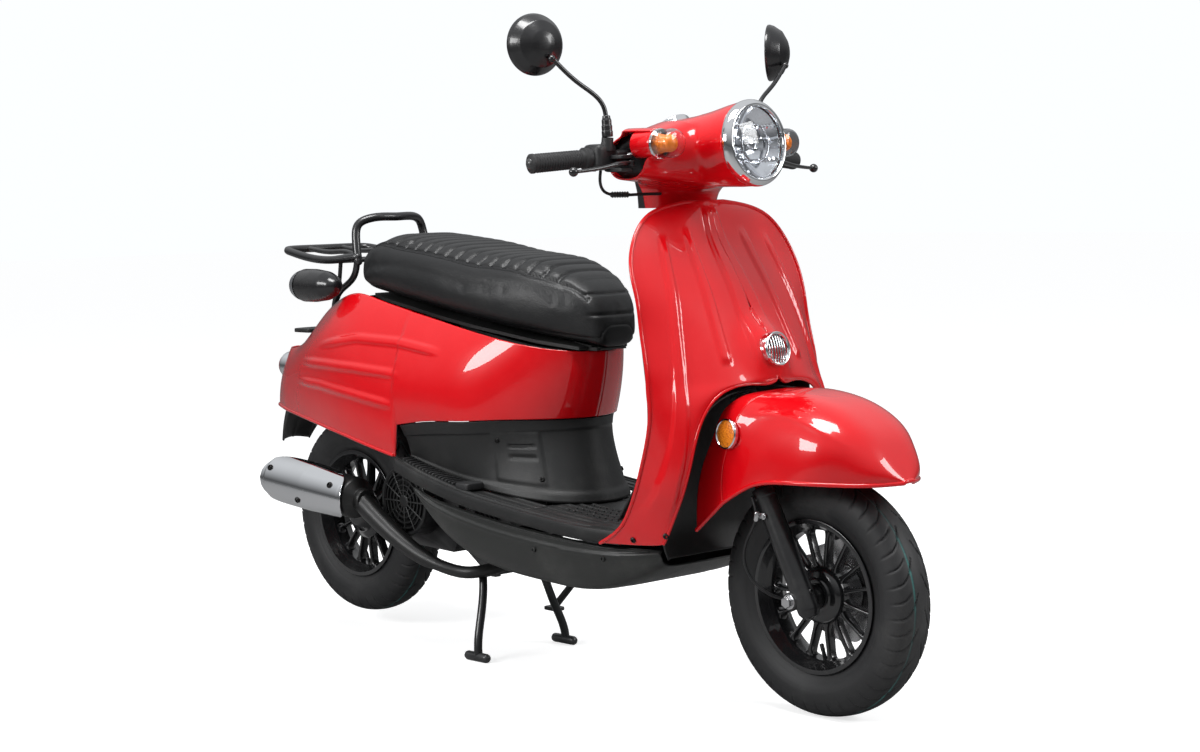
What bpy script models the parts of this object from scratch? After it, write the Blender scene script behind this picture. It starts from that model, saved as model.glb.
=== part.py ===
"""A retro-style moped scooter: underbone frame, telescopic fork, swinging engine unit, ten-inch wheels.

Metres, +Z up, +X forwards, +Y to the rider's left. The drawing frame has the wheels at the x values below;
everything is moved by ORIGIN_SHIFT at the end, so that the origin is under the middle of the scooter.
"""

import math

import bmesh
import bpy
from mathutils import Matrix, Vector

# Driving dimensions
TYRE_RADIUS = 0.217          # 3.50-10 tyre
TYRE_HALF_WIDTH = 0.046
RIM_RADIUS = 0.1375
FRONT_AXLE_X = 0.6915
REAR_AXLE_X = -0.637
REAR_AXLE_Z = 0.2475         # lifted clear of the floor by the centre stand
RAKE = math.radians(27.0)
STEER_BASE_X = 0.675         # the steering axis at the height of the front axle
LEG_BASE_X = 0.712           # the fork legs' line at the same height
LEG_Y = 0.077
SPOKES = 15
PANEL = 0.003                # wall of the plastic panels
GAP = 0.0005                 # clearance between pieces that meet
TAIL_X = -0.936
NOSE_X = FRONT_AXLE_X + TYRE_RADIUS
ORIGIN_SHIFT = -(NOSE_X + TAIL_X) / 2

UP = Vector((-math.sin(RAKE), 0, math.cos(RAKE)))     # along the steering axis
FORE = Vector((math.cos(RAKE), 0, math.sin(RAKE)))    # square to it, forwards
SIDE = Vector((0, 1, 0))
FRONT_AXLE = Vector((FRONT_AXLE_X, 0, TYRE_RADIUS))
REAR_AXLE = Vector((REAR_AXLE_X, 0, REAR_AXLE_Z))

# The bar's straight outer part runs back a little towards the grip's end.
BAR_END = Vector((0.319, 0.3465, 0.989))
BAR_SWEEP = Vector((0.2237, -1.0, 0.07)).normalized()  # from the left end inwards


def on_axis(t, fore=0.0, y=0.0):
    """A point at distance t up the steering axis, set forwards and sideways from it."""
    base = Vector((STEER_BASE_X, 0, TYRE_RADIUS))
    return base + UP * t + FORE * fore + SIDE * y


def on_leg(s, y=LEG_Y):
    """A point on a fork leg's line, at distance s up it from the axle's height."""
    return Vector((LEG_BASE_X, y, TYRE_RADIUS)) + UP * s


def on_bar(y):
    """A point on the bar's straight part, on the left for y > 0 and on the right for y < 0."""
    p = BAR_END + BAR_SWEEP * ((BAR_END.y - abs(y)) / -BAR_SWEEP.y)
    return Vector((p.x, y, p.z))


# ------------------------------------------------------------------ scene and materials

for old in list(bpy.data.objects):
    bpy.data.objects.remove(old, do_unlink=True)
scooter = bpy.data.collections.new("moped_scooter")
bpy.context.scene.collection.children.link(scooter)


def material(name, colour, roughness, metallic=0.0):
    made = bpy.data.materials.new(name)
    made.use_nodes = True
    shader = made.node_tree.nodes["Principled BSDF"]
    shader.inputs["Base Color"].default_value = (*colour, 1.0)
    shader.inputs["Roughness"].default_value = roughness
    shader.inputs["Metallic"].default_value = metallic
    return made


RED = material("red_paint", (0.75, 0.0, 0.01), 0.15)
BLACK_PLASTIC = material("black_plastic", (0.03, 0.03, 0.03), 0.6)
BLACK_STEEL = material("black_steel", (0.012, 0.012, 0.014), 0.3, 0.3)
VINYL = material("seat_vinyl", (0.02, 0.02, 0.022), 0.5)
RUBBER = material("rubber", (0.016, 0.016, 0.017), 0.75)
CHROME = material("chrome", (0.85, 0.86, 0.88), 0.06, 1.0)
ALLOY = material("cast_alloy", (0.5, 0.5, 0.5), 0.45, 0.9)
STEEL = material("bright_steel", (0.6, 0.6, 0.6), 0.3, 1.0)
LENS = material("clear_lens", (0.8, 0.85, 0.88), 0.05)
AMBER = material("amber_lens", (0.9, 0.25, 0.01), 0.1)
RED_LENS = material("red_lens", (0.6, 0.0, 0.01), 0.1)


# ------------------------------------------------------------------ modelling helpers


def finish(obj, mat, home=scooter):
    """Puts an object in its collection with its material, shaded smooth with sharp edges."""
    for held in list(obj.users_collection):
        held.objects.unlink(obj)
    home.objects.link(obj)
    if mat is not None:
        obj.data.materials.clear()
        obj.data.materials.append(mat)
    if obj.type == "MESH":
        obj.data.shade_smooth()
        obj.data.set_sharp_from_angle(angle=math.radians(40))
    return obj


def from_bmesh(name, bm, mat):
    mesh = bpy.data.meshes.new(name)
    bm.to_mesh(mesh)
    bm.free()
    return finish(bpy.data.objects.new(name, mesh), mat)


def cylinder(name, start, end, radius, mat, sides=16, end_radius=None):
    """A cylinder or cone between two points."""
    start, end = Vector(start), Vector(end)
    way = end - start
    turn = way.to_track_quat("Z", "Y").to_matrix().to_4x4()
    bm = bmesh.new()
    bmesh.ops.create_cone(
        bm, cap_ends=True, segments=sides, radius1=radius,
        radius2=radius if end_radius is None else end_radius, depth=way.length,
        matrix=Matrix.Translation((start + end) / 2) @ turn)
    return from_bmesh(name, bm, mat)


def block(name, centre, size, mat, turn=None, bevel=0.0):
    """A box, turned by a 3x3 matrix, with its edges bevelled."""
    bm = bmesh.new()
    place = Matrix.Translation(centre) @ (turn.to_4x4() if turn else Matrix.Identity(4))
    bmesh.ops.create_cube(bm, size=1.0, matrix=place @ Matrix.Diagonal((*size, 1.0)))
    if bevel:
        bmesh.ops.bevel(bm, geom=list(bm.edges), offset=bevel, segments=1, affect="EDGES")
    return from_bmesh(name, bm, mat)


def ball(name, centre, radius, mat, sides=8):
    bm = bmesh.new()
    bmesh.ops.create_uvsphere(bm, u_segments=sides, v_segments=sides // 2 + 1, radius=radius,
                              matrix=Matrix.Translation(centre))
    return from_bmesh(name, bm, mat)


def baked(obj, name=None):
    """The object's evaluated shape as a plain mesh object; the original is removed."""
    bpy.context.view_layer.update()
    graph = bpy.context.evaluated_depsgraph_get()
    mesh = bpy.data.meshes.new_from_object(obj.evaluated_get(graph))
    mesh.transform(obj.matrix_world)
    made = bpy.data.objects.new(name or obj.name, mesh)
    mat = obj.data.materials[0] if obj.data.materials else None
    held = obj.name
    bpy.data.objects.remove(obj, do_unlink=True)
    made.name = name or held
    bm = bmesh.new()
    bm.from_mesh(mesh)
    bmesh.ops.remove_doubles(bm, verts=bm.verts, dist=1e-5)
    bm.to_mesh(mesh)
    bm.free()
    return finish(made, mat)


def smooth_path(points, per_span=4):
    """Points of a Catmull-Rom curve through the given ones."""
    p = [Vector(q) for q in points]
    p = [p[0] * 2 - p[1], *p, p[-1] * 2 - p[-2]]
    out = []
    for i in range(1, len(p) - 2):
        for k in range(per_span):
            t = k / per_span
            out.append(0.5 * ((2 * p[i]) + (p[i + 1] - p[i - 1]) * t
                              + (2 * p[i - 1] - 5 * p[i] + 4 * p[i + 1] - p[i + 2]) * t * t
                              + (3 * p[i] - p[i - 1] - 3 * p[i + 1] + p[i + 2]) * t ** 3))
    return out + [p[-2]]


def tube(name, points, radius, mat, resolution=2):
    """A round tube along points, as a curve with a bevel and filled caps."""
    curve = bpy.data.curves.new(name, "CURVE")
    curve.dimensions = "3D"
    curve.bevel_depth = radius
    curve.bevel_resolution = resolution
    curve.use_fill_caps = True
    spline = curve.splines.new("POLY")
    spline.points.add(len(points) - 1)
    for point, place in zip(spline.points, points):
        point.co = (*place, 1.0)
    return finish(bpy.data.objects.new(name, curve), mat)


def turned(name, profile, centre, direction, mat, steps=24, closed=True):
    """A profile of (along, radius) pairs turned about an axis with a Screw modifier.

    The object's local +Z is the axis, and a profile point sits at local (radius, 0, along).
    """
    bm = bmesh.new()
    corners = [bm.verts.new((radius, 0, along)) for along, radius in profile]
    for one, two in zip(corners, corners[1:] + corners[:1] if closed else corners[1:]):
        bm.edges.new((one, two))
    obj = from_bmesh(name, bm, mat)
    turn = Vector(direction).to_track_quat("Z", "Y")
    obj.matrix_world = Matrix.Translation(centre) @ turn.to_matrix().to_4x4()
    screw = obj.modifiers.new("turn", "SCREW")
    screw.steps = screw.render_steps = steps
    screw.use_merge_vertices = True
    screw.merge_threshold = 1e-5
    screw.use_normal_calculate = True
    made = baked(obj)
    outwards(made)
    return made


def outwards(obj):
    bm = bmesh.new()
    bm.from_mesh(obj.data)
    bmesh.ops.recalc_face_normals(bm, faces=bm.faces)
    bm.to_mesh(obj.data)
    bm.free()


def sheet(name, rows, mat, outward, thickness=PANEL):
    """An open surface through rows of points, with a wall grown on the side away from outward."""
    bm = bmesh.new()
    made = [[bm.verts.new(p) for p in row] for row in rows]
    for upper, lower in zip(made, made[1:]):
        for k in range(len(upper) - 1):
            bm.faces.new((upper[k], upper[k + 1], lower[k + 1], lower[k]))
    return walled(name, bm, mat, outward, thickness)


def walled(name, bm, mat, outward, thickness):
    """Closes doubled points, faces the surface outwards and gives it a wall with Solidify."""
    bmesh.ops.remove_doubles(bm, verts=bm.verts, dist=1e-5)
    bmesh.ops.dissolve_degenerate(bm, edges=bm.edges, dist=1e-6)
    bmesh.ops.recalc_face_normals(bm, faces=bm.faces)
    facing = sum(f.normal.dot(Vector(outward)) * f.calc_area() for f in bm.faces)
    if facing < 0:
        bmesh.ops.reverse_faces(bm, faces=bm.faces)
    obj = from_bmesh(name, bm, mat)
    wall = obj.modifiers.new("wall", "SOLIDIFY")
    wall.thickness = thickness
    wall.offset = -1
    return baked(obj)


def half_rows(stations, bulge, count=6):
    """Rows of points from each station's edge point to its inner point; bulge(q) is 0 at q = 1 and 1 at 0."""
    rows = []
    for edge, inner in stations:
        edge, inner = Vector(edge), Vector(inner)
        row = []
        for k in range(count + 1):
            q = 1 - k / count
            x = edge.x + (inner.x - edge.x) * bulge(q)
            y = inner.y + (edge.y - inner.y) * q
            z = edge.z + (inner.z - edge.z) * (1 - q)
            row.append(Vector((x, y, z)))
        rows.append(row)
    return rows


def mirror_sheet(name, rows, mat, outward, thickness=PANEL):
    """Rows for the left side and their mirror images, joined where they meet at the centre line."""
    bm = bmesh.new()
    for sign in (1, -1):
        made = [[bm.verts.new((p[0], sign * p[1], p[2])) for p in row] for row in rows]
        for upper, lower in zip(made, made[1:]):
            for k in range(len(upper) - 1):
                bm.faces.new((upper[k], upper[k + 1], lower[k + 1], lower[k]))
    return walled(name, bm, mat, outward, thickness)


def skinned(name, rings, mat):
    """A closed solid through rings of points, with flat ends."""
    bm = bmesh.new()
    made = [[bm.verts.new(p) for p in ring] for ring in rings]
    count = len(made[0])
    for one, two in zip(made, made[1:]):
        for k in range(count):
            bm.faces.new((one[k], one[(k + 1) % count], two[(k + 1) % count], two[k]))
    bm.faces.new(made[0])
    bm.faces.new(list(reversed(made[-1])))
    bmesh.ops.recalc_face_normals(bm, faces=bm.faces)
    return from_bmesh(name, bm, mat)


def oval(centre, first, second, count=16, power=1.0):
    """A ring of points around a centre with two half-axes; a power under 1 squares its corners."""
    ring = []
    for k in range(count):
        a = 2 * math.pi * (k + 0.5) / count
        c, s = math.cos(a), math.sin(a)
        c = math.copysign(abs(c) ** power, c)
        s = math.copysign(abs(s) ** power, s)
        ring.append(Vector(centre) + Vector(first) * c + Vector(second) * s)
    return ring


def prism(name, outline, low, high, mat):
    """A flat outline in the XZ plane, carried along Y from low to high."""
    curve = bpy.data.curves.new(name, "CURVE")
    curve.dimensions = "2D"
    curve.fill_mode = "BOTH"
    curve.extrude = (high - low) / 2
    spline = curve.splines.new("POLY")
    spline.use_cyclic_u = True
    spline.points.add(len(outline) - 1)
    for point, (x, z) in zip(spline.points, outline):
        point.co = (x, z, 0.0, 1.0)
    obj = finish(bpy.data.objects.new(name, curve), mat)
    obj.matrix_world = Matrix(((1, 0, 0, 0), (0, 0, -1, (low + high) / 2), (0, 1, 0, 0), (0, 0, 0, 1)))
    return baked(obj)


def joined(name, pieces, mat):
    """Several overlapping closed meshes made one body with Boolean unions."""
    first = baked(pieces[0], name)
    for other in pieces[1:]:
        first = worked(first, baked(other), "UNION")
    first.data.materials.clear()
    first.data.materials.append(mat)
    return first


def worked(obj, other, operation):
    """obj after one Boolean with other, which is removed."""
    tool = obj.modifiers.new("tool", "BOOLEAN")
    tool.operation = operation
    tool.solver = "EXACT"
    tool.object = other
    made = baked(obj)
    bpy.data.objects.remove(other, do_unlink=True)
    return made


def cut(obj, *others):
    for other in others:
        obj = worked(obj, baked(other), "DIFFERENCE")
    return obj


def side(point, sign):
    """A point given for the left side, put on the left (sign 1) or the right (sign -1)."""
    return Vector((point[0], sign * point[1], point[2]))


SIDES = (("right", -1), ("left", 1))


# ------------------------------------------------------------------ frame

ENGINE_PIVOT = Vector((-0.14, 0, 0.225))
SHOCK_TOP = Vector((-0.610, 0.114, 0.572))
SHOCK_FOOT = Vector((-0.665, 0.114, 0.350))
HEAD_LOW, HEAD_HIGH = 0.385, 0.690
SIDE_STAND = Vector((-0.045, 0.150, 0.235))

frame = [cylinder("main_frame", on_axis(HEAD_LOW), on_axis(HEAD_HIGH), 0.026, BLACK_STEEL, 20)]
frame.append(tube("down_tube", smooth_path([on_axis(0.47), (0.405, 0, 0.55), (0.335, 0, 0.42),
                                            (0.275, 0, 0.30), (0.215, 0, 0.262)], 3), 0.020, BLACK_STEEL))
frame.append(cylinder("front_cross", (0.22, -0.108, 0.262), (0.22, 0.108, 0.262), 0.0135, BLACK_STEEL))
frame.append(cylinder("middle_cross", (-0.066, -0.108, 0.262), (-0.066, 0.108, 0.262), 0.0135, BLACK_STEEL))
frame.append(cylinder("rear_cross", (-0.652, -0.082, 0.610), (-0.652, 0.082, 0.610), 0.010, BLACK_STEEL))
for label, sign in SIDES:
    rail = [side(p, sign) for p in ((0.225, 0.10, 0.262), (-0.09, 0.10, 0.262), (-0.155, 0.104, 0.30),
                                    (-0.22, 0.11, 0.45), (-0.34, 0.114, 0.597), (-0.53, 0.102, 0.622),
                                    (-0.69, 0.072, 0.606))]
    frame.append(tube("rail", smooth_path(rail, 2), 0.013, BLACK_STEEL, 1))
    frame.append(prism("hanger", [(-0.052, 0.268), (-0.052, 0.252), (-0.132, 0.211), (-0.15, 0.211),
                                  (-0.154, 0.228), (-0.115, 0.268)],
                       *sorted((sign * 0.067, sign * 0.073)), BLACK_STEEL))
frame.append(prism("shock_plate", [(-0.640, 0.622), (-0.580, 0.626), (-0.598, 0.5652), (-0.622, 0.5652)],
                   0.0890, 0.1000, BLACK_STEEL))
frame.append(cylinder("shock_stud", SHOCK_TOP - SIDE * 0.018, SHOCK_TOP + SIDE * 0.012,
                      0.006, BLACK_STEEL, 12))
frame.append(cylinder("stand_arm", (-0.045, 0.100, 0.255), (-0.045, 0.139, 0.243), 0.009, BLACK_STEEL, 10))
frame.append(cylinder("stand_stud", SIDE_STAND - SIDE * 0.016, SIDE_STAND + SIDE * 0.010, 0.005,
                      BLACK_STEEL, 10))
frame.append(block("stand_tab", (-0.045, 0.137, 0.238), (0.024, 0.006, 0.030), BLACK_STEEL))
main_frame = joined("main_frame", frame, BLACK_STEEL)
main_frame = cut(main_frame,
                 cylinder("bore", on_axis(HEAD_LOW - 0.02), on_axis(HEAD_HIGH + 0.02), 0.0165, None, 20),
                 cylinder("bolt_hole", ENGINE_PIVOT - SIDE * 0.09, ENGINE_PIVOT + SIDE * 0.09, 0.0070, None,
                          12))


# ------------------------------------------------------------------ wheels and tyres

RIM_PROFILE = [(-0.0385, 0.1375), (-0.0345, 0.1375), (-0.0345, 0.1285), (-0.012, 0.124), (0.012, 0.124),
               (0.0345, 0.1285), (0.0345, 0.1375), (0.0385, 0.1375), (0.0385, 0.130), (0.014, 0.1160),
               (-0.014, 0.1160), (-0.0385, 0.130)]
TREAD = [(0.0335, 0.1292), (0.0335, 0.1390), (TYRE_HALF_WIDTH, 0.168), (0.0440, 0.192), (0.033, 0.2090),
         (0.015, 0.2160)]
CARCASS = [(0.024, 0.2045), (0.036, 0.186), (0.027, 0.142), (0.0245, 0.1292)]


def rim(name, centre, hub_profile, sides=28):
    """A cast wheel: the rim's ring, fifteen thin spokes and a bored hub, made one body."""
    wheel = turned(name, RIM_PROFILE, centre, (0, 1, 0), BLACK_STEEL, sides)
    spokes = bmesh.new()
    for k in range(SPOKES):
        spin = Matrix.Rotation(2 * math.pi * (k + 0.5) / SPOKES, 4, "Y")
        place = Matrix.Translation(centre) @ spin @ Matrix.Translation((0, 0, 0.0745))
        bmesh.ops.create_cube(spokes, size=1.0, matrix=place @ Matrix.Diagonal((0.0085, 0.019, 0.089, 1)))
    wheel = worked(wheel, from_bmesh("spokes", spokes, None), "UNION")
    hub = turned("hub", hub_profile, centre, (0, 1, 0), BLACK_STEEL, 20)
    return worked(wheel, hub, "UNION")


def tyre(name, centre, steps=28):
    outer = TREAD + [(0.0, TYRE_RADIUS)] + [(-y, r) for y, r in reversed(TREAD)]
    inner = [(-y, r) for y, r in reversed(CARCASS)] + [(0.0, 0.2085)] + CARCASS
    return turned(name, outer + inner, centre, (0, 1, 0), RUBBER, steps)


front_rim = rim("front_rim", FRONT_AXLE, [(-0.030, 0.0072), (-0.030, 0.046), (-0.012, 0.052), (0.012, 0.052),
                                          (0.045, 0.050), (0.045, 0.0072)])
front_tyre = tyre("front_tyre", FRONT_AXLE)
rear_rim = rim("rear_rim", REAR_AXLE, [(-0.040, 0.0092), (-0.040, 0.030), (-0.012, 0.058), (0.034, 0.058),
                                       (0.040, 0.050), (0.040, 0.0092)])
rear_tyre = tyre("rear_tyre", REAR_AXLE)
front_disc = turned("front_disc", [(0.0455, 0.030), (0.0455, 0.094), (0.0495, 0.094), (0.0495, 0.030)],
                    FRONT_AXLE, (0, 1, 0), STEEL, 28)


# ------------------------------------------------------------------ fork, steering and brake

front_axle = turned("front_axle", [(-0.110, 0), (-0.110, 0.010), (-0.098, 0.010), (-0.098, 0.0062),
                                   (0.098, 0.0062), (0.098, 0.011), (0.110, 0.011), (0.110, 0)],
                    FRONT_AXLE, (0, 1, 0), STEEL, 12, closed=False)
for label, sign in SIDES:
    y = sign * LEG_Y
    leg = turned(f"fork_leg_{label}", [(0.024, 0), (0.024, 0.0146), (0.215, 0.0146), (0.215, 0.0205),
                                       (-0.018, 0.0205), (-0.030, 0.013), (-0.030, 0)],
                 on_leg(0, y), UP, BLACK_STEEL, 16, closed=False)
    lug = cylinder("lug", (FRONT_AXLE_X, sign * 0.0570, TYRE_RADIUS),
                   (FRONT_AXLE_X, sign * 0.0970, TYRE_RADIUS),
                   0.0165, BLACK_STEEL)
    pieces = [leg, lug]
    if sign < 0:
        pieces.append(cylinder("speedo_drive", (FRONT_AXLE_X, -0.031, TYRE_RADIUS),
                               (FRONT_AXLE_X, -0.060, TYRE_RADIUS), 0.024, BLACK_STEEL, 20))
        pieces.append(cylinder("cable_boss", (FRONT_AXLE_X, -0.048, TYRE_RADIUS - 0.012),
                               (FRONT_AXLE_X - 0.030, -0.050, TYRE_RADIUS - 0.006), 0.009, BLACK_STEEL, 10))
    leg = joined(f"fork_leg_{label}", pieces, BLACK_STEEL)
    cut(leg, cylinder("axle_hole", FRONT_AXLE + SIDE * sign * 0.02, FRONT_AXLE + SIDE * sign * 0.12, 0.0070,
                      None, 16))

SPEEDO_RUN = [(0.6572, -0.0506, 0.2120), (0.648, -0.062, 0.2125), (0.630, -0.082, 0.222),
              (0.602, -0.098, 0.250),
              (0.592, -0.104, 0.285), (0.604, -0.104, 0.325), (0.622, -0.1035, 0.362),
              (0.612, -0.1020, 0.395)]
speedo_cable = baked(tube("speedo_cable", smooth_path(SPEEDO_RUN, 2), 0.0028, RUBBER, 1))

caliper = joined("brake_caliper", [block("brake_caliper", (0.6135, 0.049, 0.246), (0.040, 0.040, 0.050),
                                         ALLOY, bevel=0.005),
                                   block("arm", (0.650, 0.061, 0.246), (0.044, 0.014, 0.020), ALLOY)], ALLOY)
cut(caliper, turned("slot", [(0.0440, 0), (0.0440, 0.0965), (0.0512, 0.0965), (0.0512, 0)], FRONT_AXLE,
                    (0, 1, 0), None, 28, closed=False))

YOKE = 0.305
turn = Matrix((FORE, SIDE, UP)).transposed()
fork = [cylinder("steering_fork", on_axis(0.300), on_axis(0.790), 0.0145, BLACK_STEEL, 20),
        block("yoke", on_axis(YOKE, 0.0165), (0.078, 0.196, 0.024), BLACK_STEEL, turn, 0.004)]
for label, sign in SIDES:
    fork.append(cylinder("stanchion", on_leg(0.088, sign * LEG_Y), on_leg(0.333, sign * LEG_Y), 0.0135,
                         BLACK_STEEL, 14))
steering_fork = joined("steering_fork", fork, BLACK_STEEL)

bar = []
for label, sign in SIDES:
    run = smooth_path([on_axis(0.785, 0.0, -sign * 0.004), on_axis(0.797, 0.010, sign * 0.032),
                       Vector((0.348, sign * 0.070, 0.975)), on_bar(sign * 0.120), on_bar(sign * 0.165)], 3)
    run.append(on_bar(sign * 0.343))
    bar.append(tube("bar", run, 0.0110, BLACK_STEEL, 1))
collar = turned("collar", [(0.750, 0.0150), (0.750, 0.0190), (0.7885, 0.0190), (0.7885, 0.0150)],
                on_axis(0), UP, BLACK_STEEL, 20)
handlebar = joined("handlebar", [bar[0], bar[1]], BLACK_STEEL)
handlebar = cut(handlebar, cylinder("stem_space", on_axis(0.70), on_axis(0.7905), 0.0150, None, 20))
handlebar = joined("handlebar", [handlebar, collar], BLACK_STEEL)


# ------------------------------------------------------------------ controls on the bar

LEVER_PIVOT = Vector((0.398, 0.176, 0.987))
MIRROR_HEADS = {  # the middle of each glass's back and the way its glass faces
    "right": (Vector((0.3044, -0.3085, 1.200)), (-0.9744, 0.2250, 0.0)),
    "left": (Vector((0.3000, 0.3162756, 1.200)), (-0.8290, -0.5592, 0.0)),
}
GRIP_PROFILE = [(0.1125, 0), (0.1125, 0.0117), (0.0, 0.0117), (0.0, 0.0200), (0.005, 0.0200), (0.008, 0.0162),
                (0.107, 0.0168), (0.1145, 0.0150), (0.1145, 0)]
for label, sign in SIDES:
    out = (on_bar(sign * 0.30) - on_bar(sign * 0.20)).normalized()
    name = "throttle_grip" if sign < 0 else "grip_left"
    turned(name, GRIP_PROFILE, on_bar(sign * 0.2345), out, RUBBER, 16, closed=False)
    middle = on_bar(sign * 0.205)
    housing = [block("housing", middle, (0.044, 0.052, 0.046), BLACK_PLASTIC, bevel=0.007),
               cylinder("mirror_boss", middle + Vector((0.016, -sign * 0.004, 0.015)),
                        (0.367, sign * 0.201, 1.033),
                        0.0105, BLACK_PLASTIC, 14),
               block("bracket", (0.380, sign * 0.187, 0.987), (0.046, 0.030, 0.024), BLACK_PLASTIC,
                     bevel=0.002)]
    housing = joined(f"switch_housing_{label}", housing, BLACK_PLASTIC)
    button = middle + Vector((-0.022, 0, 0.004))
    lever_space = block("lever_space", (0.420, sign * 0.205, 0.987), (0.076, 0.090, 0.0110), None)
    bore = cylinder("bore", on_bar(sign * 0.10), on_bar(sign * 0.27), 0.0116, None, 20)
    well = cylinder("well", button - Vector((0.01, 0, 0)), button + Vector((0.009, 0, 0)), 0.0056, None, 14)
    housing = cut(housing, bore, lever_space, well)
    name = "starter_button" if sign < 0 else "horn_button"
    cylinder(name, button - Vector((0.004, 0, 0)), button + Vector((0.0045, 0, 0)), 0.0050,
             RED_LENS if sign < 0 else BLACK_PLASTIC, 14)

    pivot = side(LEVER_PIVOT, sign)
    blade = [pivot + Vector((0, 0, 0)), pivot + Vector((0.006, sign * 0.030, -0.001)),
             pivot + Vector((0.004, sign * 0.075, -0.008)), pivot + Vector((0.001, sign * 0.135, -0.014))]
    lever = [cylinder("hub", pivot - Vector((0, 0, 0.0048)), pivot + Vector((0, 0, 0.0048)), 0.0085,
                      BLACK_STEEL, 14)]
    lever.append(tube("blade", smooth_path(blade, 2), 0.0045, BLACK_STEEL, 1))
    lever.append(ball("tip", blade[-1] + Vector((0, sign * 0.003, 0)), 0.0085, BLACK_STEEL))
    joined(f"brake_lever_{label}", lever, BLACK_STEEL)

    stem = [side(p, sign) for p in ((0.365, 0.201, 1.070), (0.361, 0.203, 1.088), (0.350, 0.250, 1.129),
                                    (0.3390, 0.302, 1.1715))]
    stem = [cylinder("boot", (0.3668, sign * 0.201, 1.0346), (0.365, sign * 0.201, 1.073), 0.0100,
                     BLACK_PLASTIC, 14,
                     0.0072),
            tube("arm", smooth_path(stem, 2), 0.0042, BLACK_STEEL, 1),
            ball("joint", side((0.3385, 0.3045, 1.1730), sign), 0.0066, BLACK_STEEL)]
    joined(f"mirror_stem_{label}", stem, BLACK_STEEL)
    turned(f"mirror_head_{label}", [(-0.0300, 0), (-0.0265, 0.020), (-0.0160, 0.042), (0.0, 0.0535),
                                    (0.010, 0.0555),
                                    (0.012, 0.0535), (0.012, 0)],
           *MIRROR_HEADS[label], BLACK_PLASTIC, 20, closed=False)

cable = [Vector((0.351, -0.205, 0.9742)), Vector((0.349, -0.205, 0.958)), Vector((0.343, -0.190, 0.938)),
         Vector((0.345, -0.165, 0.931)), Vector((0.365, -0.120, 0.931)), Vector((0.376, -0.080, 0.931))]
bellows = cylinder("bellows", (0.345, -0.170, 0.9315), (0.356, -0.142, 0.9312), 0.0058, RUBBER, 12)
throttle_cable = joined("throttle_cable", [tube("throttle_cable", smooth_path(cable, 3), 0.0028, RUBBER, 1),
                                           bellows],
                        RUBBER)


# ------------------------------------------------------------------ headlight nacelle

LAMP = Vector((0.5300, 0, 1.0175))
LAMP_WAY = Vector((0.995, 0, 0.0998)).normalized()
INDICATOR = Vector((0.482, 0.150, 1.020))
ARMS = ((0.167, 0.378, 0.046, 0.9945, 0.0375), (0.120, 0.382, 0.060, 0.999, 0.0475),
        (0.060, 0.386, 0.076, 1.004, 0.0590), (0.0, 0.388, 0.080, 1.004, 0.0640))


def nacelle(inset, reach):
    """The nacelle's outer form, or with an inset the space inside it, as one solid."""
    lamp = [(reach, 0), (reach, 0.0772 - inset), (0.0, 0.0772 - inset), (-0.10, 0.0665 - inset),
            (-0.165, 0.052 - inset), (-0.165, 0)]
    cone = turned("cone", lamp, LAMP, LAMP_WAY, RED, 24, closed=False)
    rings = []
    for y, x, depth, z, high in ARMS + tuple((-a[0], *a[1:]) for a in reversed(ARMS[:-1])):
        y += math.copysign(reach, y) if abs(y) > 0.16 else 0
        rings.append(oval((x, y, z), (depth - inset, 0, 0), (0, 0, high - inset), 12, 0.8))
    arms = skinned("arms", rings, RED)
    rings = []
    for z, x, deep, wide in ((0.905 - reach, 0.338, 0.050, 0.081), (0.930, 0.342, 0.052, 0.086),
                             (0.965, 0.350, 0.056, 0.100)):
        rings.append(oval((x, 0, z), (deep - inset, 0, 0), (0, wide - inset, 0), 12, 0.8))
    neck = skinned("neck", rings, RED)
    return joined("nacelle", [cone, arms, neck], RED)


shell = nacelle(0.0, 0.0)
shell = cut(shell, nacelle(PANEL, 0.03))
for label, sign in SIDES:
    at = side(INDICATOR, sign)
    shell = cut(shell, cylinder("seat", (0.38, at.y, at.z), (0.55, at.y, at.z), 0.0270, None, 24))
shell = cut(shell, cylinder("cable_hole", (0.358, -0.140, 0.931), (0.378, -0.07, 0.931), 0.0062, None, 12))
rear = shell.copy()
rear.data = shell.data.copy()
scooter.objects.link(rear)
headlight_cowl = cut(shell, block("behind", (0.1, 0, 1.0), (0.4730, 1.0, 1.0), None))
headlight_cowl.name = "headlight_cowl"
instrument_cover = cut(rear, block("ahead", (0.7, 0, 1.0), (0.7290, 1.0, 1.0), None))
instrument_cover.name = "instrument_cover"
instrument_cover.data.materials.clear()
instrument_cover.data.materials.append(BLACK_PLASTIC)

headlight_rim = turned("headlight_rim", [(0.0006, 0.0665), (0.0006, 0.0775), (0.010, 0.0775), (0.018, 0.0715),
                                         (0.018, 0.0665)], LAMP, LAMP_WAY, CHROME, 28)
headlight_unit = turned("headlight_unit", [(-0.060, 0), (-0.055, 0.026), (-0.030, 0.050), (-0.004, 0.0655),
                                           (0.010, 0.0655), (0.020, 0.048), (0.025, 0.022), (0.026, 0)],
                        LAMP, LAMP_WAY, LENS, 28, closed=False)
for label, sign in SIDES:
    turned(f"front_indicator_{label}", [(-0.085, 0), (-0.085, 0.0262), (0.004, 0.0262), (0.010, 0.020),
                                        (0.012, 0)],
           side(INDICATOR, sign), (1, 0, 0), AMBER, 24, closed=False)


# ------------------------------------------------------------------ front fender

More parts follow.
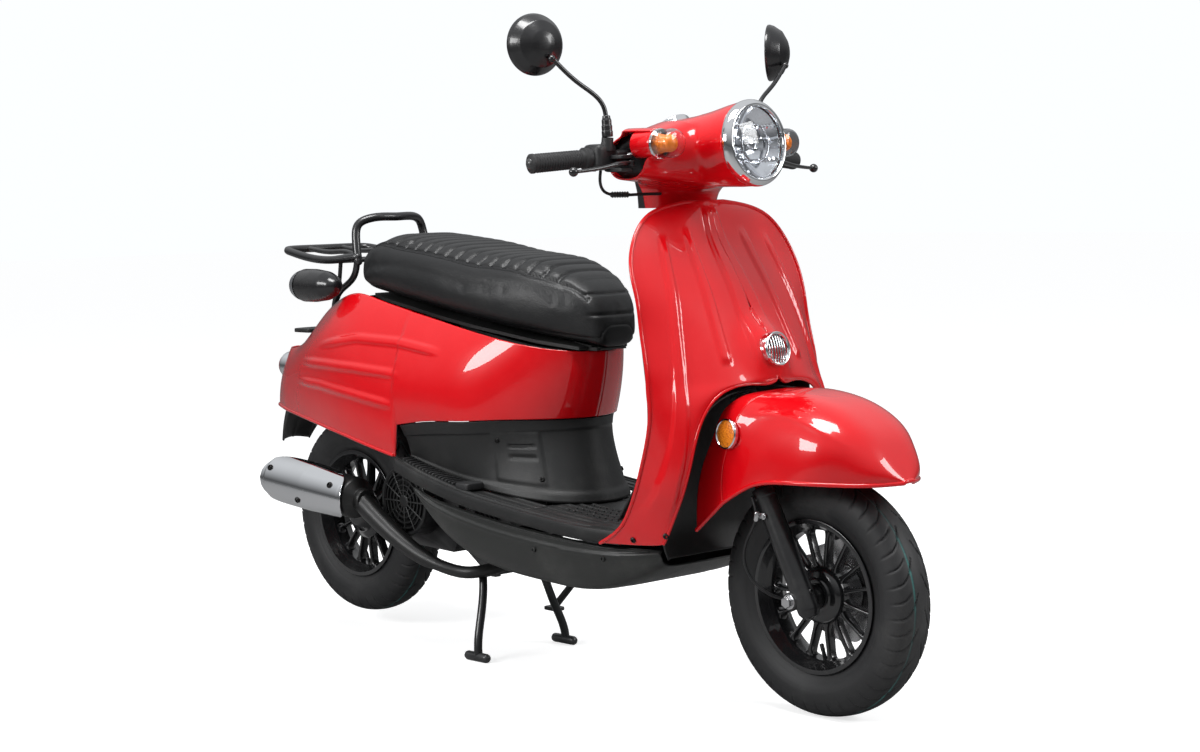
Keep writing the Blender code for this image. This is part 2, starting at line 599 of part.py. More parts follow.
FENDER_TOP = [(0.884, 0.434), (0.868, 0.462), (0.843, 0.500), (0.807, 0.533), (0.740, 0.567), (0.669, 0.580)]
FENDER_EDGE = [(0.882, 0.012, 0.431), (0.855, 0.060, 0.430), (0.820, 0.088, 0.430), (0.762, 0.118, 0.431),
               (0.690, 0.125, 0.429), (0.629, 0.125, 0.418)]
FENDER_REAR = [(0.491, 0.120, 0.327), (0.485, 0.112, 0.377), (0.499, 0.110, 0.443), (0.526, 0.108, 0.500),
               (0.545, 0.100, 0.545), (0.572, 0.080, 0.570), (0.595, 0.040, 0.578), (0.602, 0, 0.580)]
FENDER_MIDDLE = [(0.560, 0.124, 0.382), (0.556, 0.121, 0.410), (0.562, 0.121, 0.455), (0.580, 0.119, 0.505),
                 (0.594, 0.108, 0.545), (0.610, 0.084, 0.570), (0.628, 0.042, 0.578), (0.632, 0, 0.580)]
ROUND = [math.radians(90 * k / 7) for k in range(8)]

rows = []
for (tx, tz), (ex, ey, ez) in zip(FENDER_TOP, FENDER_EDGE):
    row = []
    for a in ROUND:
        up = math.sin(a) ** 0.85
        row.append(Vector((ex + (tx - ex) * up, ey * math.cos(a) ** 0.55 if a < 1.57 else 0,
                           ez + (tz - ez) * up)))
    row[-1].y = 0
    rows.append(row)
rows.append([Vector(p) for p in FENDER_MIDDLE])
rows.append([Vector(p) for p in FENDER_REAR])
front_fender = mirror_sheet("front_fender", rows, RED, (0, 0, 1))


# ------------------------------------------------------------------ leg shield, knee panel and splash guard

SHIELD = [((0.409, 0.050, 0.9145), (0.4135, 0, 0.9165)), ((0.410, 0.120, 0.903), (0.424, 0, 0.890)),
          ((0.416, 0.169, 0.880), (0.435, 0, 0.855)), ((0.431, 0.212, 0.816), (0.462, 0, 0.810)),
          ((0.451, 0.219, 0.751), (0.500, 0, 0.750)), ((0.463, 0.220, 0.682), (0.545, 0, 0.660)),
          ((0.476, 0.222, 0.620), (0.578, 0, 0.597)), ((0.478, 0.222, 0.580), (0.566, 0.080, 0.589)),
          ((0.479, 0.220, 0.545), (0.555, 0.135, 0.566)), ((0.472, 0.220, 0.500), (0.547, 0.165, 0.520)),
          ((0.458, 0.220, 0.455), (0.540, 0.180, 0.462)), ((0.444, 0.220, 0.416), (0.528, 0.187, 0.410)),
          ((0.418, 0.215, 0.370), (0.505, 0.189, 0.360)), ((0.385, 0.210, 0.331), (0.490, 0.190, 0.330)),
          ((0.322, 0.200, 0.297), (0.477, 0.190, 0.309))]
KNEE = [((0.396, 0.105, 0.891), (0.283, 0, 0.865)), ((0.407, 0.160, 0.868), (0.295, 0, 0.845)),
        ((0.421, 0.204, 0.812), (0.322, 0, 0.800)), ((0.441, 0.212, 0.751), (0.352, 0, 0.750)),
        ((0.453, 0.214, 0.682), (0.370, 0, 0.680)), ((0.465, 0.215, 0.600), (0.370, 0, 0.600)),
        ((0.463, 0.213, 0.500), (0.330, 0, 0.500)), ((0.432, 0.213, 0.416), (0.282, 0, 0.410)),
        ((0.372, 0.204, 0.345), (0.243, 0, 0.345))]
SPLASH = [((0.550, 0.090, 0.570), (0.545, 0, 0.583)), ((0.543, 0.125, 0.552), (0.482, 0, 0.572)),
          ((0.536, 0.153, 0.516), (0.448, 0, 0.535)), ((0.531, 0.166, 0.468), (0.434, 0, 0.480)),
          ((0.519, 0.172, 0.416), (0.427, 0, 0.420)), ((0.497, 0.176, 0.362), (0.428, 0, 0.362)),
          ((0.472, 0.180, 0.318), (0.430, 0, 0.315)), ((0.466, 0.165, 0.276), (0.447, 0, 0.274))]
leg_shield = mirror_sheet("leg_shield", half_rows(SHIELD, lambda q: 1 - q * q, 5), RED, (1, 0, 0))
HORN = Vector((0.560, 0, 0.6455))
HORN_WAY = Vector((0.985, 0, 0.17)).normalized()
leg_shield = cut(leg_shield, cylinder("horn_hole", HORN - HORN_WAY * 0.05, HORN + HORN_WAY * 0.05, 0.0325,
                                      None, 24))
horn_grille = cylinder("horn_grille", HORN - HORN_WAY * 0.012, HORN + HORN_WAY * 0.028, 0.0315, CHROME, 24)
knee_panel = mirror_sheet("knee_panel", half_rows(KNEE, lambda q: math.exp(-(q * 2.3) ** 2), 8),
                          BLACK_PLASTIC,
                          (-1, 0, 0))
splash_guard = mirror_sheet("splash_guard", half_rows(SPLASH, lambda q: math.sqrt(1 - q * q), 8),
                            BLACK_PLASTIC,
                            (1, 0, 0))
splash_guard = cut(splash_guard, cylinder("stem_hole", on_axis(0.33), on_axis(0.45), 0.034, None, 20))


# ------------------------------------------------------------------ floor and belly

FLOOR = [(-0.289, 0.198, 0.409), (-0.230, 0.200, 0.391), (-0.168, 0.201, 0.376), (-0.094, 0.201, 0.361),
         (0.041, 0.201, 0.343), (0.184, 0.201, 0.329), (0.280, 0.200, 0.323), (0.360, 0.190, 0.321)]
rows = [[Vector((x, w, z - 0.032)), Vector((x, w, z - 0.005)), Vector((x, w - 0.006, z)),
         Vector((x, 0.126, z)),
         Vector((x, 0, z))] for x, w, z in FLOOR]
floorboard = mirror_sheet("floorboard", rows, BLACK_PLASTIC, (0, 0, 1))
floorboard = cut(floorboard, block("tunnel", (-0.12, 0, 0.38), (0.46, 0.252, 0.20), None),
                 block("tube_slot", (0.32, 0, 0.32), (0.120, 0.050, 0.10), None))

BELLY = [(-0.232, 0.190, 0.356, 0.329), (-0.188, 0.190, 0.340, 0.281), (-0.112, 0.190, 0.326, 0.233),
         (0.0, 0.188, 0.311, 0.203), (0.119, 0.184, 0.299, 0.192), (0.200, 0.180, 0.293, 0.188),
         (0.280, 0.175, 0.288, 0.197), (0.360, 0.160, 0.286, 0.222), (0.420, 0.140, 0.286, 0.252)]
rows = []
for x, w, high, low in BELLY:
    drop = high - low
    rows.append([Vector((x, w, high)), Vector((x, w + 0.002, low + drop * 0.45)),
                 Vector((x, w - 0.015, low + drop * 0.12)),
                 Vector((x, w - 0.045, low)), Vector((x, 0.06, low - 0.001)), Vector((x, 0, low - 0.001))])
belly_pan = mirror_sheet("belly_pan", rows, BLACK_PLASTIC, (0, 0, -1))
belly_pan = cut(belly_pan, block("engine_space", (-0.15, 0, 0.25), (0.24, 0.280, 0.30), None))
belly_pan = cut(belly_pan, block("stand_space", (-0.080, 0.187, 0.220), (0.14, 0.105, 0.100), None))


# ------------------------------------------------------------------ rear body

PANELS = [((0.139, 0, 0.630), (0.127, 0, 0.565), (0.105, 0, 0.500)),
          ((0.119, 0.050, 0.6315), (0.108, 0.056, 0.567), (0.088, 0.056, 0.500)),
          ((0.082, 0.098, 0.637), (0.066, 0.108, 0.570), (0.048, 0.108, 0.500)),
          ((0.015, 0.135, 0.650), (0.000, 0.150, 0.575), (-0.014, 0.152, 0.499)),
          ((-0.090, 0.150, 0.670), (-0.090, 0.181, 0.585), (-0.090, 0.185, 0.495)),
          ((-0.200, 0.148, 0.690), (-0.200, 0.192, 0.585), (-0.200, 0.192, 0.4885)),
          ((-0.281, 0.145, 0.704), (-0.281, 0.196, 0.590), (-0.2815, 0.1935, 0.477)),
          ((-0.290, 0.1445, 0.706), (-0.290, 0.196, 0.560), (-0.2895, 0.1935, 0.412)),
          ((-0.400, 0.1380, 0.726), (-0.400, 0.194, 0.585), (-0.400, 0.189, 0.4305)),
          ((-0.480, 0.1300, 0.737), (-0.480, 0.187, 0.600), (-0.480, 0.180, 0.4430)),
          ((-0.552, 0.1200, 0.724), (-0.552, 0.174, 0.600), (-0.552, 0.166, 0.4510)),
          ((-0.622, 0.1080, 0.694), (-0.622, 0.156, 0.590), (-0.622, 0.149, 0.4580)),
          ((-0.700, 0.0900, 0.650), (-0.700, 0.131, 0.575), (-0.700, 0.127, 0.4640)),
          ((-0.765, 0.0720, 0.618), (-0.765, 0.106, 0.560), (-0.765, 0.105, 0.4675)),
          ((-0.820, 0.0540, 0.606), (-0.825, 0.081, 0.545), (-0.825, 0.082, 0.4700)),
          ((-0.862, 0.0350, 0.603), (-0.875, 0.054, 0.540), (-0.880, 0.056, 0.4720)),
          ((-0.882, 0.0180, 0.604), (-0.907, 0.028, 0.532), (-0.919, 0.030, 0.4730)),
          ((-0.887, 0.0004, 0.605), (-0.917, 0.0004, 0.530), (-0.9355, 0.0004, 0.4740))]
TAIL_LIGHT = Vector((-0.870, 0, 0.5585))


def panel_rows(points, count=6):
    """Rows from the top edge through the middle point to the bottom edge, as a curve of second order."""
    rows = []
    for top, middle, bottom in points:
        top, middle, bottom = Vector(top), Vector(middle), Vector(bottom)
        row = []
        for k in range(count + 1):
            t = k / count
            row.append(top * (1 - t) * (1 - 2 * t) + middle * 4 * t * (1 - t) + bottom * t * (2 * t - 1))
        rows.append(row)
    return rows


for label, sign in SIDES:
    rows = [[side((p.x, max(p.y, 0.0004), p.z), sign) for p in row] for row in panel_rows(PANELS)]
    panel = sheet(f"side_panel_{label}", rows, RED, (0, sign, 0))
    hole = cylinder("lamp_hole", TAIL_LIGHT, TAIL_LIGHT - Vector((0.1, 0, 0)), 0.0320, None, 24)
    trim = block("centre", (-0.4, -sign * 0.0996, 0.6), (1.2, 0.2, 0.5), None)
    cut(panel, hole, trim)

tail_light = turned("tail_light", [(0.0, 0), (0.0, 0.024), (0.004, 0.0312), (0.048, 0.0312), (0.060, 0.025),
                                   (-TAIL_X + TAIL_LIGHT.x, 0.010), (-TAIL_X + TAIL_LIGHT.x, 0)],
                    TAIL_LIGHT, (-1, 0, 0), RED_LENS, 24, closed=False)

COVER = [((0.1005, 0, 0.4975), (0.110, 0, 0.44), (0.140, 0, 0.3365)),
         ((0.0838, 0.0540, 0.4975), (0.092, 0.054, 0.44), (0.124, 0.060, 0.3375)),
         ((0.0440, 0.1050, 0.4975), (0.050, 0.098, 0.44), (0.080, 0.108, 0.3415)),
         ((-0.0165, 0.1490, 0.4965), (-0.012, 0.132, 0.44), (0.005, 0.140, 0.3505)),
         ((-0.090, 0.1820, 0.4920), (-0.090, 0.163, 0.44), (-0.090, 0.155, 0.3640)),
         ((-0.200, 0.1890, 0.4860), (-0.200, 0.169, 0.44), (-0.200, 0.160, 0.3870)),
         ((-0.276, 0.1905, 0.4755), (-0.276, 0.173, 0.44), (-0.276, 0.165, 0.4090))]
under_seat_cover = mirror_sheet("under_seat_cover", panel_rows(COVER, 4), BLACK_PLASTIC, (1, 0, 0))


def seat_line(x):
    """Height of the seat's underside."""
    return 0.636 + (0.165 - x) * 0.162


def tub(inset, floor, over):
    """The storage bucket's outer form, or with an inset the space inside it."""
    rings = []
    for part in (0.0, 0.15, 1.0):
        spread = 0.90 + 0.10 * part
        ring = []
        for p in oval((-0.07, 0, 0), ((0.160 - inset) * spread, 0, 0), (0, (0.108 - inset) * spread, 0), 20,
                      0.6):
            top = seat_line(p.x) - 0.014 + over
            ring.append(Vector((p.x, p.y, floor + (top - floor) * part)))
        rings.append(ring)
    return skinned("tub", rings, BLACK_PLASTIC)


SEAT_HINGE = Vector((0.150, 0, 0.6360))
bucket = cut(tub(0.0, 0.430, 0.0), tub(PANEL, 0.433, 0.05))
tabs = []
for label, sign in SIDES:
    tabs.append(prism("tab", [(0.080, 0.6200), (0.097, 0.6200), (0.120, 0.6325), (0.1515, 0.6325),
                              (0.1515, 0.6380), (0.1470, 0.6388), (0.080, 0.6388)],
                      *sorted((sign * 0.0330, sign * 0.0390)), BLACK_PLASTIC))
joined("storage_bucket", [bucket, *tabs], BLACK_PLASTIC)

rings = []
for z, grow in ((0.572, 0.90), (0.590, 1.0), (0.665, 1.0), (0.682, 0.9)):
    rings.append(oval((-0.385, 0, z), (0.108 * grow, 0, 0), (0, 0.090 * grow, 0), 20, 0.55))
fuel_tank = skinned("fuel_tank", rings, BLACK_STEEL)


# ------------------------------------------------------------------ rear mudguard, rack and indicators

DECK = [(-0.490, 0.122, 0.728), (-0.552, 0.1125, 0.717), (-0.622, 0.1005, 0.687), (-0.700, 0.0825, 0.643),
        (-0.765, 0.0650, 0.611), (-0.812, 0.0480, 0.600)]
deck = mirror_sheet("deck", [[Vector((x, w, z)), Vector((x, w * 0.6, z + 0.003)), Vector((x, 0, z + 0.004))]
                             for x, w, z in DECK], BLACK_PLASTIC, (0, 0, 1), 0.004)
GUARD = Vector((-0.637, 0, 0.270))
rows = []
for k in range(12):
    a = math.radians(64 + (156 - 64) * k / 11)
    ray = Vector((math.cos(a), 0, math.sin(a)))
    tail = max(0.0, (k - 6) / 4)
    width = 0.086 - 0.040 * tail
    rows.append([GUARD + ray * (0.272 + 0.016 * tail) + SIDE * width,
                 GUARD + ray * 0.300 + SIDE * (width - 0.002),
                 GUARD + ray * 0.307 + SIDE * (width - 0.018), GUARD + ray * 0.309])
guard = mirror_sheet("guard", rows, BLACK_PLASTIC, (0, 0, 1))
rib = block("rib", (-0.700, 0, 0.608), (0.050, 0.040, 0.078), BLACK_PLASTIC)
plate = block("plate_bracket", (-0.762, 0, 0.647), (0.060, 0.160, 0.010), BLACK_PLASTIC, bevel=0.002)
plate_arm = block("plate_arm", (-0.742, 0, 0.632), (0.024, 0.060, 0.030), BLACK_PLASTIC)
rear_mudguard = joined("rear_mudguard", [deck, guard, rib, plate_arm, plate], BLACK_PLASTIC)

rack = [(-0.522, 0.097, 0.812), (-0.593, 0.115, 0.805), (-0.735, 0.116, 0.821), (-0.762, 0.106, 0.825),
        (-0.771, 0.080, 0.826), (-0.771, 0, 0.826)]
loop = [side(p, -1) for p in rack] + [Vector(p) for p in reversed(rack[:-1])]
grab = [(-0.522, 0.096, 0.800), (-0.533, 0.092, 0.850), (-0.534, 0.084, 0.879), (-0.522, 0.060, 0.892),
        (-0.510, 0, 0.894)]
hoop = [side(p, -1) for p in grab] + [Vector(p) for p in reversed(grab[:-1])]
carrier = [tube("rear_carrier", loop, 0.0085, BLACK_STEEL, 1),
           tube("hoop", hoop, 0.0090, BLACK_STEEL, 1)]
for y in (-0.045, 0.045):
    carrier.append(tube("bar", [Vector((-0.766, y, 0.826)), Vector((-0.60, y, 0.812)),
                                Vector((-0.588, y, 0.800))],
                        0.0055, BLACK_STEEL, 1))
carrier.append(cylinder("cross_bar", (-0.590, -0.113, 0.803), (-0.590, 0.113, 0.803), 0.0062, BLACK_STEEL,
                        10))
for label, sign in SIDES:
    leg = [side(p, sign) for p in ((-0.524, 0.097, 0.806), (-0.530, 0.098, 0.780), (-0.575, 0.090, 0.750),
                                   (-0.630, 0.078, 0.718), (-0.650, 0.070, 0.6835))]
    carrier.append(tube("leg", leg, 0.0070, BLACK_STEEL, 1))
    carrier.append(tube("stay", [side((-0.622, 0.0775, 0.722), sign), side((-0.612, 0.075, 0.802), sign)],
                        0.0045,
                        BLACK_STEEL, 1))
    carrier.append(cylinder("stay_bar", side((-0.612, 0.045, 0.812), sign),
                            side((-0.612, 0.114, 0.806), sign), 0.0050,
                            BLACK_STEEL, 8))
rear_carrier = joined("rear_carrier", carrier, BLACK_STEEL)

for label, sign in SIDES:
    bulb = turned("bulb", [(-0.078, 0), (-0.072, 0.016), (-0.040, 0.031), (0.0, 0.0355), (0.040, 0.034),
                           (0.072, 0.026),
                           (0.074, 0)], side((-0.600, 0.150, 0.752), sign), (-1, 0, 0), BLACK_PLASTIC, 20,
                           closed=False)
    stalk = cylinder("stalk", side((-0.590, 0.130, 0.745), sign), side((-0.590, 0.1000, 0.745), sign), 0.0070,
                     BLACK_PLASTIC, 12)
    joined(f"rear_indicator_{label}", [bulb, stalk], BLACK_PLASTIC)


# ------------------------------------------------------------------ seat

SEAT = [(0.174, 0.030, 0.690, 0.668), (0.168, 0.050, 0.717, 0.641), (0.146, 0.070, 0.753, 0.642),
        (0.100, 0.094, 0.782, 0.648), (0.030, 0.122, 0.803, 0.658), (-0.120, 0.143, 0.820, 0.682),
        (-0.235, 0.145, 0.838, 0.701), (-0.360, 0.140, 0.852, 0.721), (-0.440, 0.134, 0.853, 0.734),
        (-0.472, 0.126, 0.838, 0.742), (-0.480, 0.112, 0.800, 0.764)]
rings = []
for x, w, top, bottom in SEAT:
    middle = (top + bottom) / 2
    half = (top - bottom) / 2
    ring = []
    for p in oval((x, 0, middle), (0, w, 0), (0, 0, half), 16, 0.62):
        ring.append(p)
    rings.append(ring)
seat_cushion = skinned("seat_cushion", rings, VINYL)
rings = []
for x, w in ((0.128, 0.064), (0.050, 0.100), (-0.120, 0.126), (-0.200, 0.128), (-0.420, 0.116), (-0.462, 0.100)):
    low = seat_line(x) - 0.0075
    high = seat_line(x) - 0.0012
    rings.append([Vector((x, -w, low)), Vector((x, w, low)), Vector((x, w, high)), Vector((x, -w, high))])
base = skinned("seat_base", rings, BLACK_PLASTIC)
for label, sign in SIDES:
    base = cut(base, block("slot", (0.100, sign * 0.036, 0.640), (0.10, 0.0085, 0.05), None))
tongue = block("tongue", (0.134, 0, 0.6357), (0.032, 0.060, 0.0060), BLACK_PLASTIC)
barrel = cylinder("barrel", SEAT_HINGE - SIDE * 0.031, SEAT_HINGE + SIDE * 0.031, 0.0034, BLACK_PLASTIC, 10)
seat_base = joined("seat_base", [base, tongue, barrel], BLACK_PLASTIC)


# ------------------------------------------------------------------ engine, exhaust, shock and kick lever

CRANK = Vector((-0.356, 0, 0.307))
STAND_PIVOT = Vector((-0.165, 0, 0.172))
KICK = Vector((-0.420, 0, 0.262))


def capsule(one, r1, two, r2, count=9):
    """The outline round two circles in the XZ plane, as (x, z) pairs."""
    way = math.atan2(two[1] - one[1], two[0] - one[0])
    lean = math.acos((r1 - r2) / math.dist(one, two))
    out = []
    for k in range(count):
        a = way + lean + (2 * math.pi - 2 * lean) * k / (count - 1)
        out.append((one[0] + r1 * math.cos(a), one[1] + r1 * math.sin(a)))
    for k in range(count):
        a = way - lean + 2 * lean * k / (count - 1)
        out.append((two[0] + r2 * math.cos(a), two[1] + r2 * math.sin(a)))
    return out


belt_case = prism("belt_case", capsule((CRANK.x, 0.300), 0.076, (REAR_AXLE.x, 0.252), 0.082), 0.090, 0.148,
                  ALLOY)
crankcase = prism("crankcase", [(-0.405, 0.235), (-0.380, 0.210), (-0.255, 0.205), (-0.235, 0.240),
                                (-0.235, 0.370),
                                (-0.260, 0.380), (-0.375, 0.380), (-0.405, 0.355)], -0.076, 0.094, ALLOY)
barrel = cylinder("barrel", (-0.250, 0, 0.300), (-0.120, 0, 0.312), 0.048, ALLOY, 18)
head = block("head", (-0.120, 0, 0.312), (0.050, 0.100, 0.092), ALLOY, bevel=0.010)
fan = cylinder("fan_housing", (CRANK.x, -0.070, CRANK.z), (CRANK.x, -0.122, CRANK.z), 0.074, ALLOY, 24)
pieces = [belt_case, crankcase, barrel, head, fan]
for label, sign in SIDES:
    pieces.append(prism("arm", [(-0.250, 0.250), (-0.250, 0.208), (-0.178, 0.160), (-0.157, 0.160),
                                (-0.152, 0.180),
                                (-0.140, 0.213), (-0.140, 0.238)], *sorted((sign * 0.035, sign * 0.048)),
                                ALLOY))
    pieces.append(cylinder("pivot_lug", ENGINE_PIVOT + SIDE * sign * 0.033,
                           ENGINE_PIVOT + SIDE * sign * 0.060,
                           0.0150, ALLOY, 16))
    pieces.append(cylinder("pivot_bolt", ENGINE_PIVOT + SIDE * sign * 0.040,
                           ENGINE_PIVOT + SIDE * sign * 0.081,
                           0.0062, ALLOY, 12))
pieces.append(cylinder("output_shaft", REAR_AXLE - SIDE * 0.043, REAR_AXLE + SIDE * 0.096, 0.0086, ALLOY, 14))
pieces.append(prism("shock_lug", [(-0.645, 0.290), (-0.677, 0.290), (-0.680, 0.350), (-0.673, 0.362),
                                  (-0.657, 0.362),
                                  (-0.650, 0.350)], 0.088, 0.1000, ALLOY))
pieces.append(cylinder("shock_stud", SHOCK_FOOT - SIDE * 0.018, SHOCK_FOOT + SIDE * 0.012, 0.006, ALLOY, 12))
engine_case = joined("engine_case", pieces, ALLOY)
engine_case = cut(engine_case,
                  cylinder("stand_bore", STAND_PIVOT - SIDE * 0.06, STAND_PIVOT + SIDE * 0.06, 0.0106, None,
                           16),
                  cylinder("fan_recess", (CRANK.x, -0.112, CRANK.z), (CRANK.x, -0.130, CRANK.z), 0.064,
                           None, 28),
                  cylinder("kick_bore", (KICK.x, 0.130, KICK.z), (KICK.x, 0.160, KICK.z), 0.0078, None, 14))

pipe = [(-0.120, 0.0, 0.2612), (-0.1215, 0.0, 0.238), (-0.124, -0.010, 0.208), (-0.129, -0.040, 0.190),
        (-0.137, -0.075, 0.183), (-0.157, -0.105, 0.178), (-0.215, -0.120, 0.180), (-0.300, -0.135, 0.205),
        (-0.395, -0.152, 0.262), (-0.470, -0.157, 0.312)]
muffler = turned("muffler", [(0, 0), (0.0, 0.020), (0.018, 0.044), (0.250, 0.044), (0.268, 0.030),
                             (0.268, 0)],
                 (-0.452, -0.156, 0.306), Vector((-0.300, 0, 0.024)), BLACK_STEEL, 20, closed=False)
tail_pipe = cylinder("tail_pipe", (-0.700, -0.156, 0.318), (-0.742, -0.156, 0.300), 0.0100, BLACK_STEEL, 12)
exhaust = joined("exhaust", [muffler, tube("pipe", smooth_path(pipe, 3), 0.0125, BLACK_STEEL, 2),
                             tail_pipe], BLACK_STEEL)

rows = []
for x, z, r, one, two in ((-0.458, 0.309, 0.040, -50, 62), (-0.470, 0.310, 0.051, -60, 72),
                          (-0.600, 0.3205, 0.054, -62, 76),
                          (-0.728, 0.3305, 0.053, -60, 76), (-0.746, 0.332, 0.042, -46, 58)):
    row = []
    for k in range(10):
        a = math.radians(one + (two - one) * k / 9)
        row.append(Vector((x, -0.156 - r * math.cos(a) * 1.12, z + r * math.sin(a))))
    rows.append(row)
muffler_shield = sheet("muffler_shield", rows, CHROME, (0, -1, 0), 0.002)

stand = [cylinder("centre_stand", STAND_PIVOT - SIDE * 0.079, STAND_PIVOT + SIDE * 0.079, 0.0100,
                  BLACK_STEEL, 16)]
for label, sign in SIDES:
    leg = [side(p, sign) for p in ((-0.165, 0.0755, 0.172), (-0.158, 0.081, 0.150), (-0.146, 0.100, 0.085),
                                   (-0.135, 0.118, 0.020), (-0.134, 0.118, 0.010))]
    stand.append(tube("leg", smooth_path(leg, 2), 0.0085, BLACK_STEEL, 1))
    stand.append(cylinder("foot", (-0.168, sign * 0.118, 0.0095), (-0.108, sign * 0.118, 0.0095), 0.0095,
                          BLACK_STEEL, 12))
centre_stand = joined("centre_stand", stand, BLACK_STEEL)

side_leg = [(-0.045, 0.1510, 0.235), (-0.062, 0.152, 0.213), (-0.140, 0.154, 0.128), (-0.205, 0.157, 0.068)]
side_stand = joined("side_stand", [tube("side_stand", smooth_path([Vector(p) for p in side_leg], 2), 0.0075,
                                        BLACK_STEEL, 1),
                                   block("eye", (-0.046, 0.1505, 0.233), (0.028, 0.0145, 0.028), BLACK_STEEL),
                                   block("foot", (-0.212, 0.158, 0.060), (0.042, 0.026, 0.009),
                                         BLACK_STEEL)], BLACK_STEEL)
cut(side_stand, cylinder("stud_hole", SIDE_STAND - SIDE * 0.03, SIDE_STAND + SIDE * 0.03, 0.0056, None, 12))

kick = [cylinder("kick_lever", (KICK.x, 0.134, KICK.z), (KICK.x, 0.168, KICK.z), 0.0072, STEEL, 14),
        cylinder("hub", (KICK.x, 0.1505, KICK.z), (KICK.x, 0.168, KICK.z), 0.0125, STEEL, 14),
        tube("arm", [Vector((KICK.x, 0.160, KICK.z)), Vector((-0.500, 0.163, 0.289)),
                     Vector((-0.575, 0.165, 0.315))],
             0.0065, STEEL, 1),
        cylinder("pedal", (-0.575, 0.158, 0.315), (-0.575, 0.200, 0.315), 0.0085, RUBBER, 12)]
kick_lever = joined("kick_lever", kick, STEEL)

SHOCK_WAY = (SHOCK_TOP - SHOCK_FOOT).normalized()
shock_length = (SHOCK_TOP - SHOCK_FOOT).length
upper = [cylinder("shock_upper", SHOCK_TOP - SIDE * 0.0125, SHOCK_TOP + SIDE * 0.0105, 0.0135, BLACK_STEEL,
                  16),
         cylinder("cup", SHOCK_TOP - SHOCK_WAY * 0.0150, SHOCK_TOP - SHOCK_WAY * 0.030, 0.0240, BLACK_STEEL,
                  20),
         cylinder("neck", SHOCK_TOP - SHOCK_WAY * 0.006, SHOCK_TOP - SHOCK_WAY * 0.020, 0.0095, BLACK_STEEL,
                  12),
         cylinder("rod", SHOCK_TOP - SHOCK_WAY * 0.020, SHOCK_TOP - SHOCK_WAY * 0.112, 0.0055, STEEL, 10)]
shock_upper = joined("shock_upper", upper, BLACK_STEEL)
cut(shock_upper, cylinder("eye", SHOCK_TOP - SIDE * 0.03, SHOCK_TOP + SIDE * 0.03, 0.0068, None, 12))
body = turned("shock_lower", [(0.018, 0), (0.018, 0.024), (0.026, 0.024), (0.028, 0.0165), (0.130, 0.0165),
                              (0.130, 0.0065), (0.045, 0.0065), (0.045, 0)], SHOCK_FOOT, SHOCK_WAY,
                              BLACK_STEEL, 20,
              closed=False)
foot = cylinder("foot_eye", SHOCK_FOOT - SIDE * 0.0125, SHOCK_FOOT + SIDE * 0.0105, 0.0150, BLACK_STEEL, 16)
neck = block("neck", SHOCK_FOOT + SHOCK_WAY * 0.016, (0.018, 0.020, 0.014), BLACK_STEEL)
shock_lower = joined("shock_lower", [body, foot, neck], BLACK_STEEL)
cut(shock_lower, cylinder("eye", SHOCK_FOOT - SIDE * 0.03, SHOCK_FOOT + SIDE * 0.03, 0.0090, None, 12))

COILS = 7
coil = []
for k in range(COILS * 8 + 1):
    a = 2 * math.pi * k / 8
    along = 0.0300 + (shock_length - 0.0300 - 0.0340) * k / (COILS * 8)
    coil.append((0.0205 * math.cos(a), 0.0205 * math.sin(a), along))
frame_turn = SHOCK_WAY.to_track_quat("Z", "Y").to_matrix().to_4x4()
place = Matrix.Translation(SHOCK_FOOT) @ frame_turn
shock_spring = baked(tube("shock_spring", [place @ Vector(p) for p in coil], 0.0027, STEEL, 0))


# ------------------------------------------------------------------ origin under the middle of the scooter

# Every piece is given an origin of its own: on its joint's axis where it moves, otherwise at its middle.
MIRROR_STEM = Vector((0.3670, 0.201, 1.050))
MIRROR_HEAD = Vector((0.3385, 0.3045, 1.173))
ON_JOINTS = {
    "steering_fork": on_axis(0.54), "handlebar": on_axis(0.78), "throttle_grip": on_bar(-0.29),
    "front_rim": FRONT_AXLE, "front_tyre": FRONT_AXLE, "front_disc": FRONT_AXLE, "front_axle": FRONT_AXLE,
    "rear_rim": REAR_AXLE, "rear_tyre": REAR_AXLE, "engine_case": ENGINE_PIVOT,
    "seat_base": SEAT_HINGE, "seat_cushion": SEAT_HINGE, "centre_stand": STAND_PIVOT,
    "side_stand": SIDE_STAND, "kick_lever": KICK + SIDE * 0.16,
    "shock_upper": SHOCK_TOP, "shock_spring": SHOCK_TOP, "shock_lower": SHOCK_FOOT,
}
for label, sign in SIDES:
    ON_JOINTS[f"fork_leg_{label}"] = on_leg(0, sign * LEG_Y)
    ON_JOINTS[f"brake_lever_{label}"] = side(LEVER_PIVOT, sign)
    ON_JOINTS[f"mirror_stem_{label}"] = side(MIRROR_STEM, sign)
    ON_JOINTS[f"mirror_head_{label}"] = side(MIRROR_HEAD, sign)

for obj in scooter.objects:
    obj.data.transform(obj.matrix_world)
    middle = sum((v.co for v in obj.data.vertices), Vector()) / len(obj.data.vertices)
    origin = ON_JOINTS.get(obj.name, middle)
    obj.data.transform(Matrix.Translation(-origin))
    obj.matrix_world = Matrix.Translation(origin + Vector((ORIGIN_SHIFT, 0, 0)))
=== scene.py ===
import math

import bmesh
import bpy
import numpy as np
from mathutils import Matrix, Vector
from mathutils.bvhtree import BVHTree


